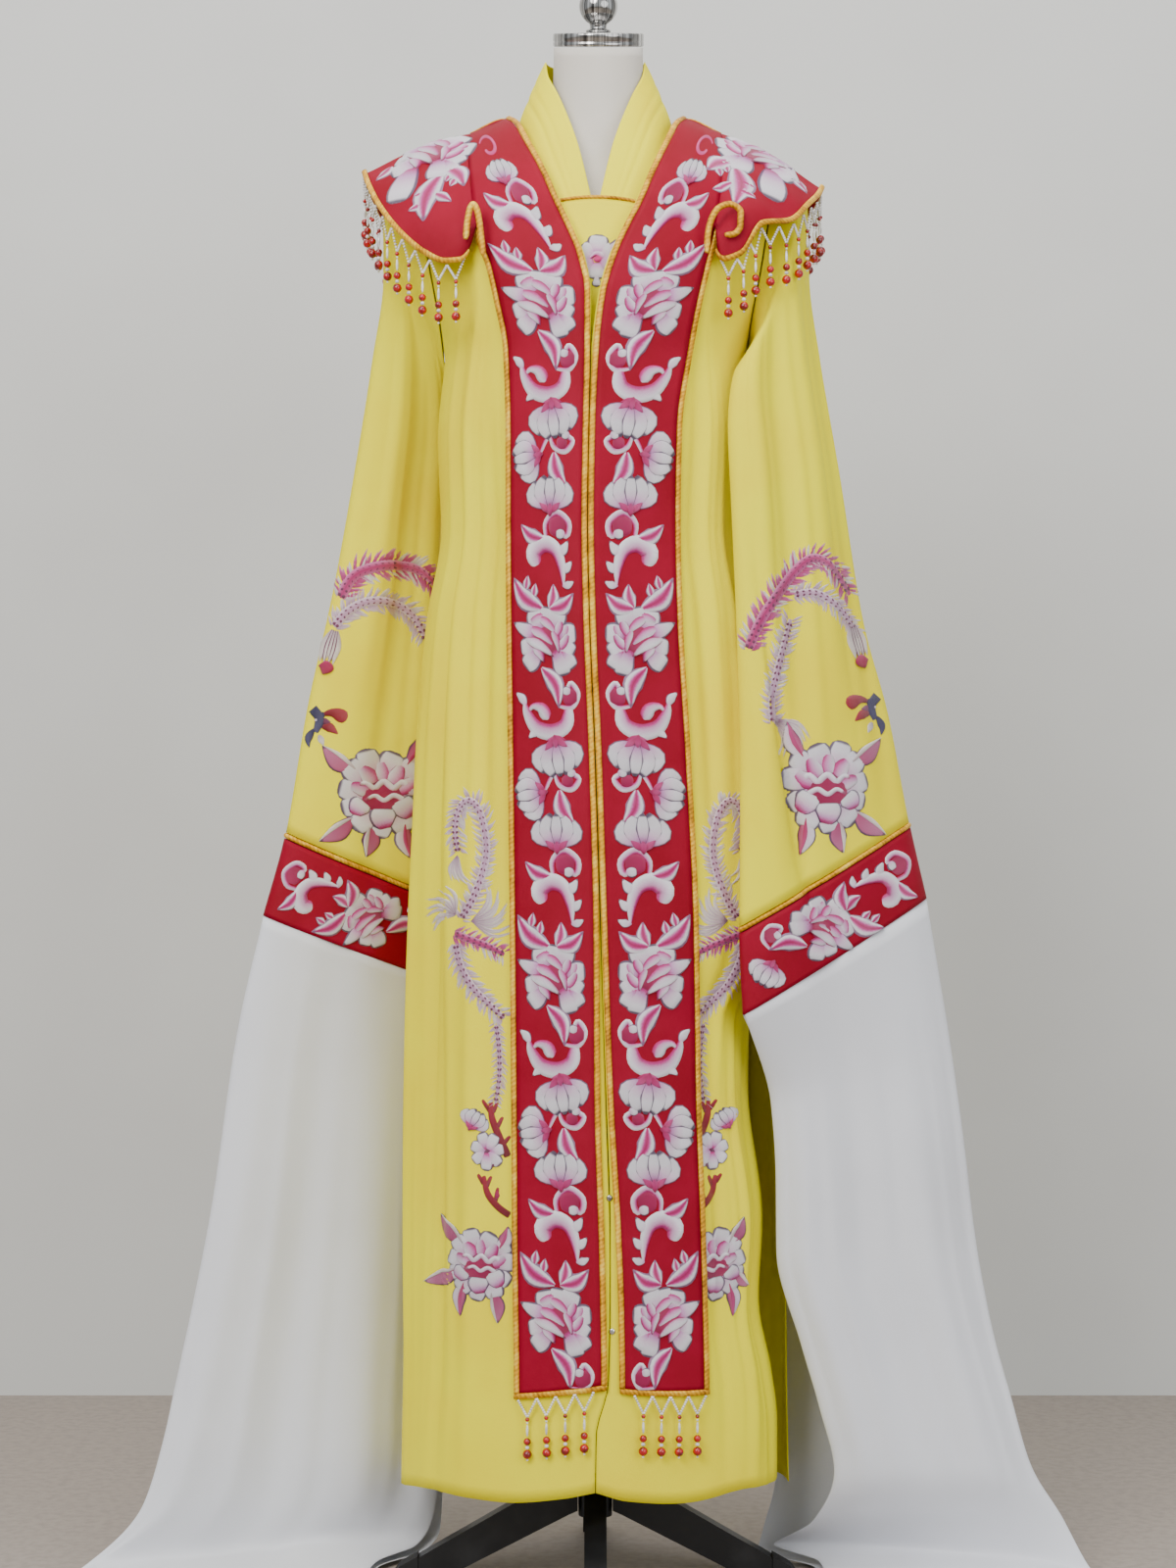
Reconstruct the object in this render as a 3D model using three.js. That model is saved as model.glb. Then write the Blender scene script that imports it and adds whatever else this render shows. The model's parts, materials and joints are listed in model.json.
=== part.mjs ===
import * as THREE from "three";

// A Chinese opera costume on a dress form: a yellow crepe robe with wide sleeves and white water
// sleeves, and a red cape whose two long bands hang down the front. Millimetres, +Z up, the front
// faces -Y. "left" is the side at -X and "right" the side at +X, as seen from the front.

const CREPE_WALL = 1.4;
const CAPE_WALL = 1.8;
const SILK_WALL = 1.2;
const SEAM_GAP = 0.3;
const BINDING_WIDTH = 4.6;
const BINDING_WALL = 2.8;
const PIPING_WALL = 3.4;
const BAND_LIFT = 2.9;
const BINDING_LIFT = 3.9;
const FRINGE_LENGTH = 60;
const FRINGE_WALL = 7;
const FRINGE_LIFT = 6.8;
const FRINGE_DROP = 4.5;
const FRINGE_INSET = 7;
const FRINGE_GAP = 2;
const EDGE_WALL = 1.6;
const EDGE_LIFT = 2.7;
// Half the distance between the fronts and the back along the side and shoulder seams.
const SEAM_HALF = 1.2;
// The share of a panel, next to its side seam, over which its folds die out.
const FOLD_FADE = 0.12;

const HEM_HEIGHT = 92;
const HEM_FADE_HEIGHT = 260;
const ARMPIT_HEIGHT = 1180;
const NOTCH_HEIGHT = 1296;
const SHOULDER_HEIGHT = 1368;
const NECK_HEIGHT = 1407;
const BODY_ROUNDNESS = 2.05;
const FRONT_HEIGHTS = [
  92, 150, 205, 330, 480, 640, 800, 960, 1105, 1180, 1228, 1270, 1305, 1340, 1370, 1393, 1407,
];
const BACK_HEIGHTS = [92, 205, 400, 640, 880, 1080, 1180, 1240, 1300, 1345, 1380, 1407];

const SIDES = { left: -1, right: 1 };

const COLOURS = {
  crepe: 0xd8cf62,
  cape: 0xa01f37,
  gold: 0xcfa644,
  silk: 0xd4d5d8,
  beads: 0xb02a2a,
  jersey: 0xd1cabf,
  chrome: 0xb8b8b8,
  black: 0x141414,
  rubber: 0x1c1b1a,
};

// ---------------------------------------------------------------- tables and curves

// Monotone cubic through a column of a table, so that a section never overshoots its neighbours.
function columnAt(rows, column, value) {
  const last = rows.length - 1;
  const p = Math.min(Math.max(value, rows[0][0]), rows[last][0]);
  let i = 0;
  while (i < last - 1 && p > rows[i + 1][0]) i += 1;
  const step = (k) => rows[k + 1][0] - rows[k][0];
  const secant = (k) => (rows[k + 1][column] - rows[k][column]) / step(k);
  const slope = (k) => {
    if (k === 0) return secant(0);
    if (k === last) return secant(last - 1);
    const before = secant(k - 1);
    const after = secant(k);
    if (before * after <= 0) return 0;
    const early = 2 * step(k) + step(k - 1);
    const late = step(k) + 2 * step(k - 1);
    return (early + late) / (early / before + late / after);
  };
  const h = step(i);
  const t = (p - rows[i][0]) / h;
  const rise = t * t * (3 - 2 * t);
  const start = rows[i][column] * (1 - rise) + h * slope(i) * t * (1 - t) ** 2;
  return start + rows[i + 1][column] * rise + h * slope(i + 1) * t * t * (t - 1);
}

// A table of sections. The first column is the place along the piece.
function track(columns, rows) {
  return (value) =>
    Object.fromEntries(columns.map((name, i) => [name, columnAt(rows, i + 1, value)]));
}

const mix = (a, b, t) => a + (b - a) * t;
// A swell across a piece: 0 at both edges and 1 in the middle.
const hump = (t) => 4 * t * (1 - t);
const vector = (x, y, z) => new THREE.Vector3(x, y, z);
const between = (a, b, t) => a.clone().lerp(b, t);

// A patch that fills four edges: low and high run along u, start and end run along v.
function coons(u, v, low, high, start, end) {
  const ruled = between(low(u), high(u), v).add(between(start(v), end(v), u));
  const corners = between(between(low(0), low(1), u), between(high(0), high(1), u), v);
  return ruled.sub(corners);
}

// Soft folds: each row is a ridge (or a trough, below zero) that fades in and out along the piece.
const FOLD_COLUMNS = ["place", "drift", "spread", "depth", "from", "to"];

function foldHeight(folds, place, along, wraps = false) {
  return folds.reduce((sum, row) => {
    const fold = Object.fromEntries(FOLD_COLUMNS.map((name, i) => [name, row[i]]));
    const reach = (along - fold.from) / (fold.to - fold.from);
    if (reach <= 0 || reach >= 1) return sum;
    let away = place - fold.place - fold.drift * reach;
    if (wraps) away -= Math.round(away);
    return sum + fold.depth * Math.sin(Math.PI * reach) * Math.exp(-((away / fold.spread) ** 2));
  }, 0);
}

// ---------------------------------------------------------------- solids

const SLIVER = 1e-3;

function normalAt(pointAt, u, v) {
  const inside = (t) => Math.min(Math.max(t, SLIVER), 1 - SLIVER);
  const a = inside(u);
  const b = inside(v);
  const across = pointAt(a + SLIVER, b).sub(pointAt(a - SLIVER, b));
  const along = pointAt(a, b + SLIVER).sub(pointAt(a, b - SLIVER));
  return across.cross(along).normalize();
}

function geometryOf(points, triangles) {
  const geometry = new THREE.BufferGeometry();
  const positions = points.flatMap((p) => [p.x, p.y, p.z]);
  geometry.setAttribute("position", new THREE.Float32BufferAttribute(positions, 3));
  geometry.setIndex(triangles);
  geometry.computeVertexNormals();
  return geometry;
}

const evenly = (steps) => Array.from({ length: steps + 1 }, (_, i) => i / steps);

// A cloth wall around pointAt(u, v), with a column at each of us and a row at each of vs.
// A ring is closed in u. facing is 1 where the normal of (u, v) leaves the body, and lift moves
// the wall out along it. floor stops it at the ground.
function wallOf(pointAt, us, vs, wall, { facing = 1, lift = 0, ring = false, floor } = {}) {
  const columns = us.length - 1;
  const rows = vs.length - 1;
  const wide = ring ? columns : columns + 1;
  const points = [];
  const triangles = [];
  const index = (side, i, j) => (side * (rows + 1) + j) * wide + (i % wide);
  const quad = (a, b, c, d) => {
    triangles.push(...(facing > 0 ? [a, b, c, a, c, d] : [a, c, b, a, d, c]));
  };
  for (const side of [1, -1]) {
    for (let j = 0; j <= rows; j += 1) {
      for (let i = 0; i < wide; i += 1) {
        const out = normalAt(pointAt, us[i], vs[j]);
        const point = pointAt(us[i], vs[j]);
        point.addScaledVector(out, facing * (lift + (side * wall) / 2));
        if (floor !== undefined) point.z = Math.max(point.z, floor);
        points.push(point);
      }
    }
  }
  for (let j = 0; j < rows; j += 1) {
    for (let i = 0; i < columns; i += 1) {
      quad(index(0, i, j), index(0, i + 1, j), index(0, i + 1, j + 1), index(0, i, j + 1));
      quad(index(1, i, j), index(1, i, j + 1), index(1, i + 1, j + 1), index(1, i + 1, j));
    }
    if (!ring) {
      quad(index(0, 0, j), index(0, 0, j + 1), index(1, 0, j + 1), index(1, 0, j));
      quad(index(0, columns, j), index(1, columns, j), index(1, columns, j + 1), index(0, columns, j + 1));
    }
  }
  for (let i = 0; i < columns; i += 1) {
    quad(index(0, i, 0), index(1, i, 0), index(1, i + 1, 0), index(0, i + 1, 0));
    quad(index(0, i, rows), index(0, i + 1, rows), index(1, i + 1, rows), index(1, i, rows));
  }
  return geometryOf(points, triangles);
}

// A solid through a stack of closed loops, each a function of the angle, with flat ends.
function stackOf(loops, sides) {
  const points = loops.flatMap((loop) =>
    Array.from({ length: sides }, (_, i) => loop((i / sides) * 2 * Math.PI)),
  );
  const triangles = [];
  for (let j = 0; j < loops.length - 1; j += 1) {
    for (let i = 0; i < sides; i += 1) {
      const a = j * sides + i;
      const b = j * sides + ((i + 1) % sides);
      triangles.push(a, b, b + sides, a, b + sides, a + sides);
    }
  }
  const top = (loops.length - 1) * sides;
  for (let i = 1; i < sides - 1; i += 1) {
    triangles.push(0, i + 1, i, top, top + i, top + i + 1);
  }
  return geometryOf(points, triangles);
}

const costume = new THREE.Group();

function add(name, geometry, colour, roughness = 0.7, metalness = 0) {
  const material = new THREE.MeshStandardMaterial({ color: COLOURS[colour], roughness, metalness });
  const mesh = new THREE.Mesh(geometry, material);
  mesh.name = name;
  costume.add(mesh);
  return mesh;
}

const addGold = (name, geometry) => add(name, geometry, "gold", 0.35, 0.6);
const addBlack = (name, geometry) => add(name, geometry, "black", 0.4, 0.3);
const addChrome = (name, geometry) => add(name, geometry, "chrome", 0.15, 1);

// ---------------------------------------------------------------- robe

const bodyAt = track(
  ["halfWidth", "front", "back"],
  [
    [92, 188, 136, 128],
    [207, 186, 135, 126],
    [330, 185, 134, 124],
    [480, 183, 133, 122],
    [640, 180, 132, 121],
    [800, 174, 131, 120],
    [930, 163, 130, 118],
    [1015, 149, 129, 116],
    [1105, 152, 128, 114],
    [1180, 145, 126, 114],
  ],
);

// slit: the front edge. sideX, sideY: the side edge, which leaves the seam in the side slit.
const PANEL_COLUMNS = ["slit", "sideX", "sideY"];
const panelAt = {
  left: track(PANEL_COLUMNS, [
    [92, -0.4, -188, -1.2],
    [152, 0.2, -187, -1.2],
    [207, 11.3, -186, -1.2],
    [330, 13.2, -185, -1.2],
    [480, 9.3, -183, -1.2],
    [640, 4.2, -180, -1.2],
    [800, -0.9, -174, -1.2],
    [930, -6, -163, -1.2],
    [1015, -7.7, -149, -1.2],
    [1105, -6.4, -152, -1.2],
    [1180, -4.9, -145, -1.2],
  ]),
  right: track(PANEL_COLUMNS, [
    [92, 0.4, 174, -38],
    [152, 1, 174, -38],
    [207, 12.1, 168, -40],
    [280, 13.9, 156, -44],
    [355, 14, 160, -40],
    [480, 10.1, 146, -38],
    [550, 7.6, 148, -26],
    [610, 5.8, 180, -1.2],
    [640, 5, 180, -1.2],
    [800, -0.1, 174, -1.2],
    [930, -5.2, 163, -1.2],
    [1015, -6.9, 149, -1.2],
    [1105, -5.6, 152, -1.2],
    [1180, -4.1, 145, -1.2],
  ]),
};

const HEM_COLUMNS = ["lift"];
const hemAt = {
  left: track(HEM_COLUMNS, [[0, 21], [0.1, 15], [0.3, 9], [0.6, 11], [1, 0]]),
  right: track(HEM_COLUMNS, [[0, 21], [0.1, 13], [0.3, 9], [0.6, 16], [0.85, 14], [1, 16]]),
};

// The front edge of the robe above the armpit: the V that runs up to the neck point.
const EDGE_COLUMNS = ["x", "y", "z"];
const neckEdgeAt = {
  left: track(EDGE_COLUMNS, [
    [0, -4.9, -126, 1180],
    [0.2, -4.2, -125, 1228],
    [0.32, -8, -121, 1256],
    [0.42, -15.5, -115, 1280],
    [0.56, -31, -103.6, 1314],
    [0.68, -44.6, -87, 1344],
    [0.82, -59, -60, 1374],
    [0.92, -71.5, -30, 1396],
    [1, -79, -1.2, 1407],
  ]),
  right: track(EDGE_COLUMNS, [
    [0, -4.1, -126, 1180],
    [0.2, 2.6, -125, 1228],
    [0.32, 9.6, -121, 1256],
    [0.42, 19.4, -115, 1280],
    [0.56, 36, -103.6, 1314],
    [0.68, 49, -87, 1344],
    [0.82, 62.4, -60, 1374],
    [0.92, 73.8, -30, 1396],
    [1, 81, -1.2, 1407],
  ]),
};

// Half of the armhole, on the front or the back of the shoulder.
const armholeAt = track(EDGE_COLUMNS, [
  [0, 145, 1.2, 1180],
  [0.2, 148, 26, 1210],
  [0.45, 158, 48, 1268],
  [0.7, 167, 40, 1325],
  [1, 174, 1.2, 1368],
]);

// The shoulder line, from the neck point out, and the neck of the back panel.
const SHOULDER_END = 174;
const SHOULDER_LENGTH = 91;
const shoulderHeight = (x) =>
  mix(SHOULDER_HEIGHT, NECK_HEIGHT, (SHOULDER_END - Math.abs(x)) / SHOULDER_LENGTH);

const FRONT_FOLDS = {
  left: [
    [0.4, 0.03, 0.035, -7, 600, 1140],
    [0.55, 0.02, 0.035, 7, 520, 1300],
    [0.68, -0.03, 0.04, -8, 300, 1260],
    [0.46, -0.02, 0.04, 6, 60, 820],
    [0.6, 0.02, 0.035, -7, 40, 720],
    [0.82, 0, 0.04, 8, 40, 900],
  ],
  right: [
    [0.42, 0.03, 0.035, -7, 640, 1250],
    [0.56, 0, 0.035, 6, 420, 1220],
    [0.5, -0.02, 0.04, -6, 60, 760],
    [0.66, 0, 0.04, 6, 40, 600],
    [0.82, 0, 0.04, -6, 40, 560],
  ],
};

const BACK_FOLDS = [
  [0.1, 0.02, 0.03, 8, 60, 900],
  [0.19, -0.02, 0.03, -9, 60, 1250],
  [0.3, 0.02, 0.035, 10, 40, 1000],
  [0.41, 0.01, 0.03, -10, 60, 1280],
  [0.52, -0.01, 0.035, 9, 40, 1120],
  [0.62, 0.02, 0.03, -9, 60, 1240],
  [0.73, -0.01, 0.035, 10, 40, 980],
  [0.84, 0.01, 0.03, -8, 60, 1200],
  [0.92, 0, 0.03, 7, 60, 860],
];

const roundX = (u) => Math.sin((u * Math.PI) / 2) ** (2 / BODY_ROUNDNESS);
const roundY = (u) => Math.cos((u * Math.PI) / 2) ** (2 / BODY_ROUNDNESS);
const upper = (height) => (height - ARMPIT_HEIGHT) / (NECK_HEIGHT - ARMPIT_HEIGHT);

function edgePoint(edge, w, mirrorX = 1, mirrorY = 1) {
  const e = edge(w);
  return vector(e.x * mirrorX, e.y * mirrorY, e.z);
}

// A point of a front panel without folds: u from the front edge to the side, height up the front.
function panelPoint(side, u, height) {
  const sign = SIDES[side];
  if (height > ARMPIT_HEIGHT) {
    const neck = edgePoint(neckEdgeAt[side], 1);
    const shoulder = (t) => {
      const x = mix(neck.x, sign * SHOULDER_END, t);
      return vector(x, -SEAM_HALF, shoulderHeight(x));
    };
    return coons(
      u,
      upper(height),
      (t) => panelPoint(side, t, ARMPIT_HEIGHT),
      shoulder,
      (w) => edgePoint(neckEdgeAt[side], w),
      (w) => edgePoint(armholeAt, w, sign, -1),
    );
  }
  const panel = panelAt[side](height);
  const fade = Math.max(0, 1 - (height - HEM_HEIGHT) / (HEM_FADE_HEIGHT - HEM_HEIGHT));
  return vector(
    mix(panel.slit, panel.sideX, roundX(u)),
    mix(panel.sideY, -bodyAt(height).front, roundY(u)),
    height + fade * hemAt[side](u).lift,
  );
}

// The same point with the folds, which leave the seams and the front edge alone.
function frontPoint(side, u, height) {
  const point = panelPoint(side, u, height);
  const free = Math.min(1, (1 - u) / FOLD_FADE);
  const fold = foldHeight(FRONT_FOLDS[side], u, height) * free;
  const out = vector(point.x, point.y, 0).normalize();
  return point.addScaledVector(out, fold);
}

function backPoint(u, height) {
  const sign = u < 0.5 ? -1 : 1;
  const from = Math.abs(2 * u - 1);
  const fold = foldHeight(BACK_FOLDS, u, height) * Math.min(1, (1 - from) / FOLD_FADE);
  const point = backPanel(sign, from, height);
  return point.addScaledVector(vector(point.x, point.y, 0).normalize(), fold);
}

// from: 0 at the middle of the back, 1 at the side.
function backPanel(sign, from, height) {
  if (height > ARMPIT_HEIGHT) {
    const neckRound = track(EDGE_COLUMNS, [
      [0, 0, 74, 1398],
      [0.22, 40, 60, 1401],
      [0.42, 72, 26, 1405],
      [0.56, 88, 2.4, shoulderHeight(88)],
      [1, SHOULDER_END, 1.2, shoulderHeight(SHOULDER_END)],
    ]);
    const middle = track(EDGE_COLUMNS, [[0, 0, 114, 1180], [0.5, 0, 110, 1300], [1, 0, 74, 1398]]);
    return coons(
      from,
      upper(height),
      (t) => backPanel(sign, t, ARMPIT_HEIGHT),
      (t) => edgePoint(neckRound, t, sign),
      (w) => edgePoint(middle, w),
      (w) => edgePoint(armholeAt, w, sign),
    );
  }
  const body = bodyAt(height);
  return vector(sign * body.halfWidth * roundX(from), mix(SEAM_HALF, body.back, roundY(from)), height);
}

const share = (height) => (height - HEM_HEIGHT) / (NECK_HEIGHT - HEM_HEIGHT);
const heightAt = (v) => mix(HEM_HEIGHT, NECK_HEIGHT, v);

for (const [side, sign] of Object.entries(SIDES)) {
  const pointAt = (u, v) => frontPoint(side, u, heightAt(v));
  const rows = FRONT_HEIGHTS.map(share);
  add(`robe_front_${side}`, wallOf(pointAt, evenly(11), rows, CREPE_WALL, { facing: sign }), "crepe");
}
add(
  "robe_back",
  wallOf(
    (u, v) => backPoint(u, heightAt(v)),
    evenly(20),
    BACK_HEIGHTS.map(share),
    CREPE_WALL,
    { facing: -1 },
  ),
  "crepe",
);

// ---------------------------------------------------------------- sleeves, cuffs, water sleeves

// Each row is one section of the flattened tube: its outer edge, its inner edge and half its depth.
const SLEEVE_COLUMNS = ["outerX", "outerY", "outerZ", "innerX", "innerY", "innerZ", "depth"];
const SLEEVE_END = 7;
const CUFF_END = 8;
const sleeveAt = {
  left: track(SLEEVE_COLUMNS, [
    [0, -182, 0, 1369, -152, 5, 1188, 46],
    [1, -206, 2, 1344, -147.5, 26, 1174, 40],
    [2, -205, 2, 1262, -146, 60, 1152, 32],
    [3, -215, 0, 1178, -146, 86, 1105, 27],
    [4, -232, -2, 1070, -148, 94, 1010, 25],
    [5, -252, -4, 959, -150, 98, 905, 25],
    [6, -278, -5, 843, -150, 100, 780, 25],
    [7, -299, -5, 723, -150, 100, 655, 25],
    [8, -321, -5, 643, -148, 102, 571, 25],
  ]),
  right: track(SLEEVE_COLUMNS, [
    [0, 182, 0, 1369, 152, -5, 1188, 46],
    [1, 205, -2, 1340, 148, -32, 1178, 40],
    [2, 205, -2, 1258, 134, -90, 1165, 28],
    [3, 215, -3, 1178, 127, -106, 1112, 25],
    [4, 234, -4, 1066, 130, -112, 1040, 24],
    [5, 257, -5, 928, 135, -114, 905, 24],
    [6, 282, -5, 838, 137, -114, 780, 24],
    [7, 303, -5, 733, 136, -114, 638, 24],
    [8, 320, -5, 660, 139, -114, 556, 24],
  ]),
};

// The water sleeves hang open along the inner edge, so the front and the back layer end apart.
// lean turns the front of the section up as the cloth runs out over the floor.
const WATER_COLUMNS = [
  "outerX", "outerY", "outerZ", "innerX", "innerY", "innerZ",
  "edgeX", "edgeY", "edgeZ", "frontDepth", "backDepth", "lean",
];
const waterAt = {
  left: track(WATER_COLUMNS, [
    [0, -321, -5, 642, -148, 102, 570, -148, 102, 570, 25, 25, 0],
    [1, -347, -8, 527, -150, 104, 470, -150, 100, 470, 25, 25, 0],
    [2, -372, -10, 357, -151, 105, 320, -152, 99, 320, 24, 24, 0],
    [3, -407, -10, 187, -152, 100, 165, -154, 92, 165, 22, 22, 0],
    [4, -419, -12, 132, -152, 99, 113, -155, 90, 114, 20, 20, 4],
    [5, -440, -14, 68, -153, 98, 60, -158, 86, 62, 16, 16, 20],
    [6, -474, -18, 30, -156, 94, 20, -166, 80, 26, 12, 10, 50],
    [7, -504, -34, 9, -176, 62, 6, -182, 58, 12, 9, 5, 90],
    [8, -512, -76, 6.4, -212, 14, 5.6, -214, 12, 10, 8, 5, 90],
    [9, -511, -140, 5.6, -224, -74, 4.6, -226, -76, 9, 7, 5, 90],
    [10, -502, -199, 4.6, -238, -158, 3.6, -240, -160, 8, 5, 4, 90],
  ]),
  right: track(WATER_COLUMNS, [
    [0, 320, -5, 659, 139, -114, 555, 139, -114, 555, 24, 24, 0],
    [1, 345, -8, 508, 177, -60, 470, 166, -74, 470, 24, 22, 0],
    [2, 357, -10, 420, 200, 8, 395, 171, -70, 400, 24, 18, 0],
    [3, 368, -10, 330, 168, 92, 318, 172, -66, 325, 24, 16, 0],
    [4, 385, -10, 240, 160, 100, 232, 195, -62, 240, 24, 18, 0],
    [5, 402, -12, 178, 168, 92, 160, 214, -60, 175, 22, 18, 4],
    [6, 422, -14, 110, 180, 74, 86, 228, -56, 114, 20, 16, 12],
    [7, 450, -16, 64, 168, 66, 34, 210, -20, 58, 16, 12, 40],
    [8, 482, -30, 10, 160, 62, 6, 176, 42, 20, 10, 5, 80],
    [9, 500, -74, 6.4, 214, 16, 5.6, 218, 14, 11, 8, 5, 90],
    [10, 506, -138, 5.6, 224, -70, 4.6, 226, -72, 9, 7, 5, 90],
    [11, 500, -198, 4.6, 240, -156, 3.6, 242, -158, 8, 5, 4, 90],
  ]),
};
const WATER_ROWS = { left: 10, right: 11 };

const ARM_FOLDS = {
  left: [
    [0.14, 0.02, 0.035, 7, 0.3, 6.5],
    [0.22, 0.02, 0.03, -7, 1, 8.2],
    [0.31, 0.01, 0.03, 6, 1.4, 7.4],
    [0.4, 0, 0.03, -6, 0.4, 5],
    [0.68, 0, 0.035, -7, 0.5, 7.8],
    [0.82, 0, 0.035, 7, 0.8, 7],
  ],
  right: [
    [0.1, 0.03, 0.035, -7, 1.2, 8],
    [0.2, 0.02, 0.03, 7, 0.4, 6],
    [0.29, 0.03, 0.03, -7, 0.8, 7],
    [0.38, 0.01, 0.03, 6, 1.4, 6.6],
    [0.7, 0, 0.035, -7, 0.5, 7.8],
    [0.84, 0, 0.035, 7, 0.8, 7],
  ],
};

const WATER_FOLDS = {
  left: [
    [0.12, -0.02, 0.03, -8, -0.6, 6.6],
    [0.2, -0.04, 0.035, 9, 0.2, 8.4],
    [0.3, -0.03, 0.03, -9, -0.4, 7.6],
    [0.4, 0.02, 0.03, 8, 0.4, 9],
    [0.64, 0, 0.04, -9, -0.4, 6.6],
    [0.78, 0.02, 0.04, 9, 0, 6.4],
    [0.9, 0, 0.04, -8, 0, 6.4],
  ],
  right: [
    [0.1, 0.01, 0.03, 7, 0.2, 7.6],
    [0.2, 0.03, 0.03, -8, -0.4, 7.2],
    [0.31, 0.03, 0.035, 9, 0.2, 8.8],
    [0.42, 0.02, 0.03, -8, -0.4, 9],
    [0.64, 0, 0.04, -8, -0.4, 6.8],
    [0.78, 0.02, 0.04, 9, 0, 6.8],
    [0.9, 0, 0.04, -8, 0, 6.8],
  ],
};

// The direction that the front of a section faces: square to its width, leaning up on the floor.
function sectionFront(width, lean = 0) {
  const angle = THREE.MathUtils.degToRad(lean);
  const front = vector(0, -Math.cos(angle), Math.sin(angle));
  const across = width.clone().normalize();
  return front.addScaledVector(across, -front.dot(across)).normalize();
}

const ARMHOLE_GAP = 1.8;

function armholePoint(side, turn) {
  const w = (1 + Math.cos(turn * 2 * Math.PI)) / 2;
  const point = edgePoint(armholeAt, w, SIDES[side], turn < 0.5 ? -1 : 1);
  point.x += SIDES[side] * ARMHOLE_GAP;
  return point;
}

// turn: 0 at the outer edge, 0.25 at the front, 0.5 at the inner edge, 0.75 at the back.
// The first stretch of the sleeve runs over from the armhole to the flattened tube.
function sleevePoint(side, turn, place) {
  const s = sleeveAt[side](place);
  const outer = vector(s.outerX, s.outerY, s.outerZ);
  const half = outer.clone().sub(vector(s.innerX, s.innerY, s.innerZ)).multiplyScalar(0.5);
  const angle = turn * 2 * Math.PI;
  const reach = s.depth + foldHeight(ARM_FOLDS[side], turn, place, true);
  const middle = outer.sub(half);
  const front = sectionFront(half);
  middle.addScaledVector(half, Math.cos(angle)).addScaledVector(front, Math.sin(angle) * reach);
  return middle.lerp(armholePoint(side, turn), Math.max(0, 1 - place) ** 2);
}

// The share of a full turn that the water sleeve's layers close.
const OPEN_TURN = 0.985;

// turn: 0 at the free edge of the front layer, 0.5 at the outer fold, 1 at the edge of the back one.
function waterPoint(side, turn, place) {
  const w = waterAt[side](place);
  const outer = vector(w.outerX, w.outerY, w.outerZ);
  const isFront = turn < 0.5;
  const end = isFront ? vector(w.edgeX, w.edgeY, w.edgeZ) : vector(w.innerX, w.innerY, w.innerZ);
  const half = outer.clone().sub(end).multiplyScalar(0.5);
  const angle = Math.PI * (1 - 2 * turn) * OPEN_TURN;
  const fold = foldHeight(WATER_FOLDS[side], turn, place);
  const depth = (isFront ? w.frontDepth : w.backDepth) + (isFront ? fold : -fold);
  const point = outer.sub(half).addScaledVector(half, Math.cos(angle));
  point.addScaledVector(sectionFront(half, w.lean), Math.sin(angle) * depth);
  point.z = Math.max(point.z, SILK_WALL / 2);
  return point;
}

const PIPING_STEP = 0.05;
const CUFF_GAP = 0.008;
const WATER_START = 0.012;
const SLEEVE_ROWS = [0, 0.03, 0.08, 0.16, 0.26, 0.38, 0.5, 0.64, 0.82, 1];

for (const [side, sign] of Object.entries(SIDES)) {
  const tube = (from, to) => (u, v) => sleevePoint(side, u, mix(from, to, v));
  const faced = { facing: -sign, ring: true };
  const cuffStart = SLEEVE_END + PIPING_STEP + CUFF_GAP;
  const around = evenly(18);
  const sleeve = wallOf(tube(0, SLEEVE_END - CUFF_GAP), around, SLEEVE_ROWS, CREPE_WALL, faced);
  add(`sleeve_${side}`, sleeve, "crepe");
  const piping = tube(SLEEVE_END, SLEEVE_END + PIPING_STEP);
  addGold(`cuff_piping_${side}`, wallOf(piping, around, evenly(1), PIPING_WALL, faced));
  add(`cuff_${side}`, wallOf(tube(cuffStart, CUFF_END), around, evenly(2), CAPE_WALL, faced), "cape");
  const drop = (u, v) => waterPoint(side, u, mix(WATER_START, WATER_ROWS[side], v));
  const water = { facing: sign, floor: 0 };
  add(`water_sleeve_${side}`, wallOf(drop, evenly(16), evenly(12), SILK_WALL, water), "silk", 0.5);
}

// ---------------------------------------------------------------- collar and bodice

const RIBBON_COLUMNS = ["lowX", "lowY", "lowZ", "topX", "topY", "topZ"];

// From the middle of the back (0) round the neck to the end at the V (1).
const collarAt = track(RIBBON_COLUMNS, [
  [0, 0, 67, 1401, 0, 58, 1472],
  [0.25, 43, 55, 1404, 37, 42, 1474],
  [0.45, 69, 26, 1407, 48, 14, 1474],
  [0.6, 75, 0, 1405, 46, -18, 1456],
  [0.72, 68, -36, 1385, 34, -42, 1428],
  [0.86, 60, -66, 1350, 17, -68, 1380],
  [1, 41, -90, 1312, 3, -92.5, 1319],
]);
const COLLAR_SWELL = 4;

function collarPoint(u, v) {
  const sign = u < 0.5 ? -1 : 1;
  const c = collarAt(Math.abs(2 * u - 1));
  const point = vector(sign * mix(c.lowX, c.topX, v), mix(c.lowY, c.topY, v), mix(c.lowZ, c.topZ, v));
  const out = vector(point.x, point.y, 0).normalize();
  return point.addScaledVector(out, COLLAR_SWELL * hump(v));
}

add("collar", wallOf(collarPoint, evenly(22), evenly(2), CREPE_WALL, { facing: 1 }), "crepe");

// The bodice fills the V: height, half its width and how far forward its middle is.
const BODICE_ROWS = [[1185, 8, 117], [1224, 16, 113], [1270, 34, 108], [1321, 52, 97.5]];
const bodiceAt = track(["halfWidth", "front"], BODICE_ROWS);
const BODICE_LOW = 1185;
const BODICE_TOP = 1321;
const BODICE_ARCH = 7;
const BODICE_CURVE = 5;

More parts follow.
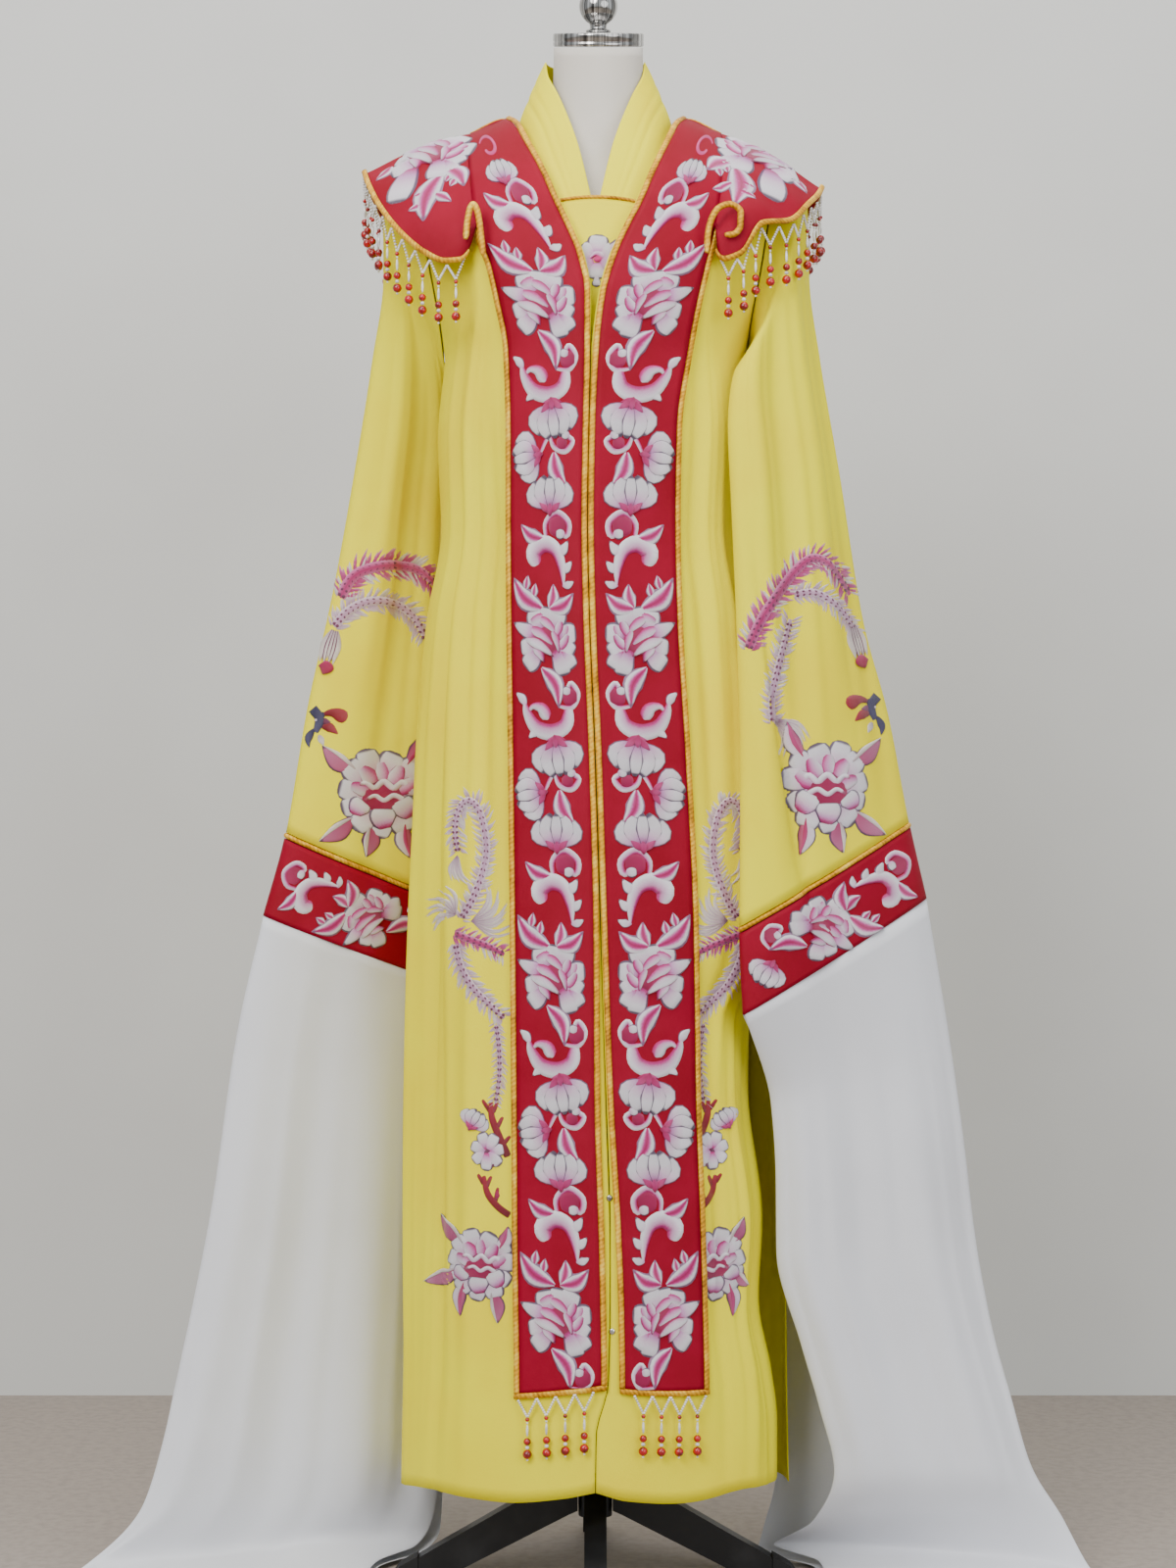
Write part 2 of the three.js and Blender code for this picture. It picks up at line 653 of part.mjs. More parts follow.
function bodicePoint(u, height) {
  const across = 2 * u - 1;
  const b = bodiceAt(height);
  const rise = (height - BODICE_LOW) / (BODICE_TOP - BODICE_LOW);
  const drop = BODICE_ARCH * across ** 2 * Math.max(0, rise);
  return vector(across * b.halfWidth, BODICE_CURVE * across ** 2 - b.front, height - drop);
}

const bodiceSheet = (from, to) => (u, v) => bodicePoint(u, mix(from, to, v));
add("bodice", wallOf(bodiceSheet(BODICE_LOW, BODICE_TOP), evenly(6), evenly(3), CREPE_WALL), "crepe");
const bodicePiping = bodiceSheet(BODICE_TOP + SEAM_GAP, BODICE_TOP + SEAM_GAP + PIPING_WALL);
addGold("bodice_piping", wallOf(bodicePiping, evenly(8), evenly(1), PIPING_WALL));

// ---------------------------------------------------------------- cape: bands, wings, back

// Height up the front edge, and the x of the inner and the outer edge of the red band there.
const BAND_COLUMNS = ["inner", "outer"];
const bandAt = {
  left: track(BAND_COLUMNS, [
    [92, 5.5, -70],
    [205, 5.5, -70],
    [330, 3.6, -71.5],
    [480, -0.9, -72.5],
    [640, -1.9, -73.8],
    [800, -6.2, -75.5],
    [930, -11.3, -77],
    [1015, -13, -77.4],
    [1105, -11.7, -77.6],
    [1180, -10.3, -80],
    [1228, -10.2, -88],
    [1262, -17.2, -96],
    [1290, -29, -107],
    [1310, -39, -112],
    [1340, -53, -115],
    [1370, -67.5, -118],
    [1407, -86, -120],
  ]),
  right: track(BAND_COLUMNS, [
    [92, 27.3, 100],
    [205, 27.3, 100],
    [280, 26.4, 98.5],
    [355, 23.6, 96.5],
    [480, 16.4, 92],
    [640, 10.8, 90],
    [800, 5.5, 82.5],
    [930, 0, 75],
    [1015, -1.7, 73],
    [1105, -0.4, 74.5],
    [1180, 3.2, 85],
    [1228, 9.6, 93],
    [1262, 20, 101],
    [1290, 33, 109],
    [1310, 44, 113],
    [1340, 57.5, 116],
    [1370, 70.5, 119],
    [1407, 88, 121],
  ]),
};
const BAND_END = { left: [207, 200], right: [205, 203] };
const BAND_TOP = NECK_HEIGHT - 0.5;
const HALVINGS = 24;
// The least distance between a row of the band and either of its ends.
const ROW_MARGIN = 5;

// The point of a front panel that has this x, at this height.
function panelAtX(side, x, height) {
  let low = 0;
  let high = 1;
  for (let i = 0; i < HALVINGS; i += 1) {
    const u = (low + high) / 2;
    if (panelPoint(side, u, height).x * SIDES[side] < x * SIDES[side]) low = u;
    else high = u;
  }
  return panelPoint(side, (low + high) / 2, height);
}

// A strip on the panel, set off from the band's inner or outer edge. from and to are distances.
function bandStrip(side, edge, from, to, low, top) {
  const outboard = SIDES[side] * (edge === "outer" ? 1 : -1);
  return (u, v) => {
    const height = mix(low, top, v);
    return panelAtX(side, bandAt[side](height)[edge] + outboard * mix(from, to, u), height);
  };
}

function bandPoint(side, u, v) {
  const [innerEnd, outerEnd] = BAND_END[side];
  const height = mix(mix(innerEnd, outerEnd, u), BAND_TOP, v);
  const band = bandAt[side](height);
  return panelAtX(side, mix(band.inner, band.outer, u), height);
}

// The cape stands further off the body towards the shoulder line, where it points up.
const RIDGE_LIFT = 8.5;
const RIDGE_RISE = 3;
const RIDGE_SHARPNESS = 4;

function ridgePoint(pointAt, u, v, height, facing, lift) {
  const near = Math.max(0, (height - NOTCH_HEIGHT) / (NECK_HEIGHT - NOTCH_HEIGHT));
  const out = normalAt(pointAt, u, v).multiplyScalar(facing);
  out.z += near ** RIDGE_SHARPNESS * RIDGE_RISE;
  const raise = lift + RIDGE_LIFT * Math.sin((near * Math.PI) / 2);
  return pointAt(u, v).addScaledVector(out.normalize(), raise);
}

const rowsFrom = (low, top) => {
  const inside = FRONT_HEIGHTS.filter((height) => height > low + ROW_MARGIN && height < top - ROW_MARGIN);
  return [low, ...inside, top].map((height) => (height - low) / (top - low));
};

// The wing: height of its seam on the band, and the place of its free edge. 0 at the notch beside
// the band, 0.5 on the shoulder line, and the same again behind.
const WING_COLUMNS = ["seam", "x", "y", "z"];
const wingAt = {
  left: track(WING_COLUMNS, [
    [0, 1297, -114, -99, 1289],
    [0.03, 1298, -119, -103, 1274],
    [0.07, 1300, -129, -105, 1262],
    [0.12, 1305, -141, -103, 1261],
    [0.2, 1322, -160, -93, 1270],
    [0.28, 1345, -183, -78, 1290],
    [0.38, 1375, -207, -50, 1322],
    [0.46, 1396, -221, -18, 1351],
    [0.5, 1406, -225, 0, 1363],
  ]),
  right: track(WING_COLUMNS, [
    [0, 1297, 114, -99, 1287],
    [0.03, 1298, 115, -102, 1274],
    [0.07, 1300, 121, -105, 1263],
    [0.12, 1305, 135, -103, 1268],
    [0.2, 1322, 157, -94, 1298],
    [0.28, 1345, 182, -78, 1302],
    [0.38, 1375, 203, -50, 1322],
    [0.46, 1396, 216, -18, 1338],
    [0.5, 1406, 221, 0, 1348],
  ]),
};
const WING_SWELL = 9;
const BACK_SWELL = 14;
const WING_GAP = 1.2;
// How much of the swell is gone on the shoulder line, and the point that the swell leaves.
const RIDGE_FLATNESS = 0.55;
const WING_PIVOT = { x: 120, z: 1180 };
const BACK_SEAM_TOP = 0.52;
const WING_PLACES = [0, 0.04, 0.09, 0.16, 0.25, 0.36, 0.5, 0.64, 0.75, 0.84, 0.91, 0.96, 1];

function seamPoint(side, place, gap) {
  const { seam } = wingAt[side](Math.min(place, 1 - place));
  const strip = bandStrip(side, "outer", 0, BINDING_WIDTH, seam - 1, seam + 1);
  const point = ridgePoint(strip, 0, 0.5, seam, SIDES[side], BAND_LIFT);
  point.x += SIDES[side] * gap;
  if (place > 0.5) point.y = -point.y;
  return point;
}

function wingEdge(side, place) {
  const front = Math.min(place, 1 - place);
  return edgePoint((p) => wingAt[side](p), front, 1, place > 0.5 ? -1 : 1);
}

function wingPoint(side, u, place) {
  const point = between(seamPoint(side, place, WING_GAP), wingEdge(side, place), u);
  const pivot = vector(SIDES[side] * WING_PIVOT.x, 0, WING_PIVOT.z);
  const out = point.clone().sub(pivot).normalize();
  const flat = 1 - RIDGE_FLATNESS * Math.sin(place * Math.PI) ** 4;
  const swell = mix(WING_SWELL, BACK_SWELL, place) * flat;
  return point.addScaledVector(out, swell * hump(u));
}

// The cape's back: the seams with the wings, the neck and the hem.
const capeHemAt = track(EDGE_COLUMNS, [
  [0, 0, 127, 1236],
  [0.3, 36, 125, 1240],
  [0.6, 72, 116, 1256],
  [0.85, 100, 106, 1280],
  [1, 113, 100, 1290],
]);
const capeNeckAt = track(EDGE_COLUMNS, [
  [0, 0, 77, 1405],
  [0.25, 42, 62, 1409],
  [0.5, 75, 28, 1413],
  [0.7, 88, 5, 1413],
  [1, 121, 2.6, 1397],
]);

function capeBackPoint(u, v) {
  const seam = (side) => (t) => seamPoint(side, mix(1, BACK_SEAM_TOP, t), -WING_GAP);
  const seams = { left: seam("left"), right: seam("right") };
  const meet = (edge, place) => (t) => {
    const sign = t < 0.5 ? -1 : 1;
    const from = Math.abs(2 * t - 1);
    const point = edgePoint(edge, from, sign);
    const target = seams[sign < 0 ? "left" : "right"](place);
    const miss = target.sub(edgePoint(edge, 1, sign));
    return point.addScaledVector(miss, from ** 3);
  };
  return coons(u, v, meet(capeHemAt, 0), meet(capeNeckAt, 1), seams.left, seams.right);
}

// A strip of the face next to the edge v = at, and as wide as a binding.
function alongEdge(pointAt, at) {
  return (u, v) => {
    const length = pointAt(u, 0).distanceTo(pointAt(u, 1));
    return pointAt(u, Math.abs(at - (BINDING_WIDTH / length) * (at ? 1 - v : v)));
  };
}

// A curtain that hangs from just below the edge v = at.
const hungFrom = (pointAt, at) => (u, v) =>
  pointAt(u, at).add(vector(0, 0, -FRINGE_DROP - FRINGE_LENGTH * v));

for (const [side, sign] of Object.entries(SIDES)) {
  const end = BINDING_WIDTH + SEAM_GAP;
  const [innerEnd, outerEnd] = BAND_END[side];
  const faced = { facing: sign, lift: BINDING_LIFT };
  const turned = { facing: -sign, lift: BINDING_LIFT };

  const raised = (pointAt, facing, lift) => (u, v) =>
    ridgePoint(pointAt, u, v, mix(innerEnd, BAND_TOP, v), facing, lift);
  const band = raised((u, v) => bandPoint(side, u, v), sign, BAND_LIFT);
  const bandRows = rowsFrom(innerEnd, BAND_TOP);
  add(`cape_band_${side}`, wallOf(band, evenly(3), bandRows, CAPE_WALL, { facing: sign }), "cape");
  const flat = bandStrip(side, "inner", SEAM_GAP, end, innerEnd, BAND_TOP);
  const inner = raised(flat, -sign, BINDING_LIFT);
  const innerFacing = { facing: -sign };
  addGold(`binding_inner_${side}`, wallOf(inner, evenly(1), bandRows, BINDING_WALL, innerFacing));
  const outer = bandStrip(side, "outer", SEAM_GAP, end, outerEnd, NOTCH_HEIGHT);
  const outerRows = rowsFrom(outerEnd, NOTCH_HEIGHT);
  addGold(`binding_outer_${side}`, wallOf(outer, evenly(1), outerRows, BINDING_WALL, faced));
  const belowBand = (from, to) => (u, v) => {
    const ends = bandAt[side](outerEnd);
    const x = mix(ends.inner - sign * end, ends.outer + sign * end, u);
    return panelAtX(side, x, mix(innerEnd, outerEnd, u) - mix(from, to, v));
  };
  const below = wallOf(belowBand(SEAM_GAP * 2, end), evenly(3), evenly(1), BINDING_WALL, turned);
  addGold(`binding_end_${side}`, below);
  const fringeStrip = (u, v) => {
    const ends = bandAt[side](outerEnd);
    const x = mix(ends.inner + sign * FRINGE_INSET, ends.outer, u);
    const drop = mix(end + FRINGE_GAP, end + FRINGE_LENGTH, v);
    return panelAtX(side, x, mix(innerEnd, outerEnd, u) - drop);
  };
  const bandFringe = { facing: -sign, lift: FRINGE_LIFT };
  const bandBeads = wallOf(fringeStrip, evenly(3), evenly(1), FRINGE_WALL, bandFringe);
  add(`fringe_band_${side}`, bandBeads, "beads");

  const wing = (u, v) => wingPoint(side, u, v);
  add(`cape_wing_${side}`, wallOf(wing, evenly(5), WING_PLACES, CAPE_WALL, { facing: sign }), "cape");
  const across = (u, v) => wingPoint(side, v, u);
  const wingStrip = alongEdge(across, 1);
  const onWing = { facing: -sign, lift: EDGE_LIFT };
  const clear = WING_PLACES.slice(1, -1);
  addGold(`binding_wing_${side}`, wallOf(wingStrip, clear, evenly(1), EDGE_WALL, onWing));
  const hung = hungFrom(across, 1);
  const wingBeads = wallOf(hung, clear, evenly(1), FRINGE_WALL, { facing: -sign });
  add(`fringe_wing_${side}`, wingBeads, "beads");
}

const capeBack = wallOf(capeBackPoint, evenly(14), evenly(4), CAPE_WALL, { facing: -1 });
add("cape_back", capeBack, "cape");
const onBack = { facing: -1, lift: EDGE_LIFT };
const backHem = alongEdge(capeBackPoint, 0);
addGold("binding_back", wallOf(backHem, evenly(14), evenly(1), EDGE_WALL, onBack));
const backNeck = alongEdge(capeBackPoint, 1);
addGold("binding_neck", wallOf(backNeck, evenly(14), evenly(1), EDGE_WALL, onBack));
const backBeads = wallOf(hungFrom(capeBackPoint, 0), evenly(14), evenly(1), FRINGE_WALL, { facing: 1 });
add("fringe_back", backBeads, "beads");

// The gold cord that curls over where the wing meets the band.
const CORD_RADIUS = 2.5;
const CORD_SIDES = 8;
const CURL_COLUMNS = ["x", "y", "z"];
const curlAt = {
  left: track(CURL_COLUMNS, [
    [0, -105, -113, 1266],
    [0.3, -107, -112, 1284],
    [0.48, -111, -110, 1309],
    [0.55, -114.5, -109, 1314],
    [0.62, -118, -109, 1308],
    [1, -121.5, -112, 1281],
  ]),
  right: track(CURL_COLUMNS, [
    [0, 104, -113, 1268],
    [0.12, 105, -112, 1285],
    [0.24, 108.5, -111, 1300],
    [0.36, 116, -109.5, 1311],
    [0.48, 126, -107, 1314.5],
    [0.62, 136, -106, 1307],
    [0.76, 135.5, -107, 1294],
    [0.88, 129, -109, 1286],
    [1, 121, -111.5, 1285],
  ]),
};
const CURL_STEPS = { left: 12, right: 22 };

for (const side of Object.keys(SIDES)) {
  const steps = CURL_STEPS[side];
  const points = evenly(steps).map((t) => edgePoint(curlAt[side], t));
  const section = new THREE.Shape().absarc(0, 0, CORD_RADIUS, 0, 2 * Math.PI, false);
  const cord = new THREE.ExtrudeGeometry(section, {
    curveSegments: CORD_SIDES / 2,
    steps,
    extrudePath: new THREE.CatmullRomCurve3(points),
  });
  addGold(`curl_${side}`, cord);
}

// ---------------------------------------------------------------- dress form

const FORM_ROUNDNESS = 2.25;
const FORM_SIDES = 28;
// height, half the width, front and back, how far the section tips forward, and its shift.
const formAt = [
  [690, 148, 86, 94, 0, 0],
  [702, 156, 92, 100, 0, 0],
  [780, 155, 100, 104, 0, 0],
  [880, 148, 94, 102, 0, 0],
  [1000, 118, 80, 86, 0, 0],
  [1100, 126, 88, 84, 0, 0],
  [1200, 137, 101, 88, 0, 0],
  [1260, 138, 96, 90, 0, 0],
  [1310, 138, 80, 84, 0, 0],
  [1345, 130, 64, 68, 0, 0],
  [1370, 98, 53, 54, 0, 1],
  [1385, 80, 50, 54, 0.02, 2],
  [1398, 61, 48, 50, 0.06, 3],
  [1420, 48, 45, 46, 0.12, 3],
  [1450, 44, 43.5, 44, 0.2, 3],
  [1485.4, 43, 43, 43, 0.231, 3],
];

const formLoops = formAt.map(([height, halfWidth, front, back, tip, shift]) => (angle) => {
  const cosine = Math.cos(angle);
  const sine = Math.sin(angle);
  const power = 2 / FORM_ROUNDNESS;
  const y = Math.sign(sine) * Math.abs(sine) ** power * (sine < 0 ? front : back);
  const x = Math.sign(cosine) * Math.abs(cosine) ** power * halfWidth + shift;
  return vector(x, y, height + tip * y);
});
add("form_torso", stackOf(formLoops, FORM_SIDES), "jersey", 0.85);

const CAP_TIP = THREE.MathUtils.degToRad(13);
const CAP_CENTRE = vector(3, 0, 1486);
const CAP_RADIUS = 44;
const CAP_HEIGHT = 13;
const CAP_ROUND = 1.6;
const STEM_RADIUS = 8.6;
const STEM_HEIGHT = 8;
const BALL_RADIUS = 18.6;
const ROUND_SIDES = 32;

function lathe(profile, sides) {
  const geometry = new THREE.LatheGeometry(profile.map(([r, z]) => new THREE.Vector2(r, z)), sides);
  return geometry.rotateX(Math.PI / 2);
}

const onNeck = (geometry) =>
  geometry.rotateX(CAP_TIP).translate(CAP_CENTRE.x, CAP_CENTRE.y, CAP_CENTRE.z);

const capProfile = [
  [0, SEAM_GAP],
  [CAP_RADIUS - CAP_ROUND, SEAM_GAP],
  [CAP_RADIUS, SEAM_GAP + CAP_ROUND],
  [CAP_RADIUS, CAP_HEIGHT - CAP_ROUND],
  [CAP_RADIUS - CAP_ROUND, CAP_HEIGHT],
  [0, CAP_HEIGHT],
];
addChrome("form_cap", onNeck(lathe(capProfile, ROUND_SIDES)));

const stemBase = CAP_HEIGHT + SEAM_GAP;
const ballStart = Math.asin(STEM_RADIUS / BALL_RADIUS);
const ballCentre = stemBase + STEM_HEIGHT + BALL_RADIUS * Math.cos(ballStart);
const BALL_STEPS = 12;
const ballProfile = evenly(BALL_STEPS).map((t) => {
  const angle = mix(ballStart, Math.PI, t);
  const radius = t === 1 ? 0 : BALL_RADIUS * Math.sin(angle);
  return [radius, ballCentre - BALL_RADIUS * Math.cos(angle)];
});
const finialProfile = [[0, stemBase], [STEM_RADIUS, stemBase], ...ballProfile];
addChrome("form_finial", onNeck(lathe(finialProfile, ROUND_SIDES)));

const POLE_RADIUS = 12.5;
const POLE_BASE = 118.3;
const POLE_TOP = 689.7;
const HUB_RADIUS = 16.5;
const HUB_BASE = 60;
const HUB_TOP = 118;
const POLE_SIDES = 20;
const column = (radius, base, top) => lathe([[0, base], [radius, base], [radius, top], [0, top]], POLE_SIDES);
addBlack("form_pole", column(POLE_RADIUS, POLE_BASE, POLE_TOP));
addBlack("form_hub", column(HUB_RADIUS, HUB_BASE, HUB_TOP));

const LEG_WIDTH = 21;
const FOOT_WIDTH = 24;
// How far out and how high: round the side of a leg, then round the side of its foot.
const LEG_OUTLINE = [
  [17, 66], [26, 62], [130, 9], [148, 0], [172, 0], [172, 20], [160, 27], [83, 71], [17, 104],
];
const FOOT_OUTLINE = [[172.3, 0], [196, 0], [196, 4], [190, 12], [172.3, 22]];
const LEG_TURNS = { right: 0, back: 1, left: 2, front: 3 };

function bar(outline, width) {
  const shape = new THREE.Shape(outline.map(([r, z]) => new THREE.Vector2(r, z)));
  const geometry = new THREE.ExtrudeGeometry(shape, { depth: width, bevelEnabled: false });
  return geometry.translate(0, 0, -width / 2).rotateX(Math.PI / 2);
}

for (const [name, turns] of Object.entries(LEG_TURNS)) {
  const leg = bar(LEG_OUTLINE, LEG_WIDTH).rotateZ((turns * Math.PI) / 2);
  addBlack(`form_leg_${name}`, leg);
  const foot = bar(FOOT_OUTLINE, FOOT_WIDTH).rotateZ((turns * Math.PI) / 2);
  add(`form_foot_${name}`, foot, "rubber", 0.9);
}

export default costume;
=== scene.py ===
"""A Chinese opera costume on a dress form: yellow crepe robe, red cape with two long bands,
white water sleeves. The cloth is laid out by rows of sizes in millimetres, front towards -Y.
"left" is the side at -X and "right" the side at +X, as seen from the front."""

import json
import math
import random

import bpy
import numpy as np
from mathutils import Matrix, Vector
from mathutils.bvhtree import BVHTree

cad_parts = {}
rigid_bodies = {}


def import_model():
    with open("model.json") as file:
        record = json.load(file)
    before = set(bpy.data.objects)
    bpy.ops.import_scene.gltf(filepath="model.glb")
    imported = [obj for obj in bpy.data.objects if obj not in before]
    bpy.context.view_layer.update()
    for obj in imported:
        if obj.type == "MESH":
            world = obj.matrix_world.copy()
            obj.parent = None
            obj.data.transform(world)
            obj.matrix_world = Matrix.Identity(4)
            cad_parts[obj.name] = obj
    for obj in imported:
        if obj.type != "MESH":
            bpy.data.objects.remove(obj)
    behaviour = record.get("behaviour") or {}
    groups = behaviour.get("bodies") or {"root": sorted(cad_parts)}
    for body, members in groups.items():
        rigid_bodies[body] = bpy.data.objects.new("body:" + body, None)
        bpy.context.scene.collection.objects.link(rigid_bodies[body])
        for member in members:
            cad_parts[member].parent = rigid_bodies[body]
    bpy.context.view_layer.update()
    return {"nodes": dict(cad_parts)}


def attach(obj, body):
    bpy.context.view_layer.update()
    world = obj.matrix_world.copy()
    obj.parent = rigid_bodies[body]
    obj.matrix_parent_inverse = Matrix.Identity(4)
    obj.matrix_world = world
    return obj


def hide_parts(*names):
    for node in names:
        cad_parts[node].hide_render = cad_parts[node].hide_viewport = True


bl_info = {
    "name": "Opera costume on a dress form",
    "version": (1, 0, 0),
    "blender": (4, 5, 0),
    "location": "3D View > Sidebar > Costume",
    "description": "Sews the robe, cape and water sleeves, embroiders them and sets the studio",
    "category": "Object",
}

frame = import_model()
MM = 0.001
SIDES = {"left": -1, "right": 1}
# Points across and along each cloth. All the pieces together stay under a million triangles.
GRIDS = {
    "front": (90, 100), "back": (160, 90), "sleeve": (160, 72), "cuff": (200, 18),
    "water": (160, 100), "collar": (130, 36), "bodice": (40, 36), "band": (16, 260),
    "wing": (36, 110), "yoke": (80, 44), "torso": (96, 90), "stage": (9, 9),
}

# ------------------------------------------------------------------ tables and curves


KEPT_SLOPES = {}


def table_slopes(rows):
    """The places, values, steps and slopes of a table, worked out once."""
    if id(rows) in KEPT_SLOPES:
        return KEPT_SLOPES[id(rows)]
    table = np.array(rows, float)
    at, values = table[:, 0], table[:, 1:]
    step = np.diff(at)[:, None]
    secant = np.diff(values, axis=0) / step
    slope = np.zeros_like(values)
    slope[0], slope[-1] = secant[0], secant[-1]
    before, after = secant[:-1], secant[1:]
    early, late = 2 * step[1:] + step[:-1], step[1:] + 2 * step[:-1]
    same = before * after > 0
    safe_before, safe_after = np.where(same, before, 1), np.where(same, after, 1)
    slope[1:-1] = np.where(same, (early + late) / (early / safe_before + late / safe_after), 0)
    KEPT_SLOPES[id(rows)] = at, values, step, slope
    return KEPT_SLOPES[id(rows)]


def curve(rows, place):
    """The columns of a table at a place, by a monotone cubic."""
    at, values, step, slope = table_slopes(rows)
    place = np.clip(np.asarray(place, float), at[0], at[-1])
    i = np.clip(np.searchsorted(at, place) - 1, 0, len(at) - 2)
    h = step[i]
    t = (place - at[i])[..., None] / h
    rise = t * t * (3 - 2 * t)
    return (
        values[i] * (1 - rise)
        + values[i + 1] * rise
        + h * slope[i] * t * (1 - t) ** 2
        + h * slope[i + 1] * t * t * (t - 1)
    )


def column(rows, place, number):
    """One column of a table, counted after the place."""
    return curve(rows, place)[..., number]


def point(x, y, z):
    return np.stack(np.broadcast_arrays(x, y, z), axis=-1).astype(float)


def mix(a, b, t):
    return a + (b - a) * t


def unit(v):
    return v / np.maximum(np.linalg.norm(v, axis=-1, keepdims=True), 1e-9)


def coons(u, v, low, high, start, end):
    """A patch that fills four edges: low and high run along u, start and end along v."""
    a, b = u[..., None], v[..., None]
    zero, one = np.zeros_like(u), np.ones_like(u)
    ruled = mix(low(u), high(u), b) + mix(start(v), end(v), a)
    corners = mix(mix(low(zero), low(one), a), mix(high(zero), high(one), a), b)
    return ruled - corners


def folds(rows, place, along, wraps=False):
    """Soft folds. A row is place, drift, spread, depth, from, to."""
    total = np.zeros(np.broadcast(place, along).shape)
    for at, drift, spread, depth, start, end in rows:
        reach = (along - start) / (end - start)
        away = place - at - drift * reach
        if wraps:
            away = away - np.round(away)
        inside = np.clip(reach, 0, 1)
        total = total + depth * np.sin(np.pi * inside) * np.exp(-((away / spread) ** 2))
    return total


# ------------------------------------------------------------------ the robe's form

ARMPIT, NECK, HEM, HEM_FADE = 1180, 1407, 92, 260
ROUNDNESS = 2.05
SEAM_HALF = 1.2
SHOULDER_LOW, SHOULDER_END, SHOULDER_RUN = 1368, 174, 91
SEAM_FADE = 0.12
# height: half the width, front, back
BODY = [
    (92, 188, 136, 128), (207, 186, 135, 126), (330, 185, 134, 124), (480, 183, 133, 122),
    (640, 180, 132, 121), (800, 174, 131, 120), (930, 163, 130, 118), (1015, 149, 129, 116),
    (1105, 152, 128, 114), (1180, 145, 126, 114),
]
# height: front edge, side edge x, side edge y
PANEL = {
    "left": [
        (92, -0.4, -188, -1.2), (152, 0.2, -187, -1.2), (207, 11.3, -186, -1.2),
        (330, 13.2, -185, -1.2), (480, 9.3, -183, -1.2), (640, 4.2, -180, -1.2),
        (800, -0.9, -174, -1.2), (930, -6, -163, -1.2), (1015, -7.7, -149, -1.2),
        (1105, -6.4, -152, -1.2), (1180, -4.9, -145, -1.2),
    ],
    "right": [
        (92, 0.4, 174, -38), (152, 1, 174, -38), (207, 12.1, 168, -40), (280, 13.9, 156, -44),
        (355, 14, 160, -40), (480, 10.1, 146, -38), (550, 7.6, 148, -26), (610, 5.8, 180, -1.2),
        (640, 5, 180, -1.2), (800, -0.1, 174, -1.2), (930, -5.2, 163, -1.2),
        (1015, -6.9, 149, -1.2), (1105, -5.6, 152, -1.2), (1180, -4.1, 145, -1.2),
    ],
}
HEM_RISE = {
    "left": [(0, 21), (0.1, 15), (0.3, 9), (0.6, 11), (1, 0)],
    "right": [(0, 21), (0.1, 13), (0.3, 9), (0.6, 16), (0.85, 14), (1, 16)],
}
NECK_EDGE = {
    "left": [
        (0, -4.9, -126, 1180), (0.2, -4.2, -125, 1228), (0.32, -8, -121, 1256),
        (0.42, -15.5, -115, 1280), (0.56, -31, -103.6, 1314), (0.68, -44.6, -87, 1344),
        (0.82, -59, -60, 1374), (0.92, -71.5, -30, 1396), (1, -79, -1.2, 1407),
    ],
    "right": [
        (0, -4.1, -126, 1180), (0.2, 2.6, -125, 1228), (0.32, 9.6, -121, 1256),
        (0.42, 19.4, -115, 1280), (0.56, 36, -103.6, 1314), (0.68, 49, -87, 1344),
        (0.82, 62.4, -60, 1374), (0.92, 73.8, -30, 1396), (1, 81, -1.2, 1407),
    ],
}
ARMHOLE = [
    (0, 145, 1.2, 1180), (0.2, 148, 26, 1210), (0.45, 158, 48, 1268), (0.7, 167, 40, 1325),
    (1, 174, 1.2, 1368),
]


def edge(table, w, across=1, deep=1):
    """A point of an edge, mirrored where across or deep is -1."""
    return curve(table, w) * np.array([across, deep, 1.0])


def shoulder_height(x):
    return mix(SHOULDER_LOW, NECK, (SHOULDER_END - np.abs(x)) / SHOULDER_RUN)


def round_x(u):
    return np.sin(np.clip(u, 0, 1) * np.pi / 2) ** (2 / ROUNDNESS)


def round_y(u):
    return np.maximum(np.cos(np.clip(u, 0, 1) * np.pi / 2), 0) ** (2 / ROUNDNESS)


def upper(height):
    return np.clip((height - ARMPIT) / (NECK - ARMPIT), 0, 1)


def panel_low(side, u, height):
    """A front panel below the armpit."""
    slit, side_x, side_y = np.moveaxis(curve(PANEL[side], height), -1, 0)
    front = column(BODY, height, 1)
    fade = np.maximum(0, 1 - (height - HEM) / (HEM_FADE - HEM))
    rise = fade * column(HEM_RISE[side], u, 0)
    return point(
        mix(slit, side_x, round_x(u)), mix(side_y, -front, round_y(u)), height + rise
    )


def panel(side, u, height):
    """A front panel without folds: u from the front edge to the side seam."""
    u, height = np.broadcast_arrays(np.asarray(u, float), np.asarray(height, float))
    sign = SIDES[side]
    neck_x = NECK_EDGE[side][-1][1]

    def shoulder(t):
        x = mix(neck_x, sign * SHOULDER_END, t)
        return point(x, -SEAM_HALF, shoulder_height(x))

    high = coons(
        u,
        upper(height),
        lambda t: panel_low(side, t, np.full_like(t, ARMPIT)),
        shoulder,
        lambda w: edge(NECK_EDGE[side], w),
        lambda w: edge(ARMHOLE, w, sign, -1),
    )
    return np.where((height > ARMPIT)[..., None], high, panel_low(side, u, height))


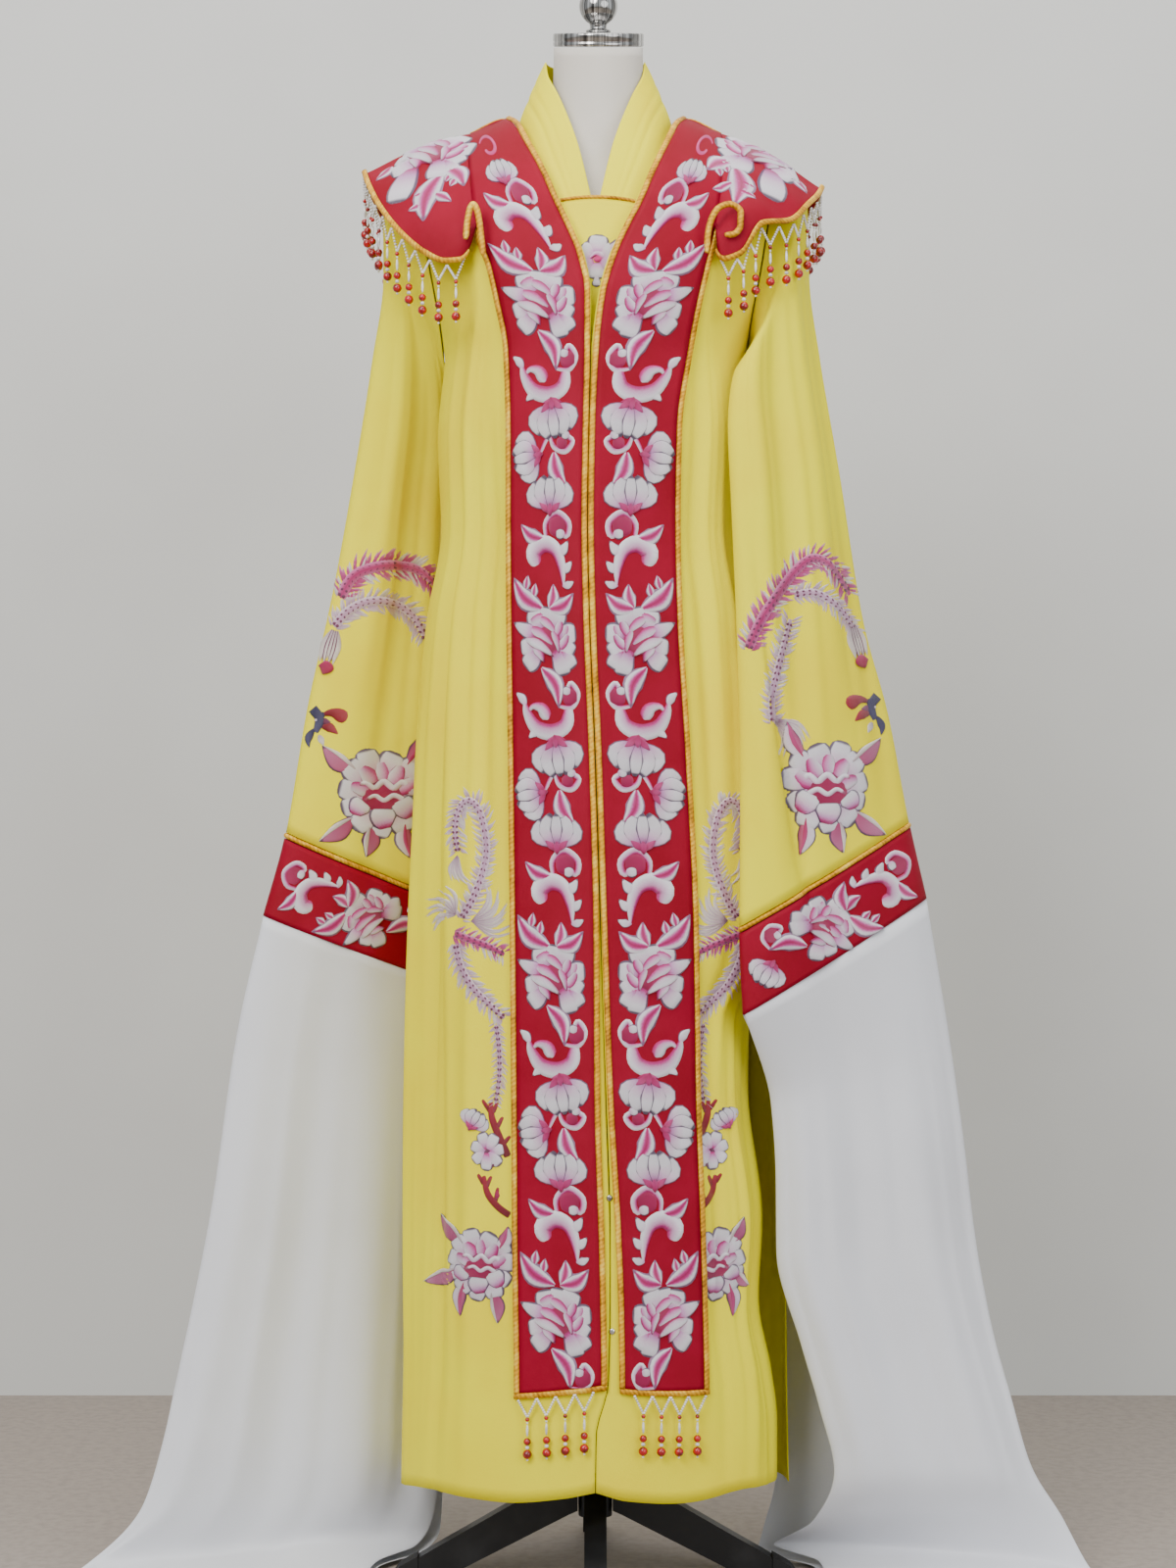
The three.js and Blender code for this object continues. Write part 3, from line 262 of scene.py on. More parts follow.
FRONT_FOLDS = {
    "left": [
        (0.4, 0.03, 0.035, -7, 600, 1140), (0.55, 0.02, 0.035, 7, 520, 1300),
        (0.68, -0.03, 0.04, -8, 300, 1260), (0.46, -0.02, 0.04, 6, 60, 820),
        (0.6, 0.02, 0.035, -7, 40, 720), (0.82, 0, 0.04, 8, 40, 900),
    ],
    "right": [
        (0.42, 0.03, 0.035, -7, 640, 1250), (0.56, 0, 0.035, 6, 420, 1220),
        (0.5, -0.02, 0.04, -6, 60, 760), (0.66, 0, 0.04, 6, 40, 600),
        (0.82, 0, 0.04, -6, 40, 560),
    ],
}
BACK_FOLDS = [
    (0.1, 0.02, 0.03, 8, 60, 900), (0.19, -0.02, 0.03, -9, 60, 1250),
    (0.3, 0.02, 0.035, 10, 40, 1000), (0.41, 0.01, 0.03, -10, 60, 1280),
    (0.52, -0.01, 0.035, 9, 40, 1120), (0.62, 0.02, 0.03, -9, 60, 1240),
    (0.73, -0.01, 0.035, 10, 40, 980), (0.84, 0.01, 0.03, -8, 60, 1200),
    (0.92, 0, 0.03, 7, 60, 860),
]
# The soft creases that the crepe takes between its folds.
FRONT_CREASES = {
    "left": [
        (0.47, 0.05, 0.014, -2.2, 700, 1180), (0.5, 0.02, 0.012, 1.8, 860, 1240),
        (0.62, -0.04, 0.014, -2.4, 820, 1250), (0.74, -0.03, 0.016, 2.2, 700, 1230),
        (0.53, 0.03, 0.016, 2, 100, 620), (0.67, -0.02, 0.014, -2, 120, 760),
        (0.75, 0.02, 0.016, 2, 90, 640), (0.36, 0.03, 0.012, -1.2, 900, 1200),
    ],
    "right": [
        (0.48, 0.03, 0.014, 2, 760, 1240), (0.52, 0.05, 0.014, -2.4, 640, 1200),
        (0.62, -0.04, 0.016, 2.2, 500, 1100), (0.7, -0.02, 0.014, -2, 400, 900),
        (0.58, 0.02, 0.016, 1.8, 110, 560), (0.74, 0.02, 0.016, -2, 90, 500),
    ],
}
BACK_CREASES = [
    (0.14, 0.02, 0.011, -2.4, 300, 1200), (0.245, -0.01, 0.012, 2.2, 200, 980),
    (0.355, 0.02, 0.012, -2.4, 400, 1240), (0.465, -0.01, 0.011, 2, 120, 900),
    (0.57, 0.01, 0.012, -2.4, 300, 1180), (0.675, -0.01, 0.012, 2.2, 150, 1020),
    (0.785, 0.01, 0.011, -2.2, 200, 1150), (0.88, -0.01, 0.012, 2, 100, 700),
]


def outward(p):
    return unit(p * np.array([1.0, 1.0, 0.0]))


def folded(p, rows, place, height, from_seam):
    """Cloth with its folds, which fade out towards the side seam."""
    depth = folds(rows, place, height) * np.minimum(1, from_seam / SEAM_FADE)
    return p + outward(p) * depth[..., None]


def front(side, u, height):
    """A front panel with its folds."""
    p = panel(side, u, height)
    return folded(p, FRONT_FOLDS[side] + FRONT_CREASES[side], u, height, 1 - u)


NECK_ROUND = [
    (0, 0, 74, 1398), (0.22, 40, 60, 1401), (0.42, 72, 26, 1405),
    (0.56, 88, 2.4, float(shoulder_height(88))), (1, 174, 1.2, 1368),
]
BACK_MIDDLE = [(0, 0, 114, 1180), (0.5, 0, 110, 1300), (1, 0, 74, 1398)]


def back_low(sign, away, height):
    """Half the robe's back below the armpit."""
    half, back = np.moveaxis(curve(BODY, height)[..., [0, 2]], -1, 0)
    return point(sign * half * round_x(away), mix(SEAM_HALF, back, round_y(away)), height)


def back(u, height):
    """The robe's back with its folds: u from the left side seam to the right one."""
    sign = np.where(u < 0.5, -1.0, 1.0)
    away = np.abs(2 * u - 1)
    flip = np.stack([sign, np.ones_like(sign), np.ones_like(sign)], axis=-1)
    high = coons(
        away,
        upper(height),
        lambda t: back_low(1, t, np.full_like(t, ARMPIT)),
        lambda t: edge(NECK_ROUND, t),
        lambda w: edge(BACK_MIDDLE, w),
        lambda w: edge(ARMHOLE, w),
    )
    p = np.where((height > ARMPIT)[..., None], high, back_low(1, away, height)) * flip
    return folded(p, BACK_FOLDS + BACK_CREASES, u, height, 1 - away)


# ------------------------------------------------------------------ the arms' form

# place: outer edge x y z, inner edge x y z, half the depth
SLEEVE = {
    "left": [
        (0, -182, 0, 1369, -152, 5, 1188, 46), (1, -206, 2, 1344, -145, 26, 1174, 40),
        (2, -205, 2, 1262, -143, 60, 1152, 32), (3, -215, 0, 1178, -143, 86, 1105, 27),
        (4, -232, -2, 1070, -148, 94, 1010, 25), (5, -252, -4, 959, -150, 98, 905, 25),
        (6, -278, -5, 843, -150, 100, 780, 25), (7, -299, -5, 723, -150, 100, 655, 25),
        (8, -321, -5, 643, -148, 102, 571, 25),
    ],
    "right": [
        (0, 182, 0, 1369, 152, -5, 1188, 46), (1, 205, -2, 1340, 148, -32, 1178, 40),
        (2, 205, -2, 1258, 134, -90, 1165, 28), (3, 215, -3, 1178, 127, -106, 1112, 25),
        (4, 234, -4, 1066, 130, -112, 1040, 24), (5, 257, -5, 928, 135, -114, 905, 24),
        (6, 282, -5, 838, 137, -114, 780, 24), (7, 303, -5, 733, 136, -114, 638, 24),
        (8, 320, -5, 660, 139, -114, 556, 24),
    ],
}
# place: outer fold x y z, back layer's edge x y z, front layer's edge x y z, depths, lean
WATER = {
    "left": [
        (0, -321, -5, 643, -148, 102, 571, -148, 102, 571, 25, 25, 0),
        (1, -347, -8, 527, -150, 104, 470, -150, 100, 470, 25, 25, 0),
        (2, -372, -10, 357, -151, 105, 320, -152, 99, 320, 24, 24, 0),
        (3, -407, -10, 187, -152, 100, 165, -154, 92, 165, 22, 22, 0),
        (4, -419, -12, 132, -152, 99, 113, -155, 90, 114, 20, 20, 4),
        (5, -440, -14, 68, -153, 98, 60, -158, 86, 62, 16, 16, 20),
        (6, -474, -18, 30, -156, 94, 20, -166, 80, 26, 12, 10, 50),
        (7, -504, -34, 9, -176, 62, 6, -182, 58, 12, 9, 5, 90),
        (8, -512, -76, 6.4, -212, 14, 5.6, -214, 12, 10, 8, 5, 90),
        (9, -511, -140, 5.6, -224, -74, 4.6, -226, -76, 9, 7, 5, 90),
        (10, -502, -199, 4.6, -238, -158, 3.6, -240, -160, 8, 5, 4, 90),
    ],
    "right": [
        (0, 320, -5, 660, 139, -114, 556, 139, -114, 556, 24, 24, 0),
        (1, 345, -8, 508, 177, -60, 470, 166, -74, 470, 24, 22, 0),
        (2, 357, -10, 420, 200, 8, 395, 171, -70, 400, 24, 18, 0),
        (3, 368, -10, 330, 168, 92, 318, 172, -66, 325, 24, 16, 0),
        (4, 385, -10, 240, 160, 100, 232, 195, -62, 240, 24, 18, 0),
        (5, 402, -12, 178, 168, 92, 160, 214, -60, 175, 22, 18, 4),
        (6, 422, -14, 110, 180, 74, 86, 228, -56, 114, 20, 16, 12),
        (7, 450, -16, 64, 168, 66, 34, 210, -20, 58, 16, 12, 40),
        (8, 482, -30, 10, 160, 62, 6, 176, 42, 20, 10, 5, 80),
        (9, 500, -74, 6.4, 214, 16, 5.6, 218, 14, 11, 8, 5, 90),
        (10, 506, -138, 5.6, 224, -70, 4.6, 226, -72, 9, 7, 5, 90),
        (11, 500, -198, 4.6, 240, -156, 3.6, 242, -158, 8, 5, 4, 90),
    ],
}
WATER_END = {"left": 10, "right": 11}
ARM_FOLDS = {
    "left": [
        (0.14, 0.02, 0.035, 7, 0.3, 6.5), (0.22, 0.02, 0.03, -7, 1, 8.2),
        (0.31, 0.01, 0.03, 6, 1.4, 7.4), (0.4, 0, 0.03, -6, 0.4, 5),
        (0.68, 0, 0.035, -7, 0.5, 7.8), (0.82, 0, 0.035, 7, 0.8, 7),
    ],
    "right": [
        (0.1, 0.03, 0.035, -7, 1.2, 8), (0.2, 0.02, 0.03, 7, 0.4, 6),
        (0.29, 0.03, 0.03, -7, 0.8, 7), (0.38, 0.01, 0.03, 6, 1.4, 6.6),
        (0.7, 0, 0.035, -7, 0.5, 7.8), (0.84, 0, 0.035, 7, 0.8, 7),
        (0.5, -0.19, 0.04, 10, 4.2, 8.04), (0.426, -0.17, 0.015, -13, 4.2, 8.04),
    ],
}
ARM_CREASES = {
    "left": [
        (0.1, 0.03, 0.012, -2, 0.6, 4.5), (0.18, 0.03, 0.012, 2.2, 1.5, 6.6),
        (0.26, 0.02, 0.012, -2.2, 2, 7), (0.35, -0.02, 0.012, 2, 0.8, 5.5),
        (0.44, -0.01, 0.01, -1.6, 0.5, 4), (0.6, 0, 0.012, 2, 1, 6),
        (0.75, 0, 0.012, -2, 0.8, 7), (0.9, 0, 0.012, 1.8, 1, 5),
    ],
    "right": [
        (0.06, 0.02, 0.012, 2, 0.8, 5), (0.15, 0.04, 0.012, -2.2, 0.8, 6.8),
        (0.25, 0.02, 0.012, 2.2, 1.4, 7), (0.34, 0.01, 0.012, -2, 1.6, 6.2),
        (0.42, 0, 0.01, 1.6, 1, 4.6), (0.62, 0, 0.012, 2, 1, 6),
        (0.77, 0, 0.012, -2, 0.8, 7), (0.9, 0, 0.012, 1.8, 1, 5),
    ],
}
WATER_FOLDS = {
    "left": [
        (0.12, -0.02, 0.03, -8, -0.6, 6.6), (0.2, -0.04, 0.035, 9, 0.2, 8.4),
        (0.3, -0.03, 0.03, -9, -0.4, 7.6), (0.4, 0.02, 0.03, 8, 0.4, 9),
        (0.64, 0, 0.04, -9, -0.4, 6.6), (0.78, 0.02, 0.04, 9, 0, 6.4),
        (0.9, 0, 0.04, -8, 0, 6.4),
    ],
    "right": [
        (0.1, 0.01, 0.03, 7, 0.2, 7.6), (0.2, 0.03, 0.03, -8, -0.4, 7.2),
        (0.31, 0.03, 0.035, 9, 0.2, 8.8), (0.42, 0.02, 0.03, -8, -0.4, 9),
        (0.64, 0, 0.04, -8, -0.4, 6.8), (0.78, 0.02, 0.04, 9, 0, 6.8),
        (0.9, 0, 0.04, -8, 0, 6.8),
    ],
}
WATER_CREASES = {
    "left": [
        (0.16, -0.03, 0.012, 2.4, 0, 6.8), (0.25, -0.04, 0.012, -2.2, 0.6, 8.4),
        (0.34, -0.02, 0.011, 2, 0, 7.2), (0.44, 0, 0.012, -2, 1, 8),
        (0.7, 0, 0.014, 2, 0, 6), (0.86, 0, 0.014, -2, 0, 6),
    ],
    "right": [
        (0.06, 0.01, 0.01, -1.6, 0.4, 6), (0.15, 0.03, 0.012, 2.2, 0, 7.4),
        (0.26, 0.03, 0.012, -2.4, 0.4, 8.2), (0.36, 0.03, 0.012, 2, 0.2, 8),
        (0.7, 0, 0.014, 2, 0, 6), (0.86, 0, 0.014, -2, 0, 6),
    ],
}
ARMHOLE_GAP = 1.8
WATER_OPEN, WATER_FLOOR = 0.985, 0.6
SLEEVE_END, CUFF_END, PIPING_STEP, CUFF_GAP, WATER_START = 7, 8, 0.05, 0.008, 0.002
PIPING_OVERLAP, PIPING_SIZE = 0.002, (2.5, 2.2)


def section_front(width, lean):
    """The way that a section faces, leaning up as the cloth runs out over the floor."""
    angle = np.radians(lean)
    way = np.stack(np.broadcast_arrays(0 * angle, -np.cos(angle), np.sin(angle)), axis=-1)
    across = unit(width)
    return unit(way - across * np.sum(way * across, axis=-1, keepdims=True))


def sleeve(side, turn, place):
    """A sleeve and its cuff: turn from 0 to 1 round it, place from the armhole down."""
    s = curve(SLEEVE[side], place)
    outer, inner, depth = s[..., 0:3], s[..., 3:6], s[..., 6]
    half = (outer - inner) / 2
    angle = turn * 2 * np.pi
    reach = depth + folds(ARM_FOLDS[side], turn, place, True)
    reach = reach + folds(ARM_CREASES[side], turn, place, True)
    way = section_front(half, np.zeros_like(depth))
    p = (outer + inner) / 2 + half * np.cos(angle)[..., None]
    p = p + way * (np.sin(angle) * reach)[..., None]
    w = (1 + np.cos(angle)) / 2
    hole = edge(ARMHOLE, w) * point(SIDES[side], np.where(turn < 0.5, -1.0, 1.0), 1.0)
    hole = hole + np.array([SIDES[side] * ARMHOLE_GAP, 0, 0])
    return mix(p, hole, (np.maximum(0, 1 - place) ** 2)[..., None])


def water(side, turn, place):
    """A water sleeve: turn from its front free edge round to its back one."""
    w = curve(WATER[side], place)
    outer, inner, free = w[..., 0:3], w[..., 3:6], w[..., 6:9]
    is_front = turn < 0.5
    end = np.where(is_front[..., None], free, inner)
    half = (outer - end) / 2
    angle = np.pi * (1 - 2 * turn) * WATER_OPEN
    fold = folds(WATER_FOLDS[side], turn, place) + folds(WATER_CREASES[side], turn, place)
    depth = np.where(is_front, w[..., 9] + fold, w[..., 10] - fold)
    p = outer - half + half * np.cos(angle)[..., None]
    p = p + section_front(half, w[..., 11]) * (np.sin(angle) * depth)[..., None]
    p[..., 2] = np.maximum(p[..., 2], WATER_FLOOR)
    return p


# ------------------------------------------------------------------ collar, bodice, cape

COLLAR = [
    (0, 0, 67, 1401, 0, 58, 1472), (0.25, 43, 55, 1404, 37, 42, 1474),
    (0.45, 69, 26, 1407, 48, 14, 1474), (0.6, 75, 0, 1405, 46, -18, 1456),
    (0.72, 68, -36, 1385, 34, -42, 1428), (0.86, 60, -66, 1350, 17, -68, 1380),
    (1, 41, -90, 1312, 3, -92.5, 1319),
]
COLLAR_SWELL = 4
# Creases along the collar: height, slant, spread, depth, and how far round they start.
COLLAR_CREASES = ((0.42, 0.1, 0.05, 0.8, -1), (0.72, -0.06, 0.04, 0.5, 0.3))


def collar(u, v):
    """The standing collar, round the neck and up."""
    sign = np.where(u < 0.5, -1.0, 1.0)
    c = curve(COLLAR, np.abs(2 * u - 1))
    b = v[..., None]
    p = mix(c[..., 0:3], c[..., 3:6], b) * point(sign, 1.0, 1.0)
    return p + outward(p) * (COLLAR_SWELL * 4 * b * (1 - b))


BODICE = [(1185, 8, 117), (1224, 16, 113), (1270, 34, 108), (1321, 52, 97.5)]
BODICE_LOW, BODICE_TOP, BODICE_ARCH, BODICE_CURVE = 1185, 1321, 7, 5
PIPING_HIGH, BODICE_CORD = 3.4, (1.8, 1.7)


def bodice(u, height):
    """The inner front that fills the V."""
    across = 2 * u - 1
    half, ahead = np.moveaxis(curve(BODICE, height), -1, 0)
    rise = np.maximum(0, (height - BODICE_LOW) / (BODICE_TOP - BODICE_LOW))
    return point(
        across * half, BODICE_CURVE * across**2 - ahead, height - BODICE_ARCH * across**2 * rise
    )


# height: inner edge and outer edge of the red band
BAND = {
    "left": [
        (92, 5.5, -70), (205, 5.5, -70), (330, 3.6, -71.5), (480, -0.9, -72.5),
        (640, -1.9, -73.8), (800, -6.2, -75.5), (930, -11.3, -77), (1015, -13, -77.4),
        (1105, -11.7, -77.6), (1180, -10.3, -80), (1228, -10.2, -88), (1262, -17.2, -96),
        (1290, -29, -107), (1310, -39, -112), (1340, -53, -115), (1370, -67.5, -118),
        (1407, -86, -120),
    ],
    "right": [
        (92, 27.3, 100), (205, 27.3, 100), (280, 26.4, 98.5), (355, 23.6, 96.5),
        (480, 16.4, 92), (640, 10.8, 90), (800, 5.5, 82.5), (930, 0, 75), (1015, -1.7, 73),
        (1105, -0.4, 74.5), (1180, 3.2, 85), (1228, 9.6, 93), (1262, 20, 101),
        (1290, 33, 109), (1310, 44, 113), (1340, 57.5, 116), (1370, 70.5, 119),
        (1407, 88, 121),
    ],
}
INNER, OUTER = 0, 1
BAND_END = {"left": (207, 200), "right": (205, 203)}
BAND_TOP = NECK - 0.5
NOTCH = 1296
BAND_LIFT, BINDING_LIFT, EDGE_LIFT = 2.9, 3.9, 2.7
BINDING_WIDTH, SEAM_GAP = 4.6, 0.3
# Half the height of the cords, and how much of a cloth lies under the cord at its edge.
BAND_CORD, EDGE_CORD, WING_RIM, BACK_RIM = 1.6, 1.5, 0.04, 0.03


HALVINGS = 22


def at_x(side, x, height):
    """The point of a front panel that has this x at this height."""
    x, height = np.broadcast_arrays(np.asarray(x, float), np.asarray(height, float))
    low, high = np.zeros_like(x), np.ones_like(x)
    for _ in range(HALVINGS):
        middle = (low + high) / 2
        short = panel(side, middle, height)[..., 0] * SIDES[side] < x * SIDES[side]
        low, high = np.where(short, middle, low), np.where(short, high, middle)
    return panel(side, (low + high) / 2, height)


def strip(side, which, start, stop, low, top):
    """A strip on the panel, set off from the band's inner or outer edge."""
    outboard = SIDES[side] * (1 if which == OUTER else -1)

    def at(u, v):
        height = mix(low, top, v)
        return at_x(side, column(BAND[side], height, which) + outboard * mix(start, stop, u), height)

    return at


def band(side, u, v):
    """A red band on its panel: u from the inner edge, v from its lower end."""
    inner_end, outer_end = BAND_END[side]
    height = mix(mix(inner_end, outer_end, u), BAND_TOP, v)
    edges = curve(BAND[side], height)
    return at_x(side, mix(edges[..., 0], edges[..., 1], u), height)


# place: height of the seam on the band, free edge x y z
WING = {
    "left": [
        (0, 1297, -114, -99, 1289), (0.03, 1298, -119, -103, 1274),
        (0.07, 1300, -129, -105, 1262), (0.12, 1305, -141, -103, 1261),
        (0.2, 1322, -160, -93, 1270), (0.28, 1345, -183, -78, 1290),
        (0.38, 1375, -207, -50, 1322), (0.46, 1396, -221, -18, 1351),
        (0.5, 1406, -225, 0, 1363),
    ],
    "right": [
        (0, 1297, 114, -99, 1287), (0.03, 1298, 115, -102, 1274),
        (0.07, 1300, 121, -105, 1263), (0.12, 1305, 135, -103, 1268),
        (0.2, 1322, 157, -94, 1298), (0.28, 1345, 182, -78, 1302),
        (0.38, 1375, 203, -50, 1322), (0.46, 1396, 216, -18, 1338),
        (0.5, 1406, 221, 0, 1348),
    ],
}
# The soft ripples of a wing's free edge: depth, rate, start.
RIPPLES = ((2.6, 34, 1.2), (1.4, 61, 0))
WING_SWELL, BACK_SWELL, WING_GAP, RIDGE_FLATNESS, BACK_SEAM_TOP = 9, 14, 0.5, 0.55, 0.52
RIDGE_LIFT, RIDGE_RISE, RIDGE_SHARPNESS = 8.5, 3, 4
WING_PIVOT_X, WING_PIVOT_Z = 120, 1180
SEAM_PLACES, SEAM_TOP, NORMAL_STEP = 401, NECK - 1.5, 1.2


def ridge_point(p, out, height, lift):
    """A point raised off the body: more so towards the shoulder line, where it goes up."""
    near = np.maximum(0, (height - NOTCH) / (NECK - NOTCH))
    way = unit(out + point(0.0, 0.0, near**RIDGE_SHARPNESS * RIDGE_RISE))
    return p + way * (lift + RIDGE_LIFT * np.sin(near * np.pi / 2))[..., None]


def strip_normal(side, height):
    """The way out of a panel at the outer edge of its band."""
    step = NORMAL_STEP
    x = column(BAND[side], height, OUTER)
    across = at_x(side, x + SIDES[side] * step, height) - at_x(side, x, height)
    above = column(BAND[side], height + step, OUTER)
    below = column(BAND[side], height - step, OUTER)
    along = at_x(side, above, height + step) - at_x(side, below, height - step)
    return unit(np.cross(across, along)) * SIDES[side]


KEPT_SEAMS = {}


def seam_line(side):
    """The front half of a wing's seam, worked out once at close places."""
    if side not in KEPT_SEAMS:
        place = np.linspace(0, 0.5, SEAM_PLACES)
        height = column(WING[side], place, 0)
        out = strip_normal(side, np.minimum(height, SEAM_TOP))
        p = at_x(side, column(BAND[side], height, OUTER), height)
        KEPT_SEAMS[side] = place, ridge_point(p, out, height, BAND_LIFT)
    return KEPT_SEAMS[side]


def behind(place):
    """What turns the second half of a wing to the back, where it mirrors the first half."""
    return point(1.0, np.where(place > 0.5, -1.0, 1.0), 1.0)


def seam(side, place, gap):
    """A wing's seam, set off from the band by the gap."""
    places, line = seam_line(side)
    near = np.minimum(place, 1 - place)
    p = np.stack([np.interp(near, places, line[:, k]) for k in range(3)], axis=-1)
    return (p + np.array([SIDES[side] * gap, 0, 0])) * behind(place)


def wing_out(side, p):
    """The way off the shoulder at each point of a wing."""
    return unit(p - np.array([SIDES[side] * WING_PIVOT_X, 0, WING_PIVOT_Z]))


def wing(side, u, place):
    """A shoulder wing: u from its seam out, place from its front end to its back end."""
    rim = curve(WING[side], np.minimum(place, 1 - place))[..., 1:4] * behind(place)
    p = mix(seam(side, place, WING_GAP), rim, u[..., None])
    out = wing_out(side, p)
    swell = mix(WING_SWELL, BACK_SWELL, place) * (1 - RIDGE_FLATNESS * np.sin(place * np.pi) ** 4)
    return p + out * (swell * 4 * u * (1 - u))[..., None]


CAPE_HEM = [
    (0, 0, 127, 1236), (0.3, 36, 125, 1240), (0.6, 72, 116, 1256), (0.85, 100, 106, 1280),
    (1, 113, 100, 1290),
]
CAPE_NECK = [
    (0, 0, 77, 1405), (0.25, 42, 62, 1409), (0.5, 75, 28, 1413), (0.7, 88, 5, 1413),
    (1, 121, 2.6, 1397),
]
# The reach of the back's neck corners: where it starts and how soon it is full, across the
# cloth, and how far the cloth moves towards the front and up, near the neck and at its ends.
CORNER_START, CORNER_RUN, CORNER_OUTER = 0.5, 0.2, 0.7
CORNER_AHEAD, CORNER_UP = (9.4, 12.0), (1.8, 3.3)


def cape_back(u, v):
    """The cape's back, between the wings: v from its hem to the neck."""
    def side_seam(side):
        return lambda t: seam(side, mix(1, BACK_SEAM_TOP, t), -WING_GAP)

    def meet(table, place):
        left = seam("left", np.array([place]), -WING_GAP)[0]
        right = seam("right", np.array([place]), -WING_GAP)[0]

        def at(t):
            sign = np.where(t < 0.5, -1.0, 1.0)
            away = np.abs(2 * t - 1)
            flip = point(sign, 1.0, 1.0)
            end = edge(table, np.ones_like(away)) * flip
            target = np.where((sign < 0)[..., None], left, right)
            return edge(table, away) * flip + (target - end) * (away**3)[..., None]

        return at

    p = coons(
        u, v, meet(CAPE_HEM, 1.0), meet(CAPE_NECK, BACK_SEAM_TOP), side_seam("left"),
        side_seam("right"),
    )
    # The corners at the neck reach over the shoulder to the ends of the bands.
    away = np.abs(2 * u - 1)
    corner = np.clip((away - CORNER_START) / CORNER_RUN, 0, 1)
    near = corner**2 * (3 - 2 * corner) * v**8
    outer = np.maximum(0, away - CORNER_OUTER) / (1 - CORNER_OUTER)
    return p + point(0.0, -mix(*CORNER_AHEAD, outer), mix(*CORNER_UP, outer)) * near[..., None]


# height, half the width, front, back, tip, shift
FORM = [
    (690, 148, 86, 94, 0, 0), (702, 156, 92, 100, 0, 0), (780, 155, 100, 104, 0, 0),
    (880, 148, 94, 102, 0, 0), (1000, 118, 80, 86, 0, 0), (1100, 126, 88, 84, 0, 0),
    (1200, 137, 101, 88, 0, 0), (1260, 138, 96, 90, 0, 0), (1310, 138, 80, 84, 0, 0),
    (1345, 130, 64, 68, 0, 0), (1370, 98, 53, 54, 0, 1), (1385, 80, 50, 54, 0.02, 2),
    (1398, 61, 48, 50, 0.06, 3), (1420, 48, 45, 46, 0.12, 3), (1450, 44, 43.5, 44, 0.2, 3),
    (1485.4, 43, 43, 43, 0.231, 3),
]
FORM_ROUNDNESS = 2.25
# How far round it is for the weave (in metres), the rings that close its two ends, and how the
# top of its neck is tipped (in degrees) and where that lies.
FORM_ROUND, CAP_STEPS = 0.8, (0.2, 0.4, 0.6, 0.8, 0.985)
NECK_TIP, NECK_TOP = 13, (3, 0, 1486)


def form(turn, height):
    """The torso and neck of the dress form."""
    half, ahead, behind, tip, shift = np.moveaxis(curve(FORM, height), -1, 0)
    angle = turn * 2 * np.pi
    c, s = np.cos(angle), np.sin(angle)
    power = 2 / FORM_ROUNDNESS
    y = np.sign(s) * np.abs(s) ** power * np.where(s < 0, ahead, behind)
    x = np.sign(c) * np.abs(c) ** power * half + shift
    return point(x, y, height + tip * y)


# ------------------------------------------------------------------ meshes


def new_piece(name, points, faces, uvs=None, smooth=True):
    """An object from points in millimetres and faces that all have the same number of corners."""
    mesh = bpy.data.meshes.new(name)
    corners = faces.shape[1]
    mesh.vertices.add(len(points))
    mesh.vertices.foreach_set("co", (points * MM).astype(np.float32).ravel())
    mesh.loops.add(faces.size)
    mesh.loops.foreach_set("vertex_index", faces.astype(np.int32).ravel())
    mesh.polygons.add(len(faces))
    mesh.polygons.foreach_set("loop_start", np.arange(0, faces.size, corners, dtype=np.int32))
    mesh.polygons.foreach_set("use_smooth", np.full(len(faces), smooth))
    mesh.update(calc_edges=True)
    for layer, values in (uvs or {}).items():
        data = mesh.uv_layers.new(name=layer).data
        data.foreach_set("uv", values[faces.ravel()].astype(np.float32).ravel())
    mesh.validate()
    piece = bpy.data.objects.new(name, mesh)
    bpy.context.scene.collection.objects.link(piece)
    return piece


def joined(parts):
    """The points and faces of several meshes as those of one."""
    points, faces = zip(*parts)
    starts = np.concatenate([[0], np.cumsum([len(p) for p in points])])
    return np.concatenate(points), np.concatenate([f + k for f, k in zip(faces, starts)])


def paint_faces(piece, marks):
    """Gives each face the finish that its number stands for."""
    piece.data.polygons.foreach_set("material_index", np.array(marks, np.int32))


def travelled(p):
    """How far along a row of points each one lies."""
    return np.concatenate([[0], np.cumsum(np.linalg.norm(np.diff(p, axis=0), axis=1))])


def grid_faces(wide, tall, start=0, ring=False):
    """Quads of a grid whose points run along u first. A ring joins its last column to its first."""
    columns = wide if ring else wide - 1
    i, j = np.meshgrid(np.arange(columns), np.arange(tall - 1))
    i, j = i.ravel(), j.ravel()
    k = (i + 1) % wide
    return start + np.stack([j * wide + i, j * wide + k, (j + 1) * wide + k, (j + 1) * wide + i], 1)


def slopes(p, ring=False):
    """How a grid of points changes along u and along v."""
    if ring:
        across = np.roll(p, -1, axis=1) - np.roll(p, 1, axis=1)
    else:
        across = np.gradient(p, axis=1)
    return across, np.gradient(p, axis=0)


def lengths(p):
    """The distance along the cloth, in metres, at each point of a grid, for its weave."""
    u_step = np.linalg.norm(np.diff(p, axis=1), axis=2).mean(axis=0)
    v_step = np.linalg.norm(np.diff(p, axis=0), axis=2).mean(axis=1)
    u = np.concatenate([[0], np.cumsum(u_step)]) * MM
    v = np.concatenate([[0], np.cumsum(v_step)]) * MM
    return np.stack(np.meshgrid(u, v), axis=-1)


FACES_OF = {}


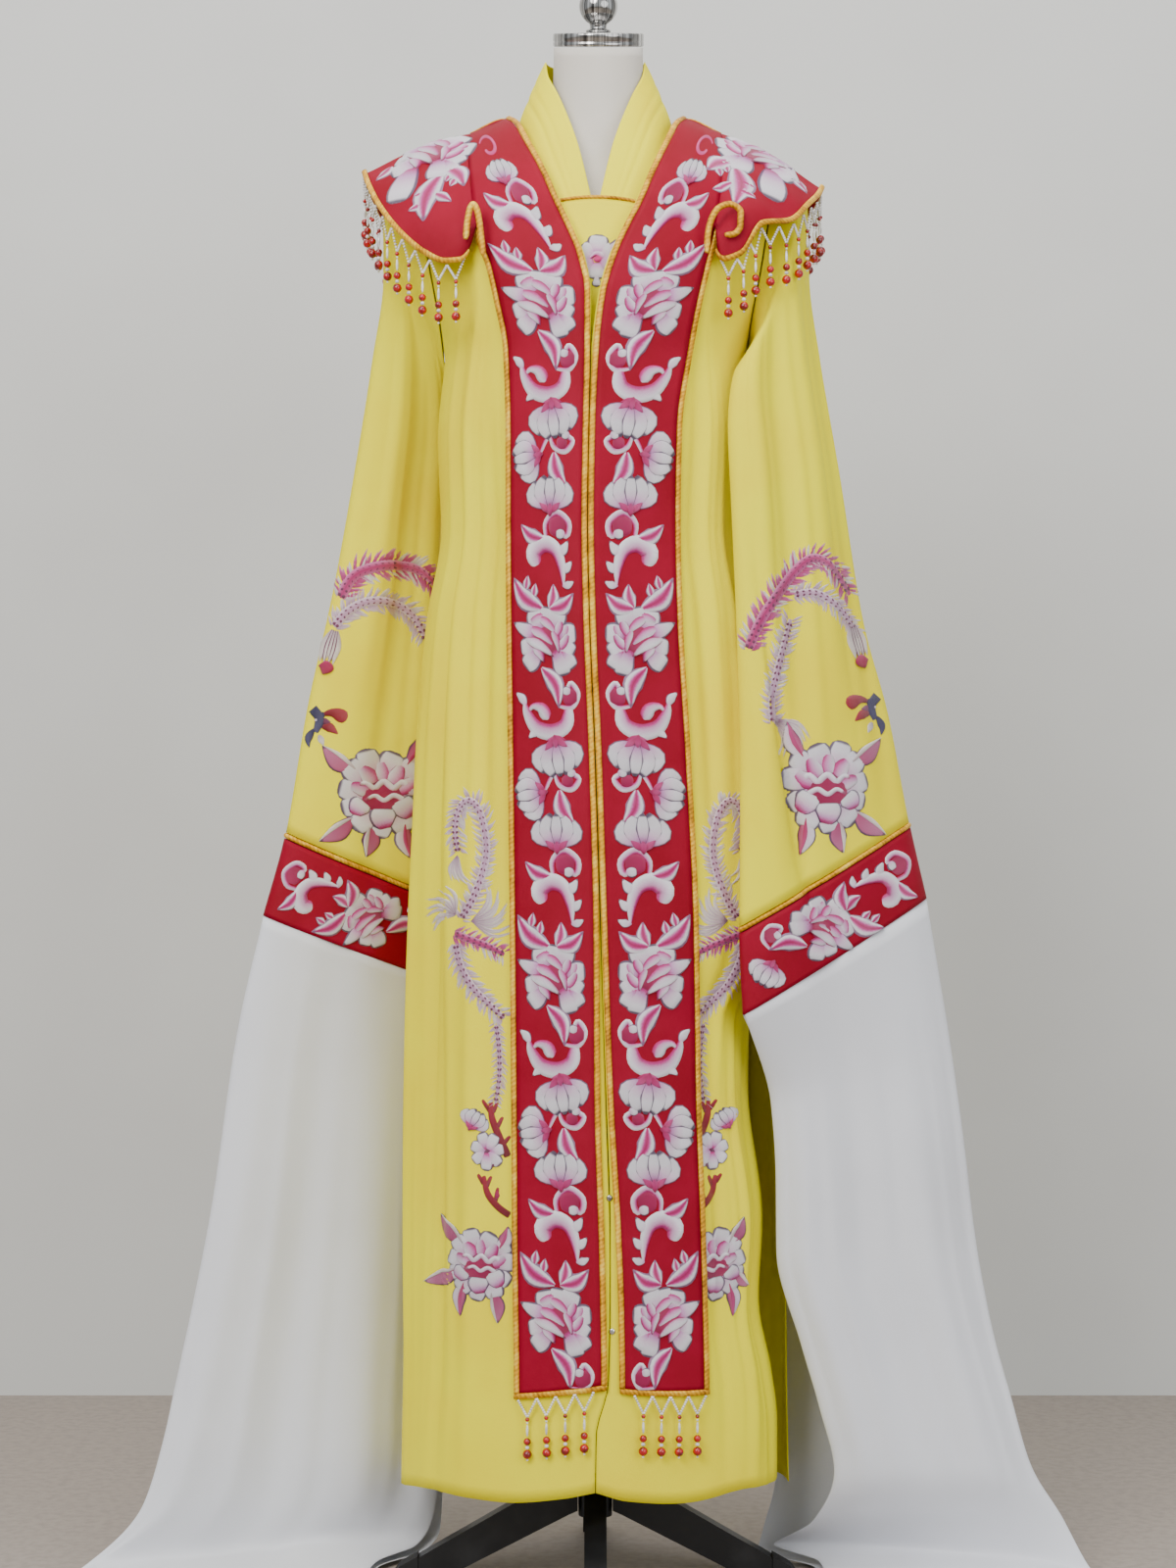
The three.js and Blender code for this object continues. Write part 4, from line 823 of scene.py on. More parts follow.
def cloth(name, p, wall, facing, ring=False, floor=None):
    """A thin closed shell on a grid of points. Its outer face is kept for what is sewn on it."""
    tall, wide = p.shape[:2]
    across, along = slopes(p, ring)
    out = unit(np.cross(across, along)) * facing
    skins = [p + out * (way * wall / 2) for way in (1, -1)]
    if floor is not None:
        for skin in skins:
            skin[..., 2] = np.maximum(skin[..., 2], floor)
    points = np.concatenate([skin.reshape(-1, 3) for skin in skins])
    count = wide * tall
    face = grid_faces(wide, tall, 0, ring)
    inside = grid_faces(wide, tall, count, ring)[:, ::-1]
    rims = []
    for row in (0, tall - 1):
        i = np.arange(wide if ring else wide - 1) + row * wide
        k = (i - row * wide + 1) % wide + row * wide
        rim = np.stack([i, i + count, k + count, k], 1)
        rims.append(rim if row == 0 else rim[:, ::-1])
    if not ring:
        for column_at in (0, wide - 1):
            i = np.arange(tall - 1) * wide + column_at
            rim = np.stack([i, i + wide, i + wide + count, i + count], 1)
            rims.append(rim if column_at == 0 else rim[:, ::-1])
    faces = np.concatenate([face, inside, *rims])
    if facing < 0:
        faces = faces[:, ::-1]
    weave = lengths(p).reshape(-1, 2)
    piece = new_piece(name, points, faces, {"Weave": np.concatenate([weave, weave])})
    FACES_OF[name] = (skins[0].reshape(-1, 3) * MM, face)
    return piece


def close_ends(points, faces, sides, count):
    """Closes the first and the last ring of a tube with a fan of faces round a new point."""
    middles = []
    for row, flip in ((0, True), (count - 1, False)):
        i = np.arange(0, sides, 2) + row * sides
        k, m = i + 1, (i - row * sides + 2) % sides + row * sides
        cap = np.stack([np.full_like(i, len(points) + len(middles)), i, k, m], 1)
        faces = np.concatenate([faces, cap[:, ::-1] if flip else cap])
        middles.append(points[row * sides : (row + 1) * sides].mean(axis=0))
    return np.concatenate([points, middles]), faces


def sweep(name, centre, across, out, half_width, half_height, sides=10, closed=False):
    """A cord of oval section along a row of points. The weave runs round it and along it."""
    count = len(centre)
    turn = np.arange(sides) * 2 * np.pi / sides
    half_width = np.broadcast_to(np.asarray(half_width, float), (count,))[:, None, None]
    half_height = np.broadcast_to(np.asarray(half_height, float), (count,))[:, None, None]
    ring = centre[:, None, :] + across[:, None, :] * np.cos(turn)[None, :, None] * half_width
    ring = ring + out[:, None, :] * np.sin(turn)[None, :, None] * half_height
    along = travelled(centre) * MM
    points = ring.reshape(-1, 3)
    faces = grid_faces(sides, count, 0, True)
    if closed:
        i = np.arange(sides)
        k = (i + 1) % sides
        last = (count - 1) * sides
        faces = np.concatenate([faces, np.stack([last + i, last + k, k, i], 1)])
    else:
        points, faces = close_ends(points, faces, sides, count)
    uv = np.stack(np.meshgrid(np.arange(sides) / sides, along), axis=-1).reshape(-1, 2)
    uv = np.concatenate([uv, np.zeros((len(points) - len(uv), 2))])
    if np.sum(np.cross(across[0], out[0]) * (centre[1] - centre[0])) > 0:
        faces = faces[:, ::-1]
    return new_piece(name, points, faces, {"Weave": uv})


def edge_frame(strip_at, count):
    """The middle, the way across and the way out of a strip (u across it, v along it)."""
    v = np.linspace(0, 1, count)
    low, high = strip_at(np.zeros(count), v), strip_at(np.ones(count), v)
    centre = (low + high) / 2
    across = unit(high - low)
    along = unit(np.gradient(centre, axis=0))
    return centre, across, unit(np.cross(across, along))


def sheet_grid(name):
    """The places of a sheet's points, u across it and v along it, each from 0 to 1."""
    wide, tall = GRIDS[name]
    return np.meshgrid(np.linspace(0, 1, wide), np.linspace(0, 1, tall))


def ring_grid(name):
    """The same for a tube, whose last column is joined to its first."""
    wide, tall = GRIDS[name]
    return np.meshgrid(np.arange(wide) / wide, np.linspace(0, 1, tall))


def sew(name, p, wall, facing, finish, node, **how):
    """A shell of cloth with its finish."""
    return finish_piece(cloth(name, p, wall, facing, **how), FINISHES[finish], finish, node)


def finish_piece(piece, material, slot, *nodes):
    """Gives a piece its finish, and ties it to the body and to the solids it stands for."""
    materials = material if isinstance(material, (list, tuple)) else [material]
    for each in materials:
        piece.data.materials.append(each)
    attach(piece, "root")
    if nodes:
        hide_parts(*nodes)
    return piece


# ------------------------------------------------------------------ materials


def connect(tree, value, socket):
    if isinstance(value, Wire):
        tree.links.new(value.socket, socket)
    elif isinstance(value, bpy.types.NodeSocket):
        tree.links.new(value, socket)
    else:
        socket.default_value = value


class Wire:
    """An output of a node. Arithmetic on it adds Math nodes."""

    def __init__(self, tree, socket):
        self.tree, self.socket = tree, socket

    def math(self, operation, *values):
        node = self.tree.nodes.new("ShaderNodeMath")
        node.operation = operation
        for value, socket in zip(values, node.inputs):
            connect(self.tree, value, socket)
        return Wire(self.tree, node.outputs[0])

    def __add__(self, other):
        return self.math("ADD", self, other)

    def __radd__(self, other):
        return self.math("ADD", other, self)

    def __sub__(self, other):
        return self.math("SUBTRACT", self, other)

    def __rsub__(self, other):
        return self.math("SUBTRACT", other, self)

    def __mul__(self, other):
        return self.math("MULTIPLY", self, other)

    def __rmul__(self, other):
        return self.math("MULTIPLY", other, self)

    def sine(self):
        return self.math("SINE", self)

    def wave(self, length):
        """A wave from -1 to 1 that repeats each length."""
        return (self * (2 * math.pi / length)).sine()

    def size(self):
        return self.math("ABSOLUTE", self)

    def step(self, start, stop):
        """0 up to start, 1 from stop on, smooth between."""
        node = self.tree.nodes.new("ShaderNodeMapRange")
        node.interpolation_type = "SMOOTHSTEP"
        connect(self.tree, self, node.inputs["Value"])
        node.inputs["From Min"].default_value = start
        node.inputs["From Max"].default_value = stop
        return Wire(self.tree, node.outputs["Result"])


def linear(colour):
    """A colour given as it looks, from 0 to 255, as the numbers that a shader takes."""
    values = [c / 255 for c in colour]
    return tuple(c / 12.92 if c <= 0.04045 else ((c + 0.055) / 1.055) ** 2.4 for c in values) + (1,)


class Finish:
    """A material with one Principled shader, and the means to build what feeds it."""

    def __init__(self, name):
        self.material = bpy.data.materials.new(name)
        self.material.use_nodes = True
        self.tree = self.material.node_tree
        self.shader = self.tree.nodes["Principled BSDF"]

    def node(self, kind, inputs=(), output=0, **settings):
        node = self.tree.nodes.new("ShaderNode" + kind)
        for key, value in settings.items():
            if key == "stops":
                ramp = node.color_ramp
                while len(ramp.elements) < len(value):
                    ramp.elements.new(1)
                for element, (at, colour) in zip(ramp.elements, value):
                    element.position, element.color = at, colour
            else:
                setattr(node, key, value)
        for key, value in dict(inputs).items():
            connect(self.tree, value, node.inputs[key])
        return Wire(self.tree, node.outputs[output])

    def map(self, name):
        """The two numbers of a map that a piece carries."""
        uv = self.node("UVMap", uv_map=name)
        parts = self.tree.nodes.new("ShaderNodeSeparateXYZ")
        connect(self.tree, uv, parts.inputs[0])
        return Wire(self.tree, parts.outputs[0]), Wire(self.tree, parts.outputs[1])

    def where(self, name=None):
        """The place on a map, or in the object when no map is named."""
        if name:
            return self.node("UVMap", uv_map=name)
        return self.node("TexCoord", output="Object")

    def noise(self, place, scale, detail=2.0, roughness=0.5):
        return self.node(
            "TexNoise",
            {"Vector": place, "Scale": scale, "Detail": detail, "Roughness": roughness},
            output="Fac",
        )

    def ramp(self, value, stops):
        return self.node("ValToRGB", {"Fac": value}, output="Color", stops=stops)

    def blend(self, a, b, share, kind="MIX"):
        """Mixes two colours. The colour sockets of a Mix node come after those of other kinds."""
        return self.node(
            "Mix", {0: share, 6: a, 7: b}, output=2, data_type="RGBA", blend_type=kind
        )

    def set(self, **values):
        for key, value in values.items():
            connect(self.tree, value, self.shader.inputs[key.replace("_", " ")])

    def bump(self, height, distance, strength=1.0):
        normal = self.node("Bump", {"Height": height, "Distance": distance, "Strength": strength})
        connect(self.tree, normal, self.shader.inputs["Normal"])
        return self.material


def cloth_finish(name, colour, deep, thread, crinkle, roughness, sheen, pale):
    """Woven cloth: fine threads both ways, a crinkle, and soft changes of colour."""
    f = Finish(name)
    place = f.where("Weave")
    u, v = f.map("Weave")
    warp, weft = u.wave(thread), v.wave(thread)
    fine = f.noise(place, 1 / (thread * 3), 3, 0.6)
    soft = f.noise(f.where(), 7, 3, 0.55)
    colour_wire = f.blend(linear(colour), linear(deep), soft.step(0.34, 0.74))
    colour_wire = f.blend(colour_wire, linear(pale), fine.step(0.52, 0.86) * 0.35)
    f.set(
        Base_Color=colour_wire,
        Roughness=roughness + 0.14 * fine,
        Sheen_Weight=sheen,
        Sheen_Roughness=0.4,
        Sheen_Tint=linear(pale),
        Specular_IOR_Level=0.1,
    )
    return f.bump((warp * weft) * 0.12 + fine * crinkle + soft * 0.5, 0.0006, 0.7)


def satin_finish(name, colour, deep, pale):
    """Smooth red satin with a faint rib along the cloth and a dusty nap."""
    f = Finish(name)
    place = f.where("Weave")
    u, v = f.map("Weave")
    rib = (u + v).wave(0.0011)
    fine = f.noise(place, 420, 3, 0.6)
    soft = f.noise(f.where(), 11, 4, 0.6)
    tone = f.blend(linear(colour), linear(deep), soft.step(0.3, 0.72))
    tone = f.blend(tone, linear(pale), fine.step(0.5, 0.85) * 0.3)
    f.set(
        Base_Color=tone,
        Roughness=0.48 + 0.16 * fine,
        Sheen_Weight=0.02,
        Sheen_Roughness=0.35,
        Sheen_Tint=linear(pale),
        Specular_IOR_Level=0.14,
    )
    return f.bump(rib * 0.15 + fine * 0.5 + soft * 0.6, 0.0005, 0.7)


def gold_finish(name, colour, deep, bright):
    """Woven metal ribbon folded over an edge, with fine threads. Noise runs its colour from a painted
    shade, for dull creases, to painted glints.
    """
    f = Finish(name)
    u, v = f.map("Weave")
    turns = ((v * (2 * math.pi / 0.0042)) + u * (2 * math.pi * 2)).sine()
    threads = ((v * (2 * math.pi / 0.0009)) + u * (2 * math.pi)).sine()
    patch = f.noise(f.where(), 120, 4, 0.65)
    crease = f.noise(f.where(), 34, 2)
    # Painted light: the deep colour is painted shade in creases and the bright one is painted glints.
    tone = f.ramp(
        turns * 0.06 + patch * 0.7 + crease * 0.5 - 0.1,
        [(0.22, linear(deep)), (0.5, linear(colour)), (0.82, linear(bright))],
    )
    f.set(Base_Color=tone, Roughness=0.3 + 0.24 * patch, Metallic=0.45, Specular_IOR_Level=0.4)
    return f.bump(turns * 0.12 + threads * 0.2 + patch * 0.9, 0.0007, 0.8)


def jersey_finish(name, colour, deep):
    """Knitted cotton over padding: fine ribs and a little lint."""
    f = Finish(name)
    u, v = f.map("Weave")
    rib, loop = u.wave(0.0018), v.wave(0.0022)
    lint = f.noise(f.where(), 240, 4, 0.65)
    soft = f.noise(f.where(), 9, 3)
    tone = f.blend(linear(colour), linear(deep), soft.step(0.35, 0.75))
    tone = f.blend(tone, linear((222, 216, 206)), lint.step(0.55, 0.8) * 0.4)
    f.set(Base_Color=tone, Roughness=0.86 + 0.08 * lint, Sheen_Weight=0.2, Sheen_Roughness=0.5)
    return f.bump(rib * loop * 0.5 + lint * 0.4, 0.0006, 0.6)


def chrome_finish(name):
    """Polished chrome of a spun, handled cap. Upright dark and light streaks in its colour are a painted
    reflection; the same noise gives a faint bump.
    """
    f = Finish(name)
    u, v = f.map("Weave")
    streaks_and_painted_reflection = f.noise(f.node("CombineXYZ", {"X": u * 26, "Y": v * 4, "Z": 0.0}), 1.0, 3, 0.6)
    # Painted reflection: the streaks run the colour from near black to near white.
    tone = f.ramp(
        streaks_and_painted_reflection,
        [(0.34, linear((58, 56, 56))), (0.48, linear((150, 148, 146))), (0.62, linear((226, 225, 222)))],
    )
    smear = f.noise(f.where(), 60, 3)
    f.set(Base_Color=tone, Metallic=1.0, Roughness=0.1 + 0.16 * smear)
    return f.bump(streaks_and_painted_reflection * 0.5 + smear * 0.2, 0.0003, 0.3)


def paint_finish(name, colour, roughness, grain):
    """Black paint or rubber, with a fine grain and worn patches."""
    f = Finish(name)
    fine = f.noise(f.where(), grain, 4, 0.6)
    worn = f.noise(f.where(), 22, 3)
    tone = f.blend(linear(colour), linear([c + 22 for c in colour]), worn.step(0.5, 0.85))
    f.set(Base_Color=tone, Roughness=roughness + 0.18 * fine, Specular_IOR_Level=0.4)
    return f.bump(fine, 0.0004, 0.4)


def glass_finish(name, colour, deep, roughness, coat):
    """Pressed glass beads: each a little lighter or darker, under a clear gloss."""
    f = Finish(name)
    patch = f.noise(f.where(), 170, 2)
    tone = f.blend(linear(deep), linear(colour), patch.step(0.36, 0.62))
    f.set(Base_Color=tone, Roughness=roughness + 0.1 * patch, Specular_IOR_Level=0.6)
    f.set(Coat_Weight=coat, Coat_Roughness=0.08)
    return f.bump(patch, 0.0003, 0.3)


def silk_thread(name, stops, by, line=None):
    """Silk stitches side by side, with painted shade in the grooves between them and a line at the edge
    that is partly outline, partly painted shade. by names what the dye follows: along, across or side.
    """
    f = Finish(name)
    along, across = f.map("Dye")
    thread, _ = f.map("Thread")
    place = f.where()
    ragged = f.noise(place, 600, 2, 0.6)
    middle = (across * 2 - 1).size()
    value = {"along": along, "across": middle, "side": across}[by]
    tone = f.ramp(value + (ragged - 0.5) * 0.16, [(at, linear(c)) for at, c in stops])
    ridge = thread.wave(0.75)
    # Painted shade: the grooves between stitches are blended half way to grey.
    tone = f.blend(tone, f.blend(tone, linear((120, 104, 120)), 0.5), (ridge * -1).step(0.45, 1.0) * 0.5)
    # The line at a patch's edge and tip is partly outline stitching and partly painted shade.
    if line:
        edge_outline_and_shade = middle.step(0.72, 0.84)
        tip_outline_and_shade = along.step(0.86, 0.93)
        mark = edge_outline_and_shade.math("MAXIMUM", edge_outline_and_shade, tip_outline_and_shade)
        tone = f.blend(tone, linear(line), mark * 0.92)
    f.set(
        Base_Color=tone,
        Roughness=0.34 + 0.2 * ragged,
        Sheen_Weight=0.15,
        Sheen_Roughness=0.3,
        Specular_IOR_Level=0.5,
    )
    return f.bump(ridge * 0.5 + ragged * 0.5, 0.0004, 0.9)


# ------------------------------------------------------------------ embroidery

PROFILES = {
    "round": [(0, 0.34), (0.3, 0.78), (0.62, 1), (0.86, 0.84), (1, 0.3)],
    "lobe": [(0, 0.3), (0.25, 0.8), (0.52, 1), (0.8, 0.82), (1, 0.24)],
    "point": [(0, 0.36), (0.34, 1), (0.7, 0.66), (1, 0.04)],
    "leaf": [(0, 0.12), (0.22, 0.72), (0.46, 1), (0.76, 0.56), (1, 0.03)],
    "hook": [(0, 0.05), (0.2, 0.66), (0.5, 1), (0.84, 0.92), (1, 0.5)],
    "curl": [(0, 0.5), (0.3, 0.9), (0.6, 1), (1, 0.8)],
    "scroll": [(0, 0.05), (0.24, 0.5), (0.5, 0.78), (0.76, 1), (0.93, 0.84), (1, 0.3)],
    "stem": [(0, 1), (0.6, 0.9), (1, 0.5)],
    "drop": [(0, 0.2), (0.4, 0.6), (0.75, 1), (0.93, 0.8), (1, 0.2)],
    "disc": [(0, 0.2), (0.15, 0.72), (0.5, 1), (0.85, 0.72), (1, 0.2)],
}
STITCH_HEIGHT = 1.0
LAYER_HEIGHT = 0.42
DROOP = 0.35
# How far forward of the middle the cloth lies, and how far off it a needle starts.
NEEDLE_LEVEL = -100
NEEDLE_REACH = 400


def through(points, count):
    """A smooth line through a few points."""
    p = np.array(points, float)
    if len(p) == 2:
        return mix(p[0], p[1], np.linspace(0, 1, count)[:, None])
    gaps = np.concatenate([[0], np.cumsum(np.linalg.norm(np.diff(p, axis=0), axis=1) ** 0.7)])
    at = np.linspace(0, gaps[-1], count)
    padded = np.concatenate([[2 * p[0] - p[1]], p, [2 * p[-1] - p[-2]]])
    i = np.clip(np.searchsorted(gaps, at, side="right") - 1, 0, len(p) - 2)
    t = ((at - gaps[i]) / (gaps[i + 1] - gaps[i]))[:, None]
    a, b, c, d = padded[i], padded[i + 1], padded[i + 2], padded[i + 3]
    return 0.5 * (
        2 * b + (c - a) * t + (2 * a - 5 * b + 4 * c - d) * t**2 + (3 * b - a - 3 * c + d) * t**3
    )


class Needle:
    """Lays patches of silk stitches on cloth. A design is in millimetres, x across and y up."""

    def __init__(self, cloths, way=1, tilt=0.0):
        points, faces = joined([FACES_OF[name] for name in cloths])
        self.tree = BVHTree.FromPolygons(points.tolist(), faces.tolist())
        slant = math.radians(tilt)
        self.towards = Vector((0, way * math.cos(slant), -math.sin(slant)))
        self.up = Vector((0, way * math.sin(slant), math.cos(slant)))
        self.level = NEEDLE_LEVEL
        self.place = lambda x, y: (x, y)
        self.patches = []

    def at(self, x, z, angle=0.0, flip=1.0, size=1.0):
        """Where the design's origin lies, how it is turned, and whether it is mirrored."""
        c, s = math.cos(math.radians(angle)), math.sin(math.radians(angle))

        def place(u, v):
            across, up = (u * c - v * s) * size * flip, (u * s + v * c) * size
            return x + across, z + up

        self.place = place
        return self

    def over(self, x, y, z, angle=0.0, flip=1.0, size=1.0):
        """The same, with the origin given as a point near the cloth."""
        self.level = Vector((0, y, z)).dot(self.towards)
        return self.at(x, Vector((0, y, z)).dot(self.up), angle, flip, size)

    def land(self, x, rise, lift):
        """Each point pressed onto the cloth and raised off it."""
        landed = np.zeros((*x.shape, 3))
        start = self.towards * ((self.level - NEEDLE_REACH) * MM)
        depth = NEEDLE_REACH * MM
        for k in np.ndindex(x.shape):
            spot = start + Vector((x[k] * MM, 0, 0)) + self.up * (rise[k] * MM)
            hit, normal, _, far = self.tree.ray_cast(spot, self.towards)
            if hit is None:
                hit, normal, _, _ = self.tree.find_nearest(spot + self.towards * depth)
            else:
                depth = far
            if normal.dot(self.towards) > 0:
                normal = -normal
            landed[k] = hit + normal * (lift[k] * MM)
        return landed / MM

    def patch(self, thread, line, width, profile="round", layer=1, along=False, fine=9, wide=7):
        spine = through(line, fine)
        t = np.linspace(0, 1, fine)
        half = width / 2 * column(PROFILES[profile], t, 0)
        run = unit(np.gradient(spine, axis=0))
        side = np.stack([-run[:, 1], run[:, 0]], axis=1)
        c = np.sin(np.linspace(-np.pi / 2, np.pi / 2, wide))
        p = spine[:, None, :] + side[:, None, :] * half[:, None, None] * c[None, :, None]
        x, z = self.place(p[..., 0], p[..., 1])
        dome = np.maximum(0, 1 - c**4)[None, :] ** 0.5
        ends = np.maximum(0, 1 - np.abs(2 * t - 1) ** 7)[:, None] ** 0.6
        peak = STITCH_HEIGHT * min(1.3, max(0.5, width / 10))
        lift = LAYER_HEIGHT * (layer - 1) - DROOP + (peak + DROOP) * dome * ends
        far = travelled(spine)
        stitch = np.broadcast_to(
            (half.max() * c)[None, :] if along else far[:, None], (fine, wide)
        )
        dye = np.stack(np.meshgrid(c * 0.5 + 0.5, t)[::-1], axis=-1)
        self.patches.append((thread, x, z, lift, dye, stitch))

    def finish(self, name):
        """Presses every patch on the cloth and joins them into one piece."""
        parts, dyes, stitches, marks = [], [], [], []
        used = sorted({patch[0] for patch in self.patches})
        for thread, x, z, lift, dye, stitch in self.patches:
            p = self.land(x, z, lift)
            tall, wide = x.shape
            face = grid_faces(wide, tall)
            a, b, d = p[0, 0], p[0, -1], p[-1, 0]
            if np.dot(np.cross(b - a, d - a), self.towards) > 0:
                face = face[:, ::-1]
            parts.append((p.reshape(-1, 3), face))
            dyes.append(dye.reshape(-1, 2))
            stitches.append(np.stack([stitch.ravel(), stitch.ravel() * 0], axis=1))
            marks += [used.index(thread)] * len(face)
        maps = {"Dye": np.concatenate(dyes), "Thread": np.concatenate(stitches)}
        piece = new_piece(name, *joined(parts), maps)
        finish_piece(piece, [FINISHES[thread] for thread in used], "silk")
        paint_faces(piece, marks)

    # Motifs. Each is drawn round its own origin.

    def petals(self, rows, size=1.0, turn=0.0):
        c, s = math.cos(math.radians(turn)) * size, math.sin(math.radians(turn)) * size

        def spin(x, y):
            return x * c - y * s, x * s + y * c

        for thread, x0, y0, x1, y1, width, profile, layer in rows:
            bend = (x0 + x1) / 2 + (y1 - y0) * 0.06, (y0 + y1) / 2 - (x1 - x0) * 0.06
            line = [spin(x0, y0), spin(*bend), spin(x1, y1)]
            self.patch(thread, line, width * size, profile, layer, along=True)

    def curl(self, line, width, thread="scroll", layer=1):
        """A scroll that rolls round to a ball. The dye is deep on the right of its way."""
        ring = through(line, 12)
        middle, inside = ring.mean(axis=0), np.ptp(ring, axis=0).min() * 0.42
        ends = [(middle[0] - inside, middle[1]), (middle[0] + inside, middle[1])]
        self.patch("heart", ends, inside * 2, "disc", layer - 0.6)
        self.patch(thread, line, width, "curl", layer, fine=20, wide=6)
        (x, y), r = line[-1], width * 0.72
        self.patch("white", [(x - r, y), (x + r, y)], 2 * r, "disc", layer + 1)

    def leaf(self, base, tip, width, bend=0.1, thread="leaf", layer=1, serrated=False):
        (x0, y0), (x1, y1) = base, tip
        middle = (x0 + x1) / 2 - (y1 - y0) * bend, (y0 + y1) / 2 + (x1 - x0) * bend
        self.patch(thread, [base, middle, tip], width, "leaf", layer, fine=12)
        if serrated:
            for share, way in ((0.35, 1), (0.6, 1), (0.45, -1)):
                root = mix(np.array(base), np.array(tip), share)
                out = np.array([-(y1 - y0), x1 - x0]) * way * 0.3 * width / 24
                ahead = (np.array(tip) - np.array(base)) * 0.16
                self.patch(thread, [root, root + out + ahead], width * 0.42, "leaf", layer, wide=5)

    def bud(self, x, y, bearing, size=1.0):
        """Five plump white lobes in a magenta cup, growing along the bearing."""
        turn = math.radians(bearing - 90)
        c, s = math.cos(turn) * size, math.sin(turn) * size
        for thread, *line, width, profile, layer in BUD:
            line = [(x + u * c - v * s, y + u * s + v * c) for u, v in zip(line[::2], line[1::2])]
            self.patch(thread, line, width * size, profile, layer, along=True)


# A bud growing up from its cup: thread, base x y, middle x y, tip x y, width, profile, layer.
BUD = [
    ("lobe", -3, 1, -19, 10, -13, 24, 12, "lobe", 1), ("lobe", 3, 1, 19, 10, 13, 24, 12, "lobe", 1),
    ("lobe", -2, 1, -11, 14, -5, 28, 13, "lobe", 2), ("lobe", 2, 1, 11, 14, 5, 28, 13, "lobe", 2),
    ("lobe", 0, 2, 0, 16, 0, 28, 12, "lobe", 3.4), ("pink", -1, -3, -6, 2, -11, 6, 6, "leaf", 4.4),
    ("pink", 1, -3, 6, 2, 11, 6, 6, "leaf", 4.4), ("pink", 0, -6, 0, 0, 0, 6, 7, "leaf", 4.4),
]
# A peony, in millimetres round its heart: thread, base x y, tip x y, width, profile, layer.
PEONY = [
    ("petal", 5, 6, 15, 33, 24, "round", 1), ("petal", -6, 6, -17, 33, 26, "round", 1),
    ("petal", 0, 9, 0, 35, 20, "round", 1), ("petal", 10, 8, 39, 19, 17, "point", 2),
    ("petal", -10, 3, -35, 8, 24, "round", 1), ("petal", -9, -2, -32, -12, 20, "round", 1),
    ("petal", 9, -6, 27, -25, 23, "round", 1), ("petal", -8, -6, -19, -34, 23, "round", 1),
    ("petal", -14, -8, -31, -26, 16, "round", 1), ("petal", 11, 0, 32, -6, 20, "round", 1),
    ("heart", -15, 4, 16, 4, 30, "disc", 2),
    ("centre", 20, 19, 2, 24, 12, "round", 2), ("centre", 21, 14, -9, -5, 12, "point", 3),
    ("centre", 10, 24, -13, 6, 11, "point", 3), ("centre", -17, 21, -6, 1, 11, "point", 3),
    ("centre", -25, 8, -13, -7, 11, "round", 3), ("centre", -24, 17, -18, 2, 10, "point", 2),
    ("lip", 25, 3, -8, -15, 12, "point", 4), ("centre", 16, -4, 4, -20, 11, "point", 3),
    ("centre", -6, 12, -14, -12, 9, "point", 4),
]


# A peony seen from the front, its heart open: large pale petals round wavy lips.
OPEN_PEONY = [
    ("petal", 6, 2, 47, 6, 28, "round", 1), ("petal", 8, 10, 38, 32, 30, "round", 1.4),
    ("petal", 2, 10, 19, 47, 28, "round", 1), ("petal", -4, 10, -13, 43, 30, "round", 1.5),
    ("petal", -8, 8, -39, 32, 27, "round", 1), ("petal", -8, 2, -49, 7, 29, "round", 1.5),
    ("petal", -6, -8, -41, -22, 27, "round", 1), ("petal", -5, -12, -24, -45, 30, "round", 1.5),
    ("petal", 2, -12, 5, -51, 26, "round", 1), ("petal", 8, -10, 31, -40, 29, "round", 1.5),
    ("petal", 8, -4, 44, -18, 26, "round", 1), ("centre", -34, 14, -12, 2, 20, "round", 2.2),
    ("centre", -19, 30, -6, 8, 20, "round", 2.5), ("centre", 3, 34, 2, 10, 20, "round", 2.2),
    ("centre", 24, 27, 10, 7, 21, "round", 2.5), ("centre", 35, 7, 14, -1, 18, "round", 2.2),
    ("heart", -23, -4, 25, -4, 34, "disc", 2.8), ("petal", -30, -27, -16, -6, 30, "round", 3.2),
    ("petal", 30, -25, 19, -9, 26, "round", 3.2), ("petal", -2, -40, 1, -16, 32, "round", 3.8),
]
LIPS = [
    ([(-27, 5), (-19, 10), (-10, 4), (0, 11), (10, 4), (19, 10), (28, 4)], 9, 4),
    ([(-20, -8), (-10, -4), (0, -9), (10, -4), (20, -9)], 7, 5.6),
]


def band_motif(n):
    """One repeat of the band's pattern, hung below the heart of a peony; x runs outwards."""
    n.petals(PEONY, 0.96)
    first_pair(n)
    n.patch(
        "scroll", [(27, -53), (24, -66), (14, -80), (-3, -84), (-18, -77), (-22, -60)],
        16, "hook", 1, fine=24,
    )
    n.patch("scroll", [(22, -64), (17, -60), (8, -62), (1, -72)], 13, "drop", 2, fine=12)
    n.leaf((8, -82), (23, -90), 10, 0.1, "white", 1)
    n.leaf((25, -60), (36, -47), 10, 0.1, "white", 1)
    n.patch("pink", [(-18, -92), (-7, -89), (4, -92)], 5, "leaf", 4)
    n.bud(-6, -93, 262, 1.16)
    n.curl([(-4, -121), (-9, -133), (-22, -137), (-30, -128), (-22, -122)], 6.5)
    n.bud(9, -140, 350, 1.02)
    n.patch("curl", [(-4, -120), (2, -130), (7, -140)], 5, "stem", 1, fine=8, wide=5)
    n.leaf((-9, -137), (-24, -170), 20, 0.14)
    n.bud(-5, -191, 90, 1.12)
    band_scrolls(n)


